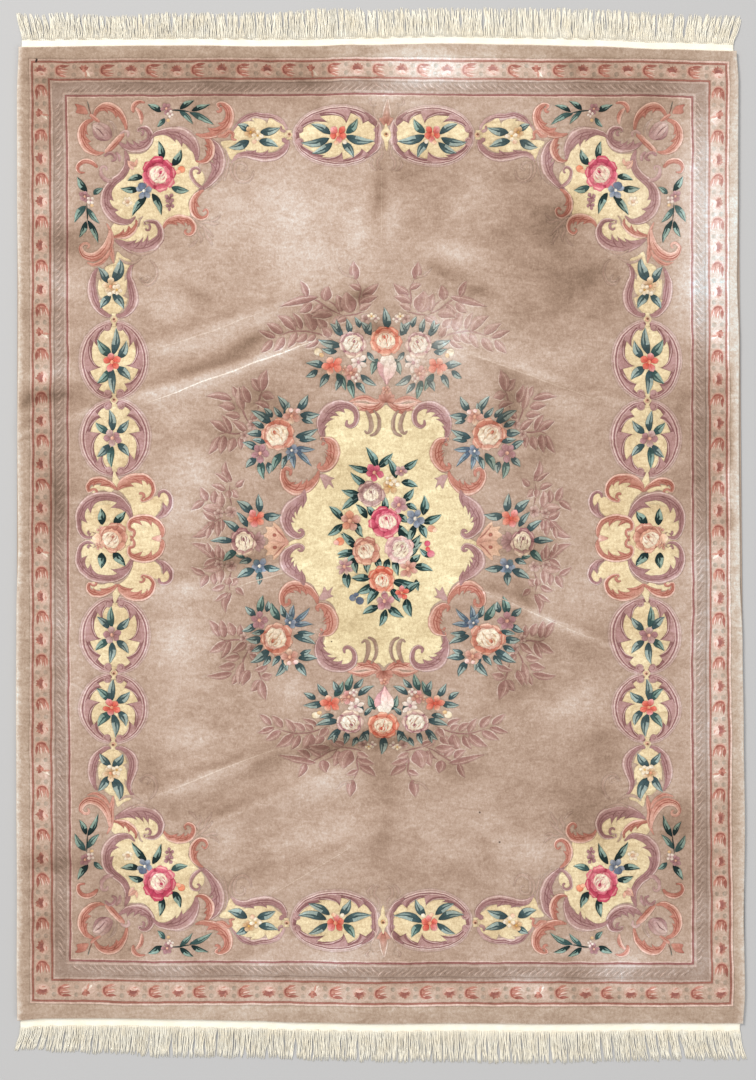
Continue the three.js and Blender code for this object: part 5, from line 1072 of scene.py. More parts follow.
# ---------------------------------------------------------------- borders
# Centre lines of the three guard stripes: left, right, top and bottom places at a few heights or widths.
GUARDS = (
    {"left": ((60, 32.8), (540, 32.8), (1001, 33.4)), "right": ((60, 726), (540, 726.6), (740, 729), (1001, 730.4)), "top": ((30, 62), (420, 60.4), (640, 61.6), (730, 64.4)), "bottom": ((30, 1000.6), (400, 1003.6), (730, 1003)), "wide": 2.1},
    {"left": ((78, 50), (540, 50.4), (980, 52)), "right": ((78, 709), (540, 709.6), (740, 711), (980, 712)), "top": ((50, 79.6), (420, 78), (640, 79), (712, 81)), "bottom": ((50, 979.6), (400, 982.4), (712, 982)), "wide": 2.0},
    {"left": ((94, 66.8), (540, 67.6), (962, 70.2)), "right": ((94, 692), (540, 692.6), (740, 693), (962, 693.4)), "top": ((66, 95.8), (420, 94.4), (640, 95), (692, 96.6)), "bottom": ((66, 960.4), (400, 963.4), (693, 963)), "wide": 1.9},
)


def guard_loop(k, out, step=5.0):
    """The closed loop that runs out units outside the centre line of guard k."""
    g = GUARDS[k]
    def corner(xs, ys, sx, sy):
        x, y = 300.0, 300.0
        for _ in range(6):
            x = along(g[xs], y) + sx * out
            y = along(g[ys], x) + sy * out
        return x, y
    tl, tr = corner("left", "top", -1, -1), corner("right", "top", 1, -1)
    bl, br = corner("left", "bottom", -1, 1), corner("right", "bottom", 1, 1)
    def run(a, b, side, sx, sy):
        length = math.hypot(b[0] - a[0], b[1] - a[1])
        n = max(2, int(length / step))
        t = np.linspace(0, 1, n + 1)[:-1]
        if side in ("top", "bottom"):
            x = a[0] + (b[0] - a[0]) * t
            y = along(g[side], x) + sy * out
        else:
            y = a[1] + (b[1] - a[1]) * t
            x = along(g[side], y) + sx * out
        return np.stack([x, y], 1)
    return np.vstack([run(tl, tr, "top", 0, -1), run(tr, br, "right", 1, 0), run(br, bl, "bottom", 0, 1), run(bl, tl, "left", -1, 0)])


def band_place(side, share, k0, k1, across=0.5):
    """A place between guards k0 and k1 on one side, share of the way from corner to corner, and the way the band runs there."""
    loops = []
    for k in (k0, k1):
        g = GUARDS[k]
        lx, rx = along(g["left"], 300), along(g["right"], 300)
        if side in ("top", "bottom"):
            yy = along(g[side], 380)
            a, b = along(g["left"], yy), along(g["right"], yy)
            x = a + (b - a) * share
            loops.append((x, along(g[side], x)))
        else:
            xx = lx if side == "left" else rx
            a, b = along(g["top"], xx), along(g["bottom"], xx)
            y = a + (b - a) * share
            loops.append((along(g[side], y), y))
    (xa, ya), (xb, yb) = loops
    return xa + (xb - xa) * across, ya + (yb - ya) * across


def placed(pts, x, y, way):
    """Local points, u along the band and v towards its inner edge, to the chart."""
    p = np.asarray(pts, float)
    ux, uy, vx, vy = {"top": (1, 0, 0, 1), "bottom": (1, 0, 0, -1), "left": (0, 1, 1, 0), "right": (0, 1, -1, 0)}[way]
    out = np.stack([x + p[:, 0] * ux + p[:, 1] * vx, y + p[:, 0] * uy + p[:, 1] * vy], 1)
    return out


def local_leaf(u, v, angle, length, width, n=6):
    a = math.radians(angle)
    mid, half, side, _ = leaf_outline(u, v, u + length * math.cos(a), v + length * math.sin(a), width, 0.1, n)
    return np.vstack([mid + side * half[:, None], (mid - side * half[:, None])[::-1][1:-1]])


def grown(pts, x, y, way, along_by=1.22, across_by=1.34):
    return placed(np.asarray(pts, float) * (along_by, across_by), x, y, way)


def band_rosette(x, y, way, d, tulip=False):
    g = S.band_group
    def put(pts, c0, c1, p0=None, p1=None):
        S.add(grown(pts, x, y, way, 1.1, 1.15), c0, c1, None if p0 is None else grown([p0], x, y, way)[0], None if p1 is None else grown([p1], x, y, way)[0], g)
    if tulip:
        put(oval(1.0, 1.0, 6.4, 4.6, 0.2, 12), mixed("guard_pale", "band", 0.5), mixed("guard_pale", "band", 0.7))
        for ang, c in ((-150, "terra_dark"), (-115, "terra"), (-75, "terra"), (-35, "terra_dark")):
            put(local_leaf(-1.6, -0.4, ang + d.around(10), 4.8, 3.4), mixed(c, "band", d.between(0, 0.2)), mixed(c, "band", 0.2), (-1.6, 0), (-1.6, -4))
        for ang, c in ((20, "guard_pale"), (52, "white"), (86, "terra_soft")):
            put(local_leaf(0.2, 0.6, ang + d.around(8), 6.6, 2.6), mixed(c, "band", 0.3), mixed(c, "band", 0.1))
        put(oval(-1.6, 0.2, 1.9, 1.5, n=7), "terra_soft", "terra")
        return
    # a little rose from the side: dark petals stand over a pale cup
    put(oval(0, 1.0, 6.6, 4.9, n=12), mixed("terra_soft", "band", 0.55), mixed("guard_pale", "band", 0.5), (0, -3), (0, 5))
    for ang, c in ((188, "terra"), (352, "terra"), (214, "terra_dark"), (326, "terra_dark"), (245, "terra_dark"), (296, "terra"), (270, "terra_dark")):
        put(local_leaf(0, 0.4, ang + d.around(9), 5.6 + d.around(0.8), 3.6), mixed(c, "band", d.between(0.1, 0.25)), mixed(c, "band", d.between(0.25, 0.5)))
    put(oval(d.around(0.5), 0.2, 3.4, 2.3, n=9), mixed("terra_dark", "mauve_dark", 0.5), mixed("terra", "terra_dark", d.between(0, 1)), (0, -2), (0, 2))
    put(oval(0.2, 2.6, 3.6, 2.0, n=9), mixed("guard_pale", "terra_pale", 0.5), mixed("guard_pale", "band", 0.2))
    put(local_leaf(-0.6, 3.2, 10 + d.around(20), 4.4, 1.5), mixed("terra_soft", "band", 0.2), mixed("terra_soft", "band", 0.4))


def band_spray(x, y, way, d):
    """A palm of slim fingers that all point along the band from a dark curved root."""
    g = S.band_group
    def put(pts, c0, c1, p0, p1):
        S.add(grown(pts, x, y, way, 1.0, 1.0), c0, c1, grown([p0], x, y, way)[0], grown([p1], x, y, way)[0], g)
    put(catmull([(1.5, -6.0), (-4.5, -6.2), (-8.2, -2.6), (-8.4, 1.6), (-5.6, 5.4), (0.4, 6.2), (-2.0, 3.0), (-3.6, 0), (-2.4, -3.2)], 2, True), mixed("terra_soft", "band", 0.35), mixed("terra_soft", "band", 0.8), (-8, 0), (2, 0))
    tilt = d.around(5) + 7
    for k, (v, long, c) in enumerate(((-4.7, 10.6, "terra_dark"), (-2.3, 11.4, "terra"), (0.0, 12.2, "terra_soft"), (2.2, 11.6, "terra"), (4.3, 9.8, "terra_soft"))):
        u0 = -7.4 + 0.16 * v * v
        a = math.radians(tilt + v * 1.6 + d.around(4))
        length = long + d.around(1.2)
        put(local_leaf(u0, v, math.degrees(a), length, (3.6 if k == 0 else 2.9) + d.around(0.3), 7), mixed(c, "terra_dark", d.between(0.1, 0.5)), mixed(c, "band", d.between(0.25, 0.6)), (u0 + 2, v), (u0 + length * math.cos(a), v + length * math.sin(a)))
        if k in (1, 3):
            put(local_leaf(u0 + 3.6, v + 1.2, math.degrees(a) + 3, length * 0.7, 1.5, 6), mixed("guard_pale", "terra_pale", 0.3), "guard_pale", (u0, v), (u0 + 8, v))
    put(catmull([(-2.4, -5.2), (-6.0, -4.0), (-7.4, -0.6), (-6.6, 3.0), (-4.0, 4.6), (-5.2, 1.6), (-5.4, -0.8), (-4.4, -3.0)], 2, True), "terra_dark", mixed("terra", "terra_dark", 0.4), (-7, 2), (-3, -4))


def band_dots(x, y, way, d):
    for v in (-3.9, 4.0):
        u = d.around(0.4)
        S.add(placed(lobed(u, v, 2.5, 4, 0.16, 0.6, n_per=3), x, y, way), mixed("band_dot", "band", d.between(0.25, 0.6)), mixed("band_dot", "band", 0.6), group=S.band_group)
        if d.between(0, 1) < 0.2:
            S.add(placed(oval(u, v, 1.0, 0.9, n=6), x, y, way), mixed("band_dot", "band", 0.75), mixed("band_dot", "band", 0.9), group=S.band_group)


def chart_border():
    S.fold_mode = "once"
    m = S.new_group()
    S.add(guard_loop(0, 3.4), "margin", "margin", group=m)
    S.add(guard_loop(0, 2.6), mixed("guard_pale", "margin", 0.3), "guard_pale", group=m)
    S.add(guard_loop(0, 1.1), "guard", "guard")
    S.band_group = S.new_group()
    S.add(guard_loop(0, -1.0), "band", "band", group=S.band_group)
    S.add(guard_loop(1, 1.0), "guard", "guard")
    g = S.new_group()
    S.add(guard_loop(1, -1.0), mixed("grey_pale", "band", 0.3), "grey_pale", group=g)
    S.add(guard_loop(1, -3.0), "grey", "grey", group=g)
    S.add(guard_loop(2, 3.2), mixed("grey_pale", "band", 0.2), "grey_pale", group=g)
    S.add(guard_loop(2, 1.0), "guard_mauve", "guard_mauve")
    f = S.field_group = S.new_group()
    S.add(guard_loop(2, -1.0), mixed("guard_pale", "field", 0.3), "guard_pale", group=f)
    S.add(guard_loop(2, -2.2), "field", "field", group=f)
    # motifs of the flower band
    for side, count in (("top", 30), ("bottom", 30), ("left", 42), ("right", 42)):
        d = Dice(sum(map(ord, side)))
        for n in range(count * 2 + 1):
            corner = n in (0, count * 2)
            if corner and side in ("left", "right"):
                continue
            x, y = band_place(side, n / (count * 2), 0, 1, 0.5)
            if n % 2:
                band_dots(x, y, side, d)
            elif n % 4 == 0:
                band_rosette(x, y, side, d, tulip=not corner and (n // 4) % 5 == 1)
            else:
                band_spray(x, y, side, d)
    # long slanting lines over the inner two thirds of the grey band, then a wavering dark line and a plain strip
    for side, count in (("top", 186), ("bottom", 186), ("left", 262), ("right", 262)):
        d = Dice(sum(map(ord, side)) + 5)
        line = []
        for n in range(0, 41):
            x, y = band_place(side, 0.018 + 0.964 * n / 40, 1, 2, 0.5)
            line.append(placed([(0, -4.3 + d.around(0.35))], x, y, side)[0])
        sliver(even(catmull(line, 3), 4.0), 1.3, mixed("grey_dark", "grey", 0.30), mixed("grey_dark", "grey", 0.45), g)
        for n in range(4, count - 3):
            x, y = band_place(side, (n + d.around(0.14)) / count, 1, 2, 0.5)
            down = -1 if n < count / 2 else 1
            low, high = -3.3 + d.around(0.5), 6.2
            v0, v1 = (low, high) if down > 0 else (high, low)
            u = 4.6 + d.around(0.6)
            bow = 0.9 + d.around(0.3)
            w = 0.62 + d.around(0.16)
            swell = 0.5 + 0.5 * math.sin(n * 0.37 + 1.3 * math.sin(n * 0.11))
            if n % 2:
                c, e = mixed("grey_pale", "guard_pale", 0.15 + 0.55 * swell * d.between(0.5, 1)), mixed("grey_pale", "grey", d.between(0.1, 0.6))
            else:
                c, e = mixed("grey_dark", "grey", d.between(0.1, 0.6)), mixed("grey_dark", "grey", d.between(0.3, 0.9))
            S.add(placed([(-u - w * 0.4, v0), (-u * 0.45 - w, v0 * 0.55 + v1 * 0.45 - bow * down), (u * 0.45 - w, v0 * 0.35 + v1 * 0.65 - bow * down * 0.4), (u, v1), (u * 0.45 + w, v0 * 0.35 + v1 * 0.65 - bow * down * 0.4), (-u * 0.45 + w, v0 * 0.55 + v1 * 0.45 - bow * down)], x, y, side), c, e, group=g)
# ------------------------------------------------------------ where it all lies
# The second half and the lower half of the rug aren't exact mirror images, as on any rug made by hand.
LOWER_SUM = ((46, 1068), (62, 1063), (79.5, 1059.5), (95.8, 1056.4), (136, 1058), (174, 1056.5), (287, 1059), (341, 1066), (361, 1069), (404, 1073.6), (438, 1073.4), (493, 1075.5), (541, 1082), (700, 1082))
RIGHT_RUN = ((-40, -40), (0, 0), (48.6, 46.4), (98, 91.4), (130.6, 126.4), (227.6, 214.4), (273.5, 261.5), (319, 305.5), (336, 322.5), (353, 339.5), (369.5, 355), (390, 375))
AXIS_RUN = ((0, 386.5), (430, 386.5), (535, 384.5), (720, 383), (1080, 383))


def along(table, at):
    xs, ys = zip(*table)
    return np.interp(at, xs, ys)


def lay(pts, right, lower):
    """Chart points of the first quarter to where they lie in one of the four quarters."""
    p = np.array(pts, float)
    x, y = p[:, 0].copy(), p[:, 1].copy()
    if lower:
        y = along(LOWER_SUM, y) - y
    d = 386.5 - x
    near = np.clip(1 - np.abs(d) / 230.0, 0, 1)
    shift = (along(AXIS_RUN, y) - 386.5) * near
    x = (386.5 + along(RIGHT_RUN, d) if right else 386.5 - d) + shift
    return np.stack([x, y], 1)


QUARTERS = {"four": ((0, 0), (1, 0), (0, 1), (1, 1)), "lr": ((0, 0), (1, 0)), "tb": ((0, 0), (0, 1)), "once": ((0, 0),)}


def unfold(sheet):
    """All shapes in painting order, each with its own carving group in every quarter."""
    out = []
    for mode, s in sheet.items:
        for n, (right, lower) in enumerate(QUARTERS[mode]):
            if mode == "once":
                pts, ends = s.pts, np.array([s.p0, s.p1])
            else:
                pts = lay(s.pts, right, lower)
                ends = lay(np.array([s.p0, s.p1]), right, lower)
            g = s.group * 4 + (right + 2 * lower) if mode != "once" else s.group * 4
            out.append(Shape(pts, s.c0, s.c1, ends[0], ends[1], g, s.layer, s.rise, s.soft))
    return out
# ------------------------------------------------------------ the rug's own form, as in the part
MIDDLE = (7.0643, -0.1412)       # the part is drawn this far off centre, in mm
PILE_LEFT, PILE_RIGHT, PILE_TOP, PILE_BOTTOM = -1218.5, 1226.8, 1652.0, -1643.5
PILE_HEIGHT, SELVEDGE_HEIGHT, SHOULDER_HEIGHT = 15.0, 4.0, 11.0
UNDER_INSET, TOP_INSET, SWELL = 3.0, 5.0, 0.9
FOLD_AXIS, CREASE_REACH, CREASE_END = 10.0, 82.0, 110.0
LEFT_WAVE = ((0.00, 0.0), (0.06, 1.7), (0.13, 0.7), (0.23, 2.7), (0.33, 3.7), (0.42, 2.4), (0.49, -3.2), (0.59, -1.0), (0.74, -4.0), (0.84, 0.0), (0.95, 0.6), (1.00, -5.0))
RIGHT_WAVE = ((0.00, 6.7), (0.03, 12.6), (0.11, 8.4), (0.20, 12.2), (0.30, 8.3), (0.39, 4.5), (0.46, -3.6), (0.59, -7.4), (0.70, -6.6), (0.765, -13.6), (0.86, -10.6), (0.97, -9.4), (1.00, -15.5))
TOP_WAVE = ((0.00, -1.7), (0.16, 2.7), (0.25, 3.4), (0.33, 0.1), (0.40, 1.0), (0.47, 5.0), (0.60, 10.0), (0.70, 5.8), (0.80, 0.4), (0.90, -9.4), (1.00, -15.5))
BOTTOM_WAVE = ((0.00, -5.0), (0.04, -11.4), (0.12, -12.2), (0.22, -8.3), (0.32, -4.0), (0.39, 2.7), (0.50, 7.2), (0.60, 5.0), (0.74, 7.4), (0.87, 4.0), (1.00, 5.0))
FOLD_LINES = {"f": (-980, 0.59, 0.40, 420), "e": (-734, 0.417, 0.35, 600), "d": (-592, 0.364, 0.35, 850), "c": (-49, 0.173, 0.42, 1230), "b": (721, 0.311, 0.342, 1230), "a": (893, 0.333, 0.30, 1230)}
CREASES = (("a", -1, 290, 796, 2.6), ("b", -1, 145, 1208, 4.0), ("b", 1, 250, 773, 3.5), ("c", -1, 273, 780, 2.5), ("c", 1, 300, 756, 3.5), ("d", -1, 334, 780, 3.0), ("e", -1, 138, 526, 3.0), ("f", -1, 20, 391, 2.6))
LENGTH_FOLDS = ((0, 890, 1290, 2.4), (-118, 1440, 1640, 3.6))


def look_up(table, at):
    """The value of a table at a place, easing from one row to the next."""
    xs = np.array([r[0] for r in table], float)
    ys = np.array([r[1] for r in table], float)
    at = np.asarray(at, float)
    k = np.clip(np.searchsorted(xs, at, side="right") - 1, 0, len(xs) - 2)
    t = np.clip((at - xs[k]) / (xs[k + 1] - xs[k]), 0, 1)
    t = t * t * (3 - 2 * t)
    return ys[k] + (ys[k + 1] - ys[k]) * t


def place(u, v, inset):
    """Millimetres of a point of the rug at shares u and v of its width and length."""
    left = PILE_LEFT - look_up(LEFT_WAVE, v) + inset
    right = PILE_RIGHT + look_up(RIGHT_WAVE, v) - inset
    low = PILE_BOTTOM - look_up(BOTTOM_WAVE, u) + inset
    high = PILE_TOP + look_up(TOP_WAVE, u) - inset
    return np.stack([left + (right - left) * u, low + (high - low) * v], -1)


def bump(d):
    return np.where(np.abs(d) >= 1, 0.0, (1 - d * d) ** 2)


def crease_field(x, y, reach=1.0):
    """How much the folds lift the pile at x, y in mm."""
    z = np.zeros_like(x)
    for name, side, start, end, rise in CREASES:
        apex, fall_left, fall_right, far = FOLD_LINES[name]
        off = (x - FOLD_AXIS) * side
        fall = fall_left if side < 0 else fall_right
        real_fall = np.where(x < FOLD_AXIS, fall_left, fall_right)
        line = apex - real_fall * np.minimum(np.abs(x - FOLD_AXIS), far)
        across = np.abs(y - line) / math.hypot(1, fall)
        past = np.maximum(np.maximum(start - off, off - end), 0)
        z += rise * bump(across / (CREASE_REACH * reach)) * bump(past / CREASE_END)
    for shift, low, high, rise in LENGTH_FOLDS:
        across = np.abs(x - FOLD_AXIS - shift)
        past = np.maximum(np.maximum(low - y, y - high), 0)
        z += rise * bump(across / (CREASE_REACH * reach)) * bump(past / CREASE_END)
    return z


def top_height(x, y):
    return PILE_HEIGHT + SWELL * (np.sin(x / 310 + 0.6) * np.cos(y / 420) + 0.6 * np.sin(y / 260 - x / 540)) / 1.6 + crease_field(x, y)


def to_mm(p):
    p = np.asarray(p, float)
    return np.stack([(p[..., 0] - 378) * 3.375, (535.5 - p[..., 1]) * 3.375], -1)


def to_chart(mm):
    mm = np.asarray(mm, float)
    return np.stack([mm[..., 0] / 3.375 + 378, 535.5 - mm[..., 1] / 3.375], -1)


def to_world(mm, z):
    mm = np.asarray(mm, float)
    return np.stack([(mm[..., 0] - MIDDLE[0]) / 1000, (mm[..., 1] - MIDDLE[1]) / 1000, np.broadcast_to(z, mm.shape[:-1]) / 1000], -1)


# ------------------------------------------------------------ painting order to a mesh
def inside(px, py, poly):
    """Which of the points lie in a polygon."""
    x0, y0 = poly[:, 0], poly[:, 1]
    x1, y1 = np.roll(x0, -1), np.roll(y0, -1)
    dy = np.where(y1 == y0, 1e-12, y1 - y0)
    up = (y0[:, None] <= py) != (y1[:, None] <= py)
    at = x0[:, None] + (py - y0[:, None]) * ((x1 - x0) / dy)[:, None]
    return (np.count_nonzero(up & (px < at), axis=0) & 1).astype(bool)


def inside_large(px, py, order_y, poly):
    """The same for a long outline: px, py are sorted by py."""
    flips = np.zeros(len(px), bool)
    n = len(poly)
    for k in range(n):
        xa, ya = poly[k]
        xb, yb = poly[(k + 1) % n]
        if ya == yb:
            continue
        lo, hi = (ya, yb) if ya < yb else (yb, ya)
        i0, i1 = np.searchsorted(py, lo, side="left"), np.searchsorted(py, hi, side="left")
        if i1 <= i0:
            continue
        at = xa + (py[i0:i1] - ya) * (xb - xa) / (yb - ya)
        flips[i0:i1] ^= px[i0:i1] < at
    return flips


def owners(points, shapes):
    """For each point the last shape that covers it, or -1."""
    order = np.argsort(points[:, 1], kind="stable")
    px, py = points[order, 0], points[order, 1]
    top = np.full(len(points), -1, np.int32)
    for n, s in enumerate(shapes):
        lo, hi = s.pts.min(0), s.pts.max(0)
        i0, i1 = np.searchsorted(py, lo[1], side="left"), np.searchsorted(py, hi[1], side="right")
        if i1 <= i0:
            continue
        if len(s.pts) > 130 and (hi[0] - lo[0]) > 120:
            hit = inside_large(px, py, None, s.pts)
            top[hit] = n
            continue
        cand = np.nonzero((px[i0:i1] >= lo[0]) & (px[i0:i1] <= hi[0]))[0] + i0
        if len(cand) == 0:
            continue
        step = max(1, 1500000 // len(s.pts))
        for a in range(0, len(cand), step):
            c = cand[a:a + step]
            hit = inside(px[c], py[c], s.pts)
            top[c[hit]] = n
    out = np.empty_like(top)
    out[order] = top
    return out


def hex_fill(x0, y0, x1, y1, step):
    rows = int((y1 - y0) / (step * 0.866)) + 1
    out = []
    for r in range(rows + 1):
        y = y0 + r * step * 0.866
        x = np.arange(x0 + (step / 2 if r % 2 else 0), x1, step)
        out.append(np.stack([x, np.full_like(x, y)], 1))
    return np.vstack(out)


def thin(points, fixed, gap):
    """Drops the points that lie within gap of a fixed one or of an earlier kept one."""
    cell = gap
    def key(p):
        return np.floor(p / cell).astype(np.int64)
    table = {}
    for p in map(tuple, fixed):
        table.setdefault((math.floor(p[0] / cell), math.floor(p[1] / cell)), []).append(p)
    keep = []
    g2 = gap * gap
    for p in map(tuple, points):
        kx, ky = math.floor(p[0] / cell), math.floor(p[1] / cell)
        ok = True
        for i in (-1, 0, 1):
            for j in (-1, 0, 1):
                for q in table.get((kx + i, ky + j), ()):
                    if (q[0] - p[0]) ** 2 + (q[1] - p[1]) ** 2 < g2:
                        ok = False
                        break
                if not ok:
                    break
            if not ok:
                break
        if ok:
            keep.append(p)
            table.setdefault((kx, ky), []).append(p)
    return np.array(keep).reshape(-1, 2)


def drift(p):
    x, y = p[:, 0], p[:, 1]
    dx = 0.30 * wander(x, y, 4.2, 51) + 0.45 * wander(x, y, 17, 52) + 0.8 * wander(x, y, 75, 53)
    dy = 0.30 * wander(x, y, 4.2, 54) + 0.45 * wander(x, y, 17, 55) + 0.8 * wander(x, y, 75, 56)
    return np.stack([x + dx, y + dy], 1)


CUTS_X = (258.3, 499.2)
CUTS_Y = (289.4, 533.6, 777.8)


def pile_mesh(shapes):
    """Gathers the points and edges for a triangulation of the whole top of the pile in which every outline is an edge.
    Returns the rim's shares u, v, the rim and all points in chart units, all edges and the cuts between tiles.
    """
    # edge of the top, by shares u, v so that the sides can be made from it
    nu, nv = 360, 484
    t_u, t_v = np.arange(nu) / nu, np.arange(nv) / nv
    zero_u, zero_v = np.zeros(nu), np.zeros(nv)
    uv = np.vstack([np.stack([t_u, zero_u], 1), np.stack([zero_v + 1, t_v], 1), np.stack([1 - t_u, zero_u + 1], 1), np.stack([zero_v, 1 - t_v], 1)])
    # the cuts between tiles meet the edge in points of it
    rim = to_chart(place(uv[:, 0], uv[:, 1], TOP_INSET))
    verts, edges = [rim], [np.stack([np.arange(len(rim)), (np.arange(len(rim)) + 1) % len(rim)], 1)]
    count = len(rim)

    def nearest(cond, value, axis):
        ids = np.nonzero(cond)[0]
        return ids[np.argmin(np.abs(rim[ids, axis] - value))]

    lower, right_side, upper, left_side = (uv[:, 1] == 0), (uv[:, 0] == 1), (uv[:, 1] == 1), (uv[:, 0] == 0)
    cut_lines = []
    cut_pts_all = []
    for x in CUTS_X:
        a, b = nearest(lower & (uv[:, 0] > 0.1) & (uv[:, 0] < 0.9), x, 0), nearest(upper & (uv[:, 0] > 0.1) & (uv[:, 0] < 0.9), x, 0)
        cut_lines.append((a, b, "x"))
    for y in CUTS_Y:
        a, b = nearest(left_side & (uv[:, 1] > 0.05) & (uv[:, 1] < 0.95), y, 1), nearest(right_side & (uv[:, 1] > 0.05) & (uv[:, 1] < 0.95), y, 1)
        cut_lines.append((a, b, "y"))
    for a, b, kind in cut_lines:
        n = int(np.hypot(*(rim[b] - rim[a])) / 2.4)
        t = np.arange(1, n)[:, None] / n
        verts.append(rim[a] * (1 - t) + rim[b] * t)
        ids = np.concatenate([[a], count + np.arange(n - 1), [b]])
        edges.append(np.stack([ids[:-1], ids[1:]], 1))
        count += n - 1

    # nothing that is woven and clipped by hand is quite true
    runs = [s.pts for s in shapes] + [np.array([s.p0, s.p1]) for s in shapes]
    moved = np.split(drift(np.vstack(runs)), np.cumsum([len(q) for q in runs])[:-1])
    for n, s in enumerate(shapes):
        s.pts = moved[n]
        s.p0, s.p1 = moved[len(shapes) + n]
    # where each shape shows, at half a unit
    grid = 0.5
    gx = np.arange(14, 750, grid)
    gy = np.arange(40, 1028, grid)
    mx, my = np.meshgrid(gx, gy)
    seen = owners(np.stack([mx.ravel(), my.ravel()], 1), shapes).reshape(mx.shape)
    near_list = []
    for n, s in enumerate(shapes):
        p = s.pts
        ix = np.clip(((p[:, 0] - gx[0]) / grid).round().astype(int), 1, len(gx) - 2)
        iy = np.clip(((p[:, 1] - gy[0]) / grid).round().astype(int), 1, len(gy) - 2)
        vis = np.zeros(len(p), bool)
        for i in (-1, 0, 1):
            for j in (-1, 0, 1):
                vis |= seen[iy + j, ix + i] == n
        if not vis.any():
            continue
        nxt = np.roll(vis, -1)
        use = vis | nxt | np.roll(vis, 1)
        ids = np.full(len(p), -1)
        ids[use] = count + np.arange(use.sum())
        verts.append(p[use])
        e = np.stack([ids, np.roll(ids, -1)], 1)
        e = e[(e[:, 0] >= 0) & (e[:, 1] >= 0)]
        # an edge of which neither end shows is left out
        edges.append(e)
        count += int(use.sum())
        # points to both sides of a carved outline
        q = np.roll(p, -1, 0) - np.roll(p, 1, 0)
        ln = np.maximum(np.hypot(q[:, 0], q[:, 1]), 1e-9)
        nrm = np.stack([-q[:, 1], q[:, 0]], 1) / ln[:, None]
        near_list.append((p[vis] + nrm[vis] * 0.85))
        near_list.append((p[vis] - nrm[vis] * 0.85))
    fixed = np.vstack(verts)
    ring = thin(np.vstack(near_list), fixed, 0.72)
    fill = hex_fill(14, 40, 750, 1028, 4.2)
    fill = thin(fill, np.vstack([fixed, ring]), 2.3)
    # only what lies well inside the rim
    inner_rim = to_chart(place(uv[:, 0], uv[:, 1], TOP_INSET + 4))
    both = np.vstack([ring, fill])
    order = np.argsort(both[:, 1], kind="stable")
    both = both[order]
    both = both[inside_large(both[:, 0], both[:, 1], None, inner_rim)]
    allv = np.vstack([fixed, both])
    alle = np.vstack(edges)
    return uv, rim, allv, alle, cut_lines
# ------------------------------------------------------------ light and shade in the pile
def ease(t):
    t = np.clip(t, 0, 1)
    return t * t * (3 - 2 * t)


TABLES = {}


def wander(x, y, size, seed):
    """Smooth noise from -1 to 1 on a lattice of the given size."""
    if seed not in TABLES:
        TABLES[seed] = np.random.RandomState(seed).uniform(-1, 1, (64, 64))
    table = TABLES[seed]
    gx, gy = np.asarray(x) / size, np.asarray(y) / size
    ix, iy = np.floor(gx).astype(int), np.floor(gy).astype(int)
    fx, fy = ease(gx - ix), ease(gy - iy)
    def at(i, j):
        return table[np.mod(i, 64), np.mod(j, 64)]
    a = at(ix, iy) * (1 - fx) + at(ix + 1, iy) * fx
    b = at(ix, iy + 1) * (1 - fx) + at(ix + 1, iy + 1) * fx
    return a * (1 - fy) + b * fy


def blob(x, y, cx, cy, rx, ry, turn=0.0):
    c, s = math.cos(turn), math.sin(turn)
    u, v = (x - cx) * c + (y - cy) * s, -(x - cx) * s + (y - cy) * c
    return np.exp(-((u / rx) ** 2 + (v / ry) ** 2))
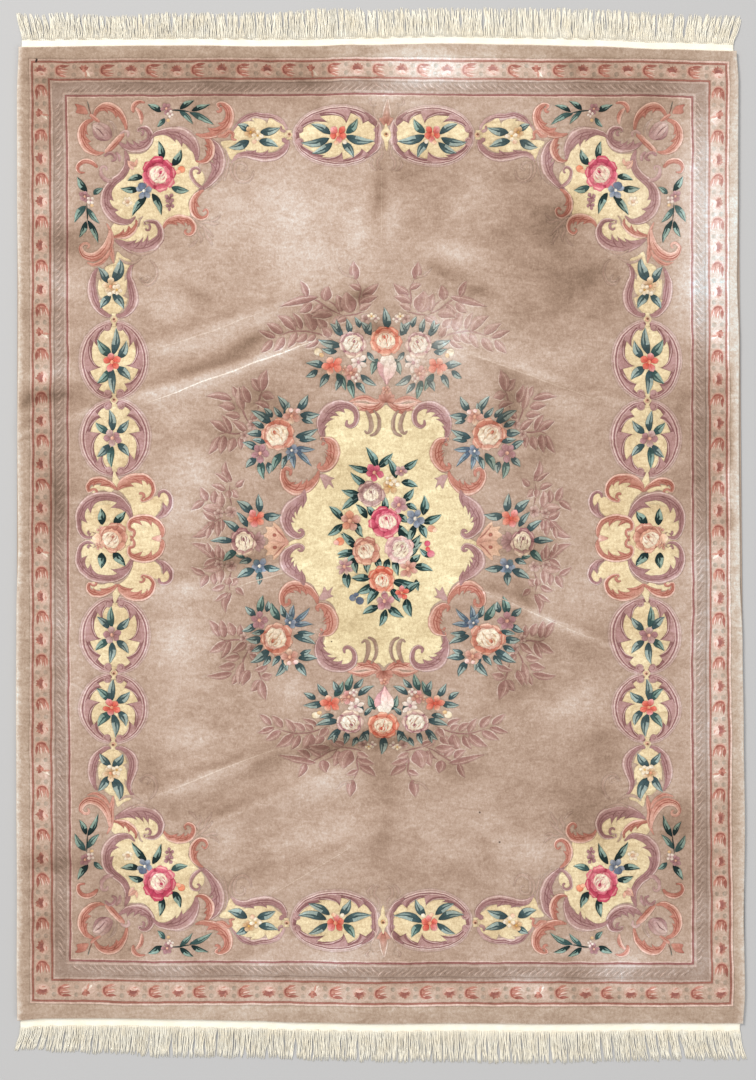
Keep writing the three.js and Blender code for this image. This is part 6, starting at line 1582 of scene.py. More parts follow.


# Painted sheen and shade: places where the pile leans another way and so looks lighter or darker in the light: x, y,
# half widths, turn, how much.
SHEEN_PATCHES = (
    # open ground, upper half: pale on the left of the long fold, darker on the right
    (290, 208, 48, 42, 0.0, 0.44), (312, 268, 44, 30, -0.2, 0.34), (222, 216, 26, 34, 0.2, 0.16), (232, 182, 46, 9, -0.15, -0.12), (358, 226, 11, 26, 0.0, 0.30), (391, 226, 12, 26, 0.0, 0.30),
    (458, 252, 24, 10, 0.25, 0.46), (474, 206, 22, 24, 0.2, 0.12), (424, 270, 12, 26, 0.1, 0.18), (165, 304, 24, 12, 0.0, 0.28), (170, 268, 22, 16, 0.0, 0.16), (196, 292, 22, 6, 0.45, -0.26),
    (380, 200, 7, 44, 0.0, -0.26), (410, 175, 30, 12, 0.0, -0.16), (515, 176, 60, 9, 0.15, -0.10), (522, 224, 26, 30, 0.0, -0.22), (560, 226, 22, 26, 0.0, -0.34), (580, 276, 40, 26, 0.1, -0.34),
    (540, 312, 30, 18, 0.0, -0.16), (596, 316, 26, 22, 0.0, -0.14), (480, 290, 16, 7, 0.2, -0.34), (446, 270, 22, 5, 0.3, -0.20), (470, 312, 14, 12, 0.2, 0.12),
    # painted highlights on the ridges and painted shade in the troughs of the two folds above the middle, left and
    # right
    (196, 342, 50, 9, -0.28, 0.34), (262, 322, 36, 8, -0.33, 0.24), (256, 342, 44, 7, -0.34, -0.36), (205, 364, 54, 8, -0.30, -0.20), (330, 312, 34, 9, -0.42, -0.34), (362, 294, 18, 9, -0.4, -0.34),
    (222, 374, 74, 7, -0.31, 0.26), (176, 390, 38, 12, -0.25, 0.26), (278, 352, 22, 14, -0.3, 0.24), (182, 412, 30, 8, -0.2, 0.12), (378, 330, 16, 8, 0.0, -0.40), (336, 374, 22, 10, 0.3, -0.22),
    (470, 336, 50, 9, 0.42, 0.26), (470, 356, 46, 7, 0.40, -0.10), (455, 354, 22, 20, 0.2, 0.24), (530, 368, 60, 7, 0.26, 0.20), (555, 352, 44, 8, 0.1, 0.12), (560, 386, 50, 6, 0.2, -0.16), (556, 410, 22, 16, 0.0, 0.20),
    # beside the middle
    (262, 404, 26, 18, 0.3, -0.32), (226, 428, 14, 30, 0.0, -0.20), (174, 436, 26, 14, 0.0, -0.16), (505, 402, 12, 30, 0.2, -0.40), (540, 438, 22, 22, 0.0, -0.26), (545, 480, 30, 16, 0.2, -0.10), (588, 440, 16, 30, 0.0, -0.04),
    (190, 470, 26, 26, 0.0, 0.40), (180, 516, 30, 20, -0.1, 0.26), (226, 520, 20, 14, 0.0, -0.10), (236, 558, 36, 8, -0.1, -0.32), (262, 574, 44, 7, -0.2, 0.16), (185, 592, 30, 10, -0.05, 0.34), (182, 640, 28, 30, 0.0, 0.38),
    (184, 690, 26, 24, 0.0, 0.16), (190, 736, 20, 14, 0.0, 0.26), (290, 690, 14, 16, 0.0, 0.32), (248, 652, 24, 16, -0.3, -0.28), (528, 552, 24, 12, 0.2, -0.30), (520, 600, 12, 20, 0.0, -0.26), (572, 590, 32, 26, 0.0, 0.20),
    (536, 616, 70, 5, 0.40, 0.22), (536, 642, 26, 12, 0.2, -0.26), (594, 652, 24, 26, 0.0, -0.16), (522, 682, 26, 12, 0.2, -0.18), (580, 706, 26, 14, 0.0, 0.28), (556, 720, 20, 10, 0.0, 0.10), (610, 560, 20, 20, 0.0, 0.16),
    # lower half
    (212, 776, 54, 6, -0.32, 0.30), (236, 762, 40, 5, -0.32, -0.14), (200, 806, 44, 14, -0.1, -0.20), (150, 770, 14, 30, 0.0, -0.16), (268, 762, 22, 12, -0.3, -0.24), (330, 782, 24, 12, -0.2, 0.38), (300, 800, 34, 16, -0.4, 0.14),
    (336, 832, 44, 12, -0.35, 0.22), (232, 836, 14, 16, 0.0, 0.26), (330, 744, 44, 10, -0.2, -0.34), (384, 742, 46, 7, 0.0, -0.36), (382, 776, 22, 34, 0.0, -0.22), (382, 836, 12, 30, 0.0, -0.20), (440, 822, 26, 26, 0.0, 0.14),
    (462, 772, 22, 12, 0.2, -0.22), (420, 772, 14, 18, 0.0, 0.12), (520, 790, 34, 30, 0.2, -0.04), (536, 852, 30, 18, 0.0, 0.22), (486, 826, 20, 8, 0.0, 0.10), (590, 812, 30, 34, 0.0, -0.32), (604, 752, 26, 28, 0.0, -0.20),
    (250, 872, 36, 9, -0.3, -0.20), (330, 876, 30, 9, -0.3, 0.16), (430, 872, 56, 10, 0.05, -0.16), (500, 874, 26, 8, 0.0, 0.10),
    # the top border: dark on the left, glaring right of the middle
    (190, 76, 118, 24, 0.0, -0.32), (60, 86, 40, 40, 0.0, -0.12), (312, 80, 24, 18, 0.0, -0.26), (345, 68, 16, 22, 0.1, 0.30), (444, 70, 46, 18, 0.05, 0.55), (400, 60, 30, 12, 0.0, 0.30), (384, 100, 26, 8, 0.0, 0.36), (404, 84, 30, 9, 0.0, 0.18),
    (478, 96, 16, 8, 0.0, -0.14), (530, 72, 34, 20, 0.0, 0.12), (600, 80, 70, 26, 0.0, -0.20), (570, 66, 12, 14, 0.0, -0.14), (655, 100, 24, 30, 0.0, -0.16), (520, 112, 40, 12, 0.0, 0.10), (130, 128, 60, 26, 0.0, -0.12), (630, 130, 36, 26, 0.0, -0.22),
    # the right border: glaring above, dull in the middle, bright again below
    (708, 210, 32, 96, 0.0, 0.66), (722, 300, 24, 50, 0.0, 0.36), (690, 300, 22, 34, 0.0, 0.30), (706, 330, 30, 14, -0.2, 0.16), (724, 345, 14, 24, 0.0, 0.20), (694, 410, 28, 56, 0.0, -0.20), (690, 490, 24, 30, 0.0, -0.14),
    (702, 560, 24, 30, 0.0, 0.26), (708, 640, 26, 60, 0.0, 0.36), (712, 740, 26, 40, 0.0, 0.26), (664, 640, 12, 50, 0.0, -0.10), (672, 826, 26, 22, 0.0, -0.30), (706, 800, 30, 20, 0.0, 0.06), (700, 870, 34, 26, 0.0, -0.16),
    # the left border
    (40, 140, 22, 60, 0.0, -0.10), (80, 240, 30, 14, 0.0, -0.30), (70, 282, 22, 16, 0.0, 0.28), (44, 316, 30, 14, 0.0, -0.14), (54, 372, 30, 8, -0.2, 0.24), (48, 398, 40, 9, -0.1, -0.42), (46, 430, 30, 12, 0.0, -0.08), (56, 490, 24, 50, 0.0, -0.30),
    (58, 620, 26, 26, 0.0, 0.16), (74, 690, 12, 34, 0.0, 0.20), (40, 720, 14, 80, 0.0, -0.06), (50, 780, 24, 20, 0.0, 0.06), (56, 862, 46, 12, 0.0, -0.34), (44, 930, 26, 46, 0.0, -0.20), (100, 900, 30, 26, 0.0, -0.12),
    # the bottom border
    (328, 958, 40, 14, 0.0, 0.44), (336, 1000, 34, 12, 0.0, 0.20), (258, 966, 16, 16, 0.0, 0.30), (160, 960, 24, 20, 0.0, 0.16), (416, 1004, 24, 8, 0.0, 0.34), (436, 968, 44, 14, 0.0, -0.12), (526, 984, 18, 12, 0.0, 0.40), (500, 952, 24, 8, 0.0, 0.10),
    (580, 984, 26, 20, 0.0, -0.10), (622, 968, 22, 22, 0.0, 0.34), (588, 944, 26, 8, 0.0, 0.20), (700, 960, 30, 18, 0.0, 0.12), (240, 1006, 60, 8, 0.0, 0.20), (110, 940, 30, 14, 0.0, -0.14), (60, 990, 30, 20, 0.0, -0.04),
    # the pale ground in the middle
    (322, 540, 14, 40, 0.0, 0.05), (350, 620, 20, 14, 0.0, -0.06), (430, 566, 18, 24, 0.0, 0.07), (384, 640, 40, 12, 0.0, -0.05), (344, 470, 14, 16, 0.0, -0.08), (384, 436, 18, 14, 0.0, 0.03), (430, 480, 12, 16, 0.0, -0.05),
)


# Painted glare along the right edge, where the pile is brushed outwards: y, how far in from the edge it reaches, and
# how much lighter it is painted.
BRUSHED_GLARE = ((60, 17, 0.04), (300, 17, 0.10), (352, 17, 0.16), (364, 8, 0.34), (384, 6, 0.36), (400, 8, 0.34), (424, 6, 0.36), (440, 5, 0.36), (464, 5.5, 0.40), (468, 18, 0.46), (500, 17, 0.42), (508, 10, 0.36), (514, 4, 0.34), (524, 3.5, 0.3), (532, 9, 0.34), (542, 18, 0.34), (600, 17, 0.26), (650, 14, 0.12), (740, 10, 0.06), (1010, 8, 0.03))


# Places of painted glare, where every dye is mixed towards a pale haze: x, y, half widths, turn, how much.
GLARE_HAZE = (
    (440, 352, 56, 44, 0.2, 0.34), (392, 376, 30, 24, 0.0, 0.24), (470, 318, 40, 16, 0.4, 0.20), (444, 72, 60, 22, 0.05, 0.30), (400, 110, 34, 16, 0.0, 0.24), (706, 214, 30, 92, 0.0, 0.30),
    (300, 214, 50, 40, 0.0, 0.10), (526, 360, 44, 20, 0.2, 0.14), (560, 150, 60, 26, 0.1, 0.10), (500, 470, 26, 60, 0.0, 0.12), (336, 340, 30, 20, 0.0, 0.10), (640, 200, 26, 60, 0.0, 0.14),
)


def glare_haze_at(p):
    x, y = p[:, 0], p[:, 1]
    s = np.zeros(len(p))
    for cx, cy, rx, ry, turn, k in GLARE_HAZE:
        s = s + k * blob(x + 7 * wander(x, y, 31, 71), y + 7 * wander(x, y, 31, 72), cx, cy, rx, ry, turn)
    return np.clip(s * (1 + 0.35 * wander(x, y, 9, 73)), 0.0, 0.5)


def sheen_at(p, mm):
    """Painted sheen, highlight and shade of the pile at chart points p, as a factor on its colour: 1 is plain."""
    x, y = p[:, 0], p[:, 1]
    wx, wy = wander(x, y, 46, 11), wander(x, y, 46, 12)
    px, py = x + wx * 5, y + wy * 4
    s = 1.0 + 0.05 * wander(x + wx * 20, y + wy * 16, 52, 1) + 0.08 * wander(x + wx * 18, y + wy * 14, 24, 2) + 0.07 * wander(x + wx * 14, (y + wy * 14) * 1.5, 13, 3) + 0.055 * wander(x + wx * 6, y * 1.3, 7, 4)
    for cx, cy, rx, ry, turn, k in SHEEN_PATCHES:
        near = (np.abs(px - cx) < 2.2 * max(rx, ry)) & (np.abs(py - cy) < 2.2 * max(rx, ry))
        s[near] += 1.3 * k * blob(px[near], py[near], cx, cy, rx, ry, turn)
    # the turned pile along the edges catches the light
    mx, my = mm[:, 0], mm[:, 1]
    left_edge = PILE_LEFT - look_up(LEFT_WAVE, np.clip((my - PILE_BOTTOM) / (PILE_TOP - PILE_BOTTOM), 0, 1))
    right_edge = PILE_RIGHT + look_up(RIGHT_WAVE, np.clip((my - PILE_BOTTOM) / (PILE_TOP - PILE_BOTTOM), 0, 1))
    s = s + 0.72 * np.exp(-((mx - left_edge - 3) / 9) ** 2) * (1 + 0.3 * wander(x * 0.2, y, 12, 63)) + 0.50 * np.exp(-((right_edge - 6 - mx) / 12) ** 2)
    # painted glare: along the right edge the pile is brushed outwards and is painted lighter, up to a ragged line
    away = (right_edge - mx) / 3.375
    deep = look_up(tuple((r[0], r[1]) for r in BRUSHED_GLARE), y) + 1.3 * wander(x * 0.2, y, 2.6, 61) + 1.6 * wander(x * 0.2, y, 9, 62)
    s = s + look_up(tuple((r[0], r[2]) for r in BRUSHED_GLARE), y) * ease((deep - away) / 1.6 + 0.5)
    # painted highlights on the ridges of the folds, with painted shade on the flank below each
    ridge = crease_field(mx, my, 0.16)
    flank = crease_field(mx, my - 30, 0.30)
    s = s + 0.050 * ridge - 0.040 * flank
    return np.clip(s, 0.5, 2.0)


# ------------------------------------------------------------ objects
def add_mesh(name, verts, faces, corner_normals=None, colours=None, floats=None, smooth=True):
    me = bpy.data.meshes.new(name)
    counts = np.array([len(f) for f in faces], np.int32)
    loops = np.concatenate([np.asarray(f, np.int32) for f in faces]) if not isinstance(faces, np.ndarray) else faces.ravel().astype(np.int32)
    me.vertices.add(len(verts))
    me.vertices.foreach_set("co", np.asarray(verts, np.float32).ravel())
    me.loops.add(len(loops))
    me.loops.foreach_set("vertex_index", loops)
    me.polygons.add(len(counts))
    starts = np.concatenate([[0], np.cumsum(counts)[:-1]]).astype(np.int32)
    me.polygons.foreach_set("loop_start", starts)
    me.polygons.foreach_set("loop_total", counts)
    me.update(calc_edges=True)
    me.validate(verbose=False)
    me.shade_smooth() if smooth else me.shade_flat()
    if colours is not None:
        a = me.attributes.new("dye", "FLOAT_COLOR", "CORNER")
        c = np.ones((len(loops), 4), np.float32)
        c[:, :3] = colours
        a.data.foreach_set("color", c.ravel())
    for key, values in (floats or {}).items():
        a = me.attributes.new(key, "FLOAT", "POINT")
        a.data.foreach_set("value", np.asarray(values, np.float32))
    if corner_normals is not None:
        me.normals_split_custom_set(np.asarray(corner_normals, np.float32).tolist())
    ob = bpy.data.objects.new(name, me)
    bpy.context.scene.collection.objects.link(ob)
    return ob


def planar_uv(me, side_faces, box=None):
    """One flat layout: the top seen from above fills the square, all other faces lie in a strip beside it."""
    n = len(me.loops)
    vi = np.empty(n, np.int32)
    me.loops.foreach_get("vertex_index", vi)
    co = np.empty(len(me.vertices) * 3, np.float32)
    me.vertices.foreach_get("co", co)
    co = co.reshape(-1, 3)
    uv = me.uv_layers.new(name="OFBake")
    xy = co[vi, :2]
    lo, hi = co[:, :2].min(0), co[:, :2].max(0)
    out = 0.004 + (xy - lo) / (hi - lo) * np.array([0.972, 0.992])
    starts = np.empty(len(me.polygons), np.int32)
    totals = np.empty(len(me.polygons), np.int32)
    me.polygons.foreach_get("loop_start", starts)
    me.polygons.foreach_get("loop_total", totals)
    ids = np.nonzero(side_faces)[0]
    m = max(len(ids), 1)
    for k, f in enumerate(ids):
        s, t = starts[f], totals[f]
        y0 = 0.004 + 0.992 * k / m
        y1 = 0.004 + 0.992 * (k + 0.8) / m
        corners = [(0.980, y0), (0.996, y0), (0.996, y1), (0.980, y1)]
        for j in range(t):
            out[s + j] = corners[j % 4] if t <= 4 else (0.98 + 0.016 * (j / t), y0)
    uv.data.foreach_set("uv", out.astype(np.float32).ravel())


def unflat(pts, tris):
    """Turns the long edge of each triangle that is all but flat, so that none of them is a mere line."""
    for _ in range(4):
        p = pts[tris]
        side = np.stack([np.linalg.norm(p[:, (k + 1) % 3] - p[:, k], axis=1) for k in range(3)], 1)
        twice = (p[:, 1, 0] - p[:, 0, 0]) * (p[:, 2, 1] - p[:, 0, 1]) - (p[:, 1, 1] - p[:, 0, 1]) * (p[:, 2, 0] - p[:, 0, 0])
        longest = side.argmax(1)
        poor = np.nonzero(twice / side.max(1) < 0.006)[0]
        poor = poor[side[poor].min(1) > 0]
        if len(poor) == 0:
            break
        n = len(pts)
        edge = np.concatenate([tris[:, 0] * n + tris[:, 1], tris[:, 1] * n + tris[:, 2], tris[:, 2] * n + tris[:, 0]])
        order = np.argsort(edge)
        edge_sorted = edge[order]
        used = set()
        for t in poor.tolist():
            k = int(longest[t])
            u, v, w = (int(tris[t, (k + j) % 3]) for j in range(3))
            want = v * n + u
            at = int(np.searchsorted(edge_sorted, want))
            if at >= len(edge_sorted) or edge_sorted[at] != want:
                continue
            other = int(order[at]) % len(tris)
            if t in used or other in used:
                continue
            d = [int(q) for q in tris[other] if int(q) not in (u, v)][0]
            def wide(a, b, c):
                return (pts[b][0] - pts[a][0]) * (pts[c][1] - pts[a][1]) - (pts[b][1] - pts[a][1]) * (pts[c][0] - pts[a][0])
            if min(wide(u, d, w), wide(d, v, w)) <= 0:
                continue
            used.update((t, other))
            tris[t] = (u, d, w)
            tris[other] = (d, v, w)
    return tris


RIM_LEVELS = ((3.1, -1.0, None), (1.3, -2.5, None), (0.15, None, 11.0), (0.0, None, 7.4), (0.0, None, 4.0))


def build_pile():
    shapes = unfold(S)
    uv, rim, allv, alle, cuts = pile_mesh(shapes)
    found = delaunay_2d_cdt([Vector(v) for v in allv.tolist()], [tuple(e) for e in alle.tolist()], [], 0, 0.008, True)
    pts = np.array([tuple(v) for v in found[0]])
    tris = np.array([tuple(f) for f in found[2]], np.int64)
    tris = unflat(pts, tris)
    # counterclockwise in the world, whose y runs the other way
    tris = tris[:, ::-1].copy()
    mid = pts[tris].mean(1)
    # what lies outside the rim goes
    order = np.argsort(mid[:, 1], kind="stable")
    keep = np.zeros(len(mid), bool)
    keep[order] = inside_large(mid[order, 0], mid[order, 1], None, rim)
    tris, mid = tris[keep], mid[keep]
    owner = owners(mid, shapes)
    # rim vertex numbers in the new mesh
    new_of = {}
    for k, origins in enumerate(found[3]):
        for o in origins:
            if o < len(rim):
                new_of[o] = k
    rim_new = np.array([new_of[k] for k in range(len(rim))])

    # colours at the corners of each triangle
    p0 = np.array([s.p0 for s in shapes] + [(0, 0)])
    p1 = np.array([s.p1 for s in shapes] + [(1, 0)])
    c0 = np.array([s.c0 for s in shapes] + [tone("margin")])
    c1 = np.array([s.c1 for s in shapes] + [tone("margin")])
    d = p1 - p0
    ln = np.maximum((d ** 2).sum(1), 1e-6)
    corner = pts[tris]
    own = np.where(owner < 0, len(shapes), owner)
    t = np.clip(((corner - p0[own][:, None]) * d[own][:, None]).sum(-1) / ln[own][:, None], 0, 1)[..., None]
    rgb = c0[own][:, None] * (1 - t) + c1[own][:, None] * t
    # carving: a point where two groups meet lies lower, and painted shade makes it darker
    groups = np.array([s.group for s in shapes] + [-5])
    g = groups[own]
    lowest = np.full(len(pts), 10 ** 9)
    highest = np.full(len(pts), -10 ** 9)
    soft = np.array([s.soft for s in shapes] + [0.0])[own]
    softest = np.zeros(len(pts))
    for k in range(3):
        np.minimum.at(lowest, tris[:, k], g)
        np.maximum.at(highest, tris[:, k], g)
        np.maximum.at(softest, tris[:, k], soft)
    carved = (lowest != highest) & (highest > -10 ** 9)
    carved[rim_new] = False
    mm = to_mm(pts)
    z = top_height(mm[:, 0], mm[:, 1])
    depth = np.where(carved, 1.9 - 1.1 * softest, 0.0)
    z = z - depth + 0.22 * wander(mm[:, 0], mm[:, 1], 22, 31) + 0.12 * wander(mm[:, 0], mm[:, 1], 9, 32)
    # painted shade in the grooves of the carving
    dark = np.where(carved, 0.915 + 0.065 * softest, 1.0)
    rgb = rgb * dark[tris][..., None]
    # painted glare: where the light glares, every dye is mixed towards a pale haze
    glare_share = glare_haze_at(pts)[tris][..., None]
    rgb = rgb * (1 - glare_share) + tone("haze") * glare_share
    sheen = sheen_at(pts, mm)
    top = to_world(mm, z)

    # the side of the pile
    nr = len(rim)
    r = np.random.RandomState(5)
    rim_z = z[rim_new]
    wall = []
    for inset, drop, fixed_z in RIM_LEVELS:
        q = place(uv[:, 0], uv[:, 1], inset + (r.uniform(-0.25, 0.25, nr) if fixed_z != 4.0 else 0))
        wall.append(to_world(q, (rim_z + drop) if fixed_z is None else np.full(nr, fixed_z)))
    verts = np.vstack([top] + wall)
    base = len(top)
    level = [rim_new] + [base + k * nr + np.arange(nr) for k in range(len(RIM_LEVELS))]
    # normals of the surface that shows, shared by all tiles
    nv = np.zeros((len(verts), 3))
    def gather(f):
        n = np.cross(verts[f[:, 1]] - verts[f[:, 0]], verts[f[:, 2]] - verts[f[:, 0]])
        for k in range(3):
            np.add.at(nv, f[:, k], n)
    gather(tris)
    nxt = np.roll(np.arange(nr), -1)
    # the rim runs round so that the inside is on its left in mm
    side = []
    for k in range(len(RIM_LEVELS)):
        up, lo = level[k], level[k + 1]
        quad = np.stack([up, lo, lo[nxt], up[nxt]], 1)
        side.append(quad)
        gather(quad[:, [0, 1, 2]]); gather(quad[:, [0, 2, 3]])
    nv /= np.maximum(np.linalg.norm(nv, axis=1), 1e-12)[:, None]
    rim_pos = {int(v): k for k, v in enumerate(rim_new)}

    # tiles
    cut_ids = [(int(rim_new[a]), int(rim_new[b])) for a, b, _ in cuts]
    def line_side(k, p):
        a, b = pts[cut_ids[k][0]], pts[cut_ids[k][1]]
        return (b[0] - a[0]) * (p[:, 1] - a[1]) - (b[1] - a[1]) * (p[:, 0] - a[0])
    nx = len(CUTS_X)
    def signs(k, ref):
        s = line_side(k, mid)
        r0 = line_side(k, np.array([ref]))[0]
        return (s * r0) < 0
    col = sum(signs(k, (20.0, 500.0)).astype(int) for k in range(nx))
    row = sum(signs(nx + k, (380.0, 45.0)).astype(int) for k in range(len(CUTS_Y)))
    tile = row * (nx + 1) + col
    # painted highlight on the outer walls of the pile, paler further down
    painted_edge_light = mixed("margin", "white", 0.60)
    objects = []
    for n in range((nx + 1) * (len(CUTS_Y) + 1)):
        pick = np.nonzero(tile == n)[0]
        f = tris[pick]
        # edges that only one triangle of the tile has, in its own direction
        e = np.vstack([f[:, [0, 1]], f[:, [1, 2]], f[:, [2, 0]]])
        key = np.minimum(e[:, 0], e[:, 1]) * (len(pts) + 1) + np.maximum(e[:, 0], e[:, 1])
        uniq, first, cnt = np.unique(key, return_index=True, return_counts=True)
        be = e[first[cnt == 1]]
        follow = {int(a): int(b) for a, b in be}
        start = int(be[0, 0])
        loop = [start]
        while True:
            q = follow[loop[-1]]
            if q == start:
                break
            loop.append(q)
            if len(loop) > len(be) + 2:
                raise RuntimeError("a tile's edge doesn't close")
        if len(loop) != len(be):
            raise RuntimeError("a tile has more than one edge loop: %d of %d" % (len(loop), len(be)))
        used = np.unique(f)
        remap = np.full(len(pts), -1)
        remap[used] = np.arange(len(used))
        tv = [verts[used]]
        cnt_v = len(used)
        columns = {}
        for v in loop:
            k = rim_pos.get(v)
            if k is not None:
                rows = [verts[level[j + 1][k]] for j in range(len(RIM_LEVELS))]
            else:
                x, y, zz = verts[v]
                rows = [(x, y, zz + (0.004 - zz) * (j + 1) / len(RIM_LEVELS)) for j in range(len(RIM_LEVELS))]
            columns[v] = [remap[v]] + list(range(cnt_v, cnt_v + len(rows)))
            tv.append(np.array(rows))
            cnt_v += len(rows)
        tv = np.vstack(tv)
        faces = [tuple(t) for t in remap[f].tolist()]
        cn = [nv[f].reshape(-1, 3)]
        cc = [rgb[pick].reshape(-1, 3)]
        m = len(loop)
        wall_n, wall_c = [], []
        pale = painted_edge_light
        for i in range(m):
            a, b = loop[i], loop[(i + 1) % m]
            ca, cb = columns[a], columns[b]
            ka, kb = rim_pos.get(a), rim_pos.get(b)
            outer = ka is not None and kb is not None
            for j in range(len(RIM_LEVELS)):
                quad = (ca[j], ca[j + 1], cb[j + 1], cb[j])
                faces.append(quad)
                if outer:
                    for (kk, jj) in ((ka, j), (ka, j + 1), (kb, j + 1), (kb, j)):
                        wall_n.append(nv[level[jj][kk]])
                        # the outer wall is painted lighter as a highlight, more so further down
                        wall_c.append(mixed("margin", pale, min(1.0, 0.3 + 0.35 * jj)))
                else:
                    q = tv[list(quad)]
                    nn = np.cross(q[1] - q[0], q[3] - q[0])
                    nn = nn / max(np.linalg.norm(nn), 1e-12)
                    wall_n += [nn] * 4
                    wall_c += [tone("margin")] * 4
        # underneath
        ring = [columns[v][-1] for v in loop]
        low = delaunay_2d_cdt([Vector((float(tv[k][0]) * 1000, float(tv[k][1]) * 1000)) for k in ring], [(i, (i + 1) % m) for i in range(m)], [], 1, 1e-6, True)
        back = {}
        for k, origins in enumerate(low[3]):
            if origins:
                back[k] = ring[origins[0]]
        bottom = 0
        for t3 in low[2]:
            tri = [back[k] for k in t3]
            q = tv[tri]
            if (q[1, 0] - q[0, 0]) * (q[2, 1] - q[0, 1]) - (q[1, 1] - q[0, 1]) * (q[2, 0] - q[0, 0]) > 0:
                tri = tri[::-1]
            faces.append(tuple(tri))
            bottom += 1
            wall_n += [(0, 0, -1)] * 3
            wall_c += [tone("margin")] * 3
        cn.append(np.array(wall_n))
        cc.append(np.array(wall_c))
        sv = np.ones(len(tv))
        sv[:len(used)] = sheen[used]
        name = "pile_%s%d" % ("abcdef"[n // (nx + 1)], n % (nx + 1) + 1)
        # the attribute lean carries the painted sheen, highlight and shade from sheen_at
        ob = add_mesh(name, tv, faces, np.vstack(cn), lin(np.clip(np.vstack(cc), 0, 255)), {"lean": sv})
        flags = np.zeros(len(faces), bool)
        flags[len(f):] = True
        planar_uv(ob.data, flags)
        objects.append(ob)
    return objects


def build_ground():
    """The woven foundation of wool and cotton, in one sheet under the pile."""
    n = 240
    t = np.arange(n) / n
    o, l = np.zeros(n), np.ones(n)
    uv = np.vstack([np.stack([t, o], 1), np.stack([l, t], 1), np.stack([1 - t, l], 1), np.stack([o, 1 - t], 1)])
    nr = len(uv)
    rows = ((0.3, 4.0), (0.9, 2.6), (1.9, 1.0), (3.0, 0.0))
    verts = np.vstack([to_world(place(uv[:, 0], uv[:, 1], i), np.full(nr, z)) for i, z in rows])
    faces = []
    for k in range(len(rows) - 1):
        for i in range(nr):
            j = (i + 1) % nr
            faces.append((k * nr + i, (k + 1) * nr + i, (k + 1) * nr + j, k * nr + j))
    sides = len(faces)
    for ring, up in ((range(nr), True), (range((len(rows) - 1) * nr, len(rows) * nr), False)):
        ring = list(ring)
        out = delaunay_2d_cdt([Vector((float(verts[k][0]) * 1000, float(verts[k][1]) * 1000)) for k in ring], [(i, (i + 1) % nr) for i in range(nr)], [], 1, 1e-6, True)
        back = {k: ring[o2[0]] for k, o2 in enumerate(out[3]) if o2}
        for t3 in out[2]:
            tri = [back[k] for k in t3]
            q = verts[tri]
            ccw = (q[1, 0] - q[0, 0]) * (q[2, 1] - q[0, 1]) - (q[1, 1] - q[0, 1]) * (q[2, 0] - q[0, 0]) > 0
            faces.append(tuple(tri) if ccw == up else tuple(tri[::-1]))
    ob = add_mesh("rug_ground", verts, faces, smooth=False)
    me = ob.data
    me.polygons.foreach_set("use_smooth", np.array([k < sides for k in range(len(faces))]))
    me.update()
    return ob


# ------------------------------------------------------------ fringes
TASSELS, TASSEL_FILL, TASSEL_TAPER = 128, 0.83, 0.88
BAND_WIDTH, BAND_INSET, GAP = 29.0, 9.0, 0.35
TOP_FRINGE = ((0.00, 117, -24), (0.05, 116, -10), (0.12, 108, -5), (0.25, 116, -3), (0.34, 121, -3), (0.42, 130, -3), (0.53, 123, -3), (0.66, 125, -2), (0.78, 130, 0), (0.87, 125, 4), (0.95, 122, 13), (1.00, 123, 30))
BOTTOM_FRINGE = ((0.00, 106, -25), (0.06, 116, -14), (0.12, 124, -8), (0.20, 132, -6), (0.36, 130, -4), (0.52, 132, 2), (0.62, 136, 3), (0.72, 135, 6), (0.85, 132, 16), (0.95, 127, 23), (1.00, 127, 24))
TOP_PARTINGS = ((-800, 6), (-650, 6), (-505, 9), (-465, 8), (-330, 5), (410, 5), (1030, 7), (1095, 6))
BOTTOM_PARTINGS = ((-1120, 7), (-780, 12), (-688, 12), (-640, 8), (-585, 8), (-440, 6), (-370, 14), (-275, 9), (-225, 8), (-75, 6), (885, 6), (1020, 7))


def chance(n, salt):
    """The same number for a bunch as in the part."""
    def imul(a, b):
        return (a * b) & 0xFFFFFFFF
    h = imul((n + 1) & 0xFFFFFFFF, 374761393) ^ imul((salt + 7) & 0xFFFFFFFF, 668265263)
    h = imul(h ^ (h >> 13), 1274126177)
    return ((h ^ (h >> 16)) & 0xFFFFFFFF) / 4294967296.0


def bunches(way, table, partings):
    v = 1.0 if way > 0 else 0.0
    us = np.linspace(0, 1, 120)
    edge = place(us, np.full(120, v), 0)
    first, last = edge[0, 0] + BAND_INSET, edge[-1, 0] - BAND_INSET
    pitch = (last - first) / TASSELS
    lean = tuple((r[0], r[2]) for r in table)
    long = tuple((r[0], r[1]) for r in table)
    out = []
    for n in range(TASSELS):
        x = first + (n + 0.5) * pitch
        at = (n + 0.5) / TASSELS
        half = pitch * TASSEL_FILL * (0.94 + 0.12 * chance(n, 1)) / 2
        y = float(np.interp(x, edge[:, 0], edge[:, 1])) + way * (GAP + BAND_WIDTH + 1.6 * (chance(n, 2) - 0.5))
        shift = float(look_up(lean, at)) + 4.4 * (chance(n, 3) - 0.5)
        for px, opened in partings:
            off = x - px
            if abs(off) < 4 * pitch:
                shift += math.copysign(1, off) * opened * (1 - abs(off) / (4 * pitch)) / 2
        reach = float(look_up(long, at)) - BAND_WIDTH + 8 * (chance(n, 4) - 0.6)
        out.append({"x": x, "y": y, "half": half, "tip_x": x + shift, "tip_y": y + way * reach, "tip_half": half * TASSEL_TAPER, "pitch": pitch})
    for n in range(1, TASSELS):
        a, b = out[n - 1], out[n]
        need = a["tip_x"] + a["tip_half"] + 0.9 - (b["tip_x"] - b["tip_half"])
        if need > 0:
            b["tip_x"] += need / 2
            a["tip_x"] -= need / 2
    return out, edge, first, last


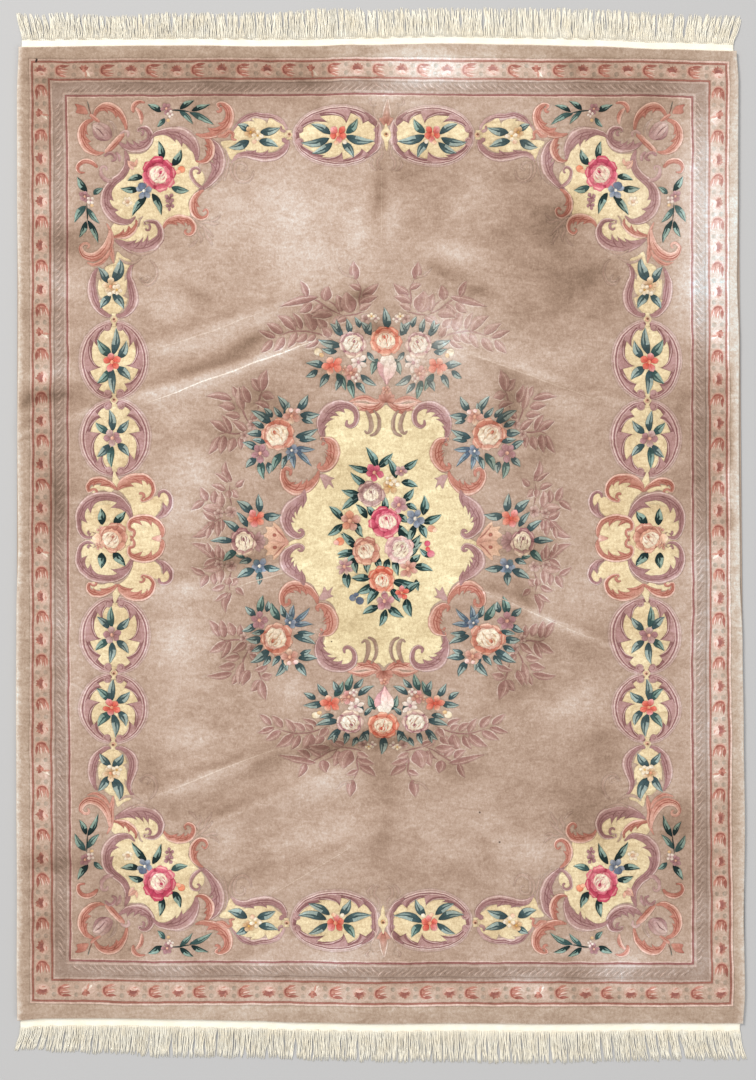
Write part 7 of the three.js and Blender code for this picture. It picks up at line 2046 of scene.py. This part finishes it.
def tube(path, radius, sides, squash=0.9):
    """A yarn along a path in mm: vertices and faces, with closed ends."""
    path = np.asarray(path, float)
    n = len(path)
    way = np.gradient(path, axis=0)
    way /= np.maximum(np.linalg.norm(way, axis=1), 1e-9)[:, None]
    up = np.array([0.0, 0.0, 1.0])
    side = np.cross(way, up)
    side /= np.maximum(np.linalg.norm(side, axis=1), 1e-9)[:, None]
    top = np.cross(side, way)
    a = np.arange(sides) / sides * TAU
    rad = np.broadcast_to(radius, (n,))
    ring = path[:, None] + rad[:, None, None] * (np.cos(a)[None, :, None] * side[:, None] + squash * np.sin(a)[None, :, None] * top[:, None])
    v = ring.reshape(-1, 3)
    i = np.arange(n - 1)[:, None] * sides
    j = np.arange(sides)[None]
    k = (np.arange(sides)[None] + 1) % sides
    quads = np.stack([i + j, i + k, i + sides + k, i + sides + j], -1).reshape(-1, 4)
    return v, quads, np.arange(sides), (n - 1) * sides + np.arange(sides)


def build_fringe(name, way, table, partings, seed):
    made, edge, first, last = bunches(way, table, partings)
    r = random.Random(seed)
    verts, quads, tones, ends = [], [], [], []
    count = 0

    def put(v, q, c, caps=()):
        nonlocal count
        verts.append(v)
        quads.append(np.asarray(q) + count)
        tones.append(np.full(len(v), 1.0) * c)
        for cap in caps:
            ends.append([count + int(k) for k in cap])
        count += len(v)

    # the woven band: a ribbed strip, thicker along its outer edge
    m = 560
    xs = np.linspace(first, last, m)
    base_y = np.interp(xs, edge[:, 0], edge[:, 1])
    profile = ((0.2, 0.0), (0.2, 6.6), (3.0, 6.4), (6.0, 5.2), (9.5, 4.4), (13.0, 3.9), (16.5, 4.1), (20.0, 3.8), (23.5, 4.1), (27.0, 4.2), (29.6, 3.3), (30.6, 1.8), (30.6, 0.0))
    rows = []
    for k, (off, z) in enumerate(profile):
        ripple = 0.0 if z == 0 else 0.28 * math.sin(k * 2.1) + 0.0
        wob = np.array([0.25 * math.sin(x / 9.0 + k) + 0.2 * math.sin(x / 23.0 + 2 * k) for x in xs]) if z > 0 else 0
        comb = 0.5 * np.sin(xs / 4.7 * TAU / 1.0) * (1 if 25 < off < 30 else 0.2) if z > 0 else 0
        rows.append(np.stack([xs, base_y + way * off, np.full(m, z + ripple * 0.5) + wob + comb], 1))
    v = np.vstack(rows)
    p = len(profile)
    q = []
    for k in range(p - 1):
        a = k * m + np.arange(m - 1)
        quad = np.stack([a, a + 1, a + 1 + m, a + m], 1)
        q.append(quad if way > 0 else quad[:, ::-1])
    a = (p - 1) * m + np.arange(m - 1)
    b = np.arange(m - 1)
    under = np.stack([a, a + 1, b + 1, b], 1)
    q.append(under if way > 0 else under[:, ::-1])
    put(v, np.vstack(q), 1.0)
    left_cap = [k * m for k in range(p)]
    right_cap = [k * m + m - 1 for k in range(p)]
    ends.append(left_cap if way > 0 else left_cap[::-1])
    ends.append(right_cap[::-1] if way > 0 else right_cap)

    # the yarns of each bunch: fine, wavy and crossing, drawn together towards the tips in places
    for n, t in enumerate(made):
        yarns = 9
        sway = r.uniform(-3.0, 3.0)
        clump = r.uniform(0.72, 1.10)
        stray = r.randrange(yarns) if r.random() < 0.6 else -1
        for k in range(yarns):
            u = (k + 0.5) / yarns * 2 - 1
            x0 = t["x"] + u * t["pitch"] * 0.5
            x1 = t["tip_x"] + u * t["tip_half"] * clump * 1.08 + r.uniform(-1.8, 1.8) + (r.uniform(-6.0, 6.0) if k == stray else 0.0)
            ln = r.uniform(-14.0, 2.4) if r.random() < 0.6 else r.uniform(-4.0, 2.4)
            y0 = t["y"] - way * 5.0
            y1 = t["tip_y"] + way * min(ln, 2.4)
            steps = 8
            s = np.linspace(0, 1, steps)
            bow = sway * np.sin(math.pi * s) + r.uniform(-2.6, 2.6) * np.sin(2 * math.pi * s + r.uniform(0, 6)) + r.uniform(-1.7, 1.7) * np.sin(3.6 * math.pi * s + r.uniform(0, 6))
            x = x0 + (x1 - x0) * (s ** 1.25) + bow * np.sin(math.pi * np.clip(s * 1.3, 0, 0.5)) ** 0.7
            y = y0 + (y1 - y0) * s
            layer = (k % 3) * 1.1 + 0.5 * r.uniform(-1, 1)
            z = 2.5 - 0.7 * s + layer * np.sin(math.pi * np.clip(s + 0.1, 0, 1)) ** 0.7 + 0.9 * (1 - s) ** 3
            rad = 1.28 * (1 + r.uniform(-0.18, 0.18)) * (1 - 0.10 * s)
            rad[0] *= 0.9
            rad[-1] *= 0.62
            z = np.maximum(z, rad * 0.95 + 0.15)
            v, qd, c0, c1 = tube(np.stack([x, y, z], 1), rad, 4)
            # painted shade: a little low between the yarns and near the band
            low = 0.10 if k % 3 == 0 else 0.0
            shade_of = (1.0 + r.uniform(-0.12, 0.05) - low) * (1 - 0.03 * np.exp(-(s * (abs(y1 - y0)) / 12.0) ** 2))
            put(v, qd, np.repeat(shade_of, 4), (c0[::-1], c1))
    v = np.vstack(verts)
    world = to_world(v[:, :2], v[:, 2])
    faces = [tuple(f) for f in np.vstack(quads).tolist()] + [tuple(e) for e in ends]
    shade = np.concatenate(tones)
    # the attribute lean carries the painted shade of the yarns
    ob = add_mesh(name, world, faces, floats={"lean": shade})
    return ob
# ------------------------------------------------------------ materials
def nodes_of(name):
    mat = bpy.data.materials.new(name)
    mat.use_nodes = True
    nt = mat.node_tree
    nt.nodes.clear()
    out = nt.nodes.new("ShaderNodeOutputMaterial")
    bsdf = nt.nodes.new("ShaderNodeBsdfPrincipled")
    nt.links.new(bsdf.outputs[0], out.inputs[0])
    return mat, nt, bsdf


def noise(nt, coord, scale, detail=2.0, rough=0.5, stretch=None):
    src = coord
    if stretch:
        m = nt.nodes.new("ShaderNodeMapping")
        m.inputs["Scale"].default_value = stretch
        nt.links.new(coord, m.inputs["Vector"])
        src = m.outputs[0]
    n = nt.nodes.new("ShaderNodeTexNoise")
    n.inputs["Scale"].default_value = scale
    n.inputs["Detail"].default_value = detail
    n.inputs["Roughness"].default_value = rough
    nt.links.new(src, n.inputs["Vector"])
    return n.outputs["Fac"]


def smear(nt, coord, scale, stretch, turn, distortion):
    """Noise drawn out one way, as a hand leaves it on pile."""
    m = nt.nodes.new("ShaderNodeMapping")
    m.inputs["Rotation"].default_value = (0.0, 0.0, turn)
    m.inputs["Scale"].default_value = stretch
    nt.links.new(coord, m.inputs["Vector"])
    n = nt.nodes.new("ShaderNodeTexNoise")
    n.inputs["Scale"].default_value = scale
    n.inputs["Detail"].default_value = 4.0
    n.inputs["Roughness"].default_value = 0.62
    n.inputs["Distortion"].default_value = distortion
    nt.links.new(m.outputs[0], n.inputs["Vector"])
    return n.outputs["Fac"]


def span(nt, value, lo, hi, a=0.0, b=1.0):
    n = nt.nodes.new("ShaderNodeMapRange")
    n.inputs["From Min"].default_value = lo
    n.inputs["From Max"].default_value = hi
    n.inputs["To Min"].default_value = a
    n.inputs["To Max"].default_value = b
    nt.links.new(value, n.inputs["Value"])
    return n.outputs["Result"]


def sums(nt, op, a, b):
    n = nt.nodes.new("ShaderNodeMath")
    n.operation = op
    for k, v in enumerate((a, b)):
        if isinstance(v, (int, float)):
            n.inputs[k].default_value = v
        else:
            nt.links.new(v, n.inputs[k])
    return n.outputs[0]


def times_colour(nt, colour, factor):
    n = nt.nodes.new("ShaderNodeVectorMath")
    n.operation = "SCALE"
    nt.links.new(colour, n.inputs[0])
    if isinstance(factor, (int, float)):
        n.inputs["Scale"].default_value = factor
    else:
        nt.links.new(factor, n.inputs["Scale"])
    return n.outputs[0]


def attribute(nt, name):
    n = nt.nodes.new("ShaderNodeAttribute")
    n.attribute_type = "GEOMETRY"
    n.attribute_name = name
    return n


def wool_material():
    """Cut wool pile: dyed tufts about 3 mm across, a soft sheen, no gloss."""
    mat, nt, bsdf = nodes_of("wool_pile")
    coord = nt.nodes.new("ShaderNodeTexCoord").outputs["Object"]
    dye = attribute(nt, "dye").outputs["Color"]
    lean = attribute(nt, "lean").outputs["Fac"]
    tuft = noise(nt, coord, 300.0, 2.0, 0.6)
    fibre = noise(nt, coord, 1100.0, 2.0, 0.6)
    grain = noise(nt, coord, 115.0, 3.0, 0.65)
    # painted sheen: hand-rubbed streaks of pile, two ways, lighter or darker as the light falls on them
    rubbed = smear(nt, coord, 15.0, (1.0, 2.5, 1.0), 0.35, 1.6)
    rubbed_b = smear(nt, coord, 40.0, (2.0, 1.0, 1.0), 0.9, 1.6)
    wide = noise(nt, coord, 6.0, 3.0, 0.55)
    f = sums(nt, "MULTIPLY", span(nt, tuft, 0.25, 0.75, 0.84, 1.16), span(nt, fibre, 0.25, 0.75, 0.93, 1.06))
    f = sums(nt, "MULTIPLY", f, span(nt, grain, 0.25, 0.75, 0.83, 1.17))
    f = sums(nt, "MULTIPLY", f, span(nt, rubbed, 0.25, 0.75, 0.79, 1.21))
    f = sums(nt, "MULTIPLY", f, span(nt, rubbed_b, 0.25, 0.75, 0.84, 1.16))
    f = sums(nt, "MULTIPLY", f, span(nt, wide, 0.25, 0.75, 0.96, 1.04))
    # the painted sheen, highlight and shade from the attribute lean
    f = sums(nt, "MULTIPLY", f, lean)
    # where the painted sheen and the noise make the pile lighter it is also paler, where darker browner
    over = sums(nt, "SUBTRACT", f, 1.0)
    tint = nt.nodes.new("ShaderNodeCombineXYZ")
    nt.links.new(sums(nt, "SUBTRACT", 1.0, sums(nt, "MULTIPLY", over, 0.22)), tint.inputs[0])
    tint.inputs[1].default_value = 1.0
    nt.links.new(sums(nt, "ADD", 1.0, sums(nt, "MULTIPLY", over, 0.20)), tint.inputs[2])
    # years of light and wear have taken a little off every dye
    aged = nt.nodes.new("ShaderNodeVectorMath")
    aged.operation = "MULTIPLY"
    nt.links.new(dye, aged.inputs[0])
    aged.inputs[1].default_value = (0.850, 0.800, 0.768)
    lit = times_colour(nt, aged.outputs[0], f)
    warm = nt.nodes.new("ShaderNodeVectorMath")
    warm.operation = "MULTIPLY"
    nt.links.new(lit, warm.inputs[0])
    nt.links.new(tint.outputs[0], warm.inputs[1])
    least = nt.nodes.new("ShaderNodeVectorMath")
    least.operation = "MINIMUM"
    nt.links.new(warm.outputs[0], least.inputs[0])
    least.inputs[1].default_value = (0.93, 0.91, 0.88)
    nt.links.new(least.outputs[0], bsdf.inputs["Base Color"])
    rough = span(nt, tuft, 0.2, 0.8, 0.84, 0.98)
    nt.links.new(rough, bsdf.inputs["Roughness"])
    bsdf.inputs["Specular IOR Level"].default_value = 0.18
    bsdf.inputs["Sheen Weight"].default_value = 0.12
    bsdf.inputs["Sheen Roughness"].default_value = 0.55
    h = sums(nt, "ADD", sums(nt, "MULTIPLY", tuft, 1.0), sums(nt, "MULTIPLY", fibre, 0.45))
    b = nt.nodes.new("ShaderNodeBump")
    b.inputs["Strength"].default_value = 0.55
    b.inputs["Distance"].default_value = 0.0016
    nt.links.new(h, b.inputs["Height"])
    nt.links.new(b.outputs[0], bsdf.inputs["Normal"])
    return mat


def ground_material():
    """The back of the rug: rows of knots in a plain weave."""
    mat, nt, bsdf = nodes_of("rug_back")
    coord = nt.nodes.new("ShaderNodeTexCoord").outputs["Object"]
    sep = nt.nodes.new("ShaderNodeSeparateXYZ")
    nt.links.new(coord, sep.inputs[0])
    def wave(axis, period, phase=0.0):
        return sums(nt, "SINE", sums(nt, "ADD", sums(nt, "MULTIPLY", sep.outputs[axis], TAU / period), phase), 0.0)
    wx, wy = wave("X", 0.0042), wave("Y", 0.0046)
    both = sums(nt, "MULTIPLY", span(nt, wx, -1, 1, 0.35, 1), span(nt, wy, -1, 1, 0.35, 1))
    mott = noise(nt, coord, 30.0, 4.0, 0.6)
    fine = noise(nt, coord, 800.0, 2.0, 0.6)
    f = sums(nt, "MULTIPLY", span(nt, both, 0.1, 1, 0.72, 1.05), span(nt, mott, 0.2, 0.8, 0.93, 1.07))
    f = sums(nt, "MULTIPLY", f, span(nt, fine, 0.2, 0.8, 0.93, 1.06))
    rgb = nt.nodes.new("ShaderNodeRGB")
    rgb.outputs[0].default_value = (*lin((190, 168, 150)), 1)
    nt.links.new(times_colour(nt, rgb.outputs[0], f), bsdf.inputs["Base Color"])
    nt.links.new(span(nt, mott, 0.2, 0.8, 0.86, 0.97), bsdf.inputs["Roughness"])
    bsdf.inputs["Specular IOR Level"].default_value = 0.2
    b = nt.nodes.new("ShaderNodeBump")
    b.inputs["Strength"].default_value = 0.7
    b.inputs["Distance"].default_value = 0.0009
    nt.links.new(sums(nt, "ADD", both, sums(nt, "MULTIPLY", fine, 0.3)), b.inputs["Height"])
    nt.links.new(b.outputs[0], bsdf.inputs["Normal"])
    return mat


def cotton_material():
    """Undyed cotton yarn with its ply."""
    mat, nt, bsdf = nodes_of("fringe_cotton")
    coord = nt.nodes.new("ShaderNodeTexCoord").outputs["Object"]
    lean = attribute(nt, "lean").outputs["Fac"]
    ply = nt.nodes.new("ShaderNodeTexWave")
    ply.wave_type = "BANDS"
    ply.bands_direction = "DIAGONAL"
    ply.inputs["Scale"].default_value = 130.0
    ply.inputs["Distortion"].default_value = 3.0
    ply.inputs["Detail"].default_value = 2.0
    ply.inputs["Detail Scale"].default_value = 3.0
    nt.links.new(coord, ply.inputs["Vector"])
    fuzz = noise(nt, coord, 900.0, 3.0, 0.6)
    patch = noise(nt, coord, 18.0, 3.0, 0.6)
    f = sums(nt, "MULTIPLY", span(nt, fuzz, 0.2, 0.8, 0.94, 1.04), span(nt, ply.outputs["Fac"], 0, 1, 0.95, 1.02))
    # painted shade of the yarns from the attribute lean
    f = sums(nt, "MULTIPLY", f, lean)
    mix = nt.nodes.new("ShaderNodeMix")
    mix.data_type = "RGBA"
    nt.links.new(span(nt, patch, 0.3, 0.7, 0, 1), mix.inputs["Factor"])
    mix.inputs[6].default_value = (*lin((246, 236, 214)), 1)
    mix.inputs[7].default_value = (*lin((251, 245, 229)), 1)
    nt.links.new(times_colour(nt, mix.outputs[2], f), bsdf.inputs["Base Color"])
    nt.links.new(span(nt, fuzz, 0.2, 0.8, 0.82, 0.96), bsdf.inputs["Roughness"])
    bsdf.inputs["Specular IOR Level"].default_value = 0.25
    b = nt.nodes.new("ShaderNodeBump")
    b.inputs["Strength"].default_value = 0.4
    b.inputs["Distance"].default_value = 0.0007
    nt.links.new(sums(nt, "ADD", ply.outputs["Fac"], sums(nt, "MULTIPLY", fuzz, 0.8)), b.inputs["Height"])
    nt.links.new(b.outputs[0], bsdf.inputs["Normal"])
    return mat


# ------------------------------------------------------------ put together
for chart in (chart_border, chart_chain, chart_corner, chart_side, chart_medallion, chart_groups, chart_bouquet, chart_marks):
    chart()

wool, back, cotton = wool_material(), ground_material(), cotton_material()
pile = build_pile()
ground = build_ground()
fringe_a = build_fringe("fringe_top_yarns", 1, TOP_FRINGE, TOP_PARTINGS, 41)
fringe_b = build_fringe("fringe_bottom_yarns", -1, BOTTOM_FRINGE, BOTTOM_PARTINGS, 42)
for ob in pile:
    ob.data.materials.append(wool)
ground.data.materials.append(back)
for ob in (fringe_a, fringe_b):
    ob.data.materials.append(cotton)

for ob in pile + [ground]:
    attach(ob, "root")
    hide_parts("rug")
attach(fringe_a, "root")
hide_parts("fringe_top")
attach(fringe_b, "root")
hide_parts("fringe_bottom")

# ------------------------------------------------------------ floor, light, camera
floor_mat, nt, bsdf = nodes_of("floor_plain")
bsdf.inputs["Base Color"].default_value = (0.47, 0.46, 0.45, 1)
bsdf.inputs["Roughness"].default_value = 0.85
me = bpy.data.meshes.new("floor")
me.from_pydata([(-14, -14, -0.0005), (14, -14, -0.0005), (14, 14, -0.0005), (-14, 14, -0.0005)], [], [(0, 1, 2, 3)])
floor = bpy.data.objects.new("floor", me)
bpy.context.scene.collection.objects.link(floor)
me.materials.append(floor_mat)

world = bpy.data.worlds.new("plain")
bpy.context.scene.world = world
world.use_nodes = True
world.node_tree.nodes["Background"].inputs[0].default_value = (0.93, 0.96, 1.0, 1)
world.node_tree.nodes["Background"].inputs[1].default_value = 0.68


def area_light(name, place_at, target, size, power, colour=(1, 1, 1)):
    data = bpy.data.lights.new(name, "AREA")
    data.size = size
    data.energy = power
    data.color = colour
    ob = bpy.data.objects.new(name, data)
    ob.location = place_at
    ob.rotation_euler = (Vector(target) - Vector(place_at)).to_track_quat("-Z", "Y").to_euler()
    bpy.context.scene.collection.objects.link(ob)
    return ob


area_light("key", (-12.6, 12.6, 15.0), (0, 0, 0), 6.0, 4350, (1.0, 0.985, 0.96))
area_light("fill", (15.6, -12.6, 15.0), (0, 0, 0), 12.0, 1400, (0.98, 0.985, 1.0))

cam_data = bpy.data.cameras.new("camera")
cam = bpy.data.objects.new("camera", cam_data)
HIGH = 3.4
cam.location = (-0.0071, -0.0150, HIGH + 0.012)
cam.rotation_euler = (0, 0, 0)
cam_data.sensor_fit = "VERTICAL"
cam_data.sensor_height = 36
cam_data.lens = 36 * HIGH / 3.645
cam_data.clip_end = 60
bpy.context.scene.collection.objects.link(cam)
bpy.context.scene.camera = cam
bpy.context.scene.view_settings.view_transform = "Standard"
bpy.context.scene.view_settings.look = "None"
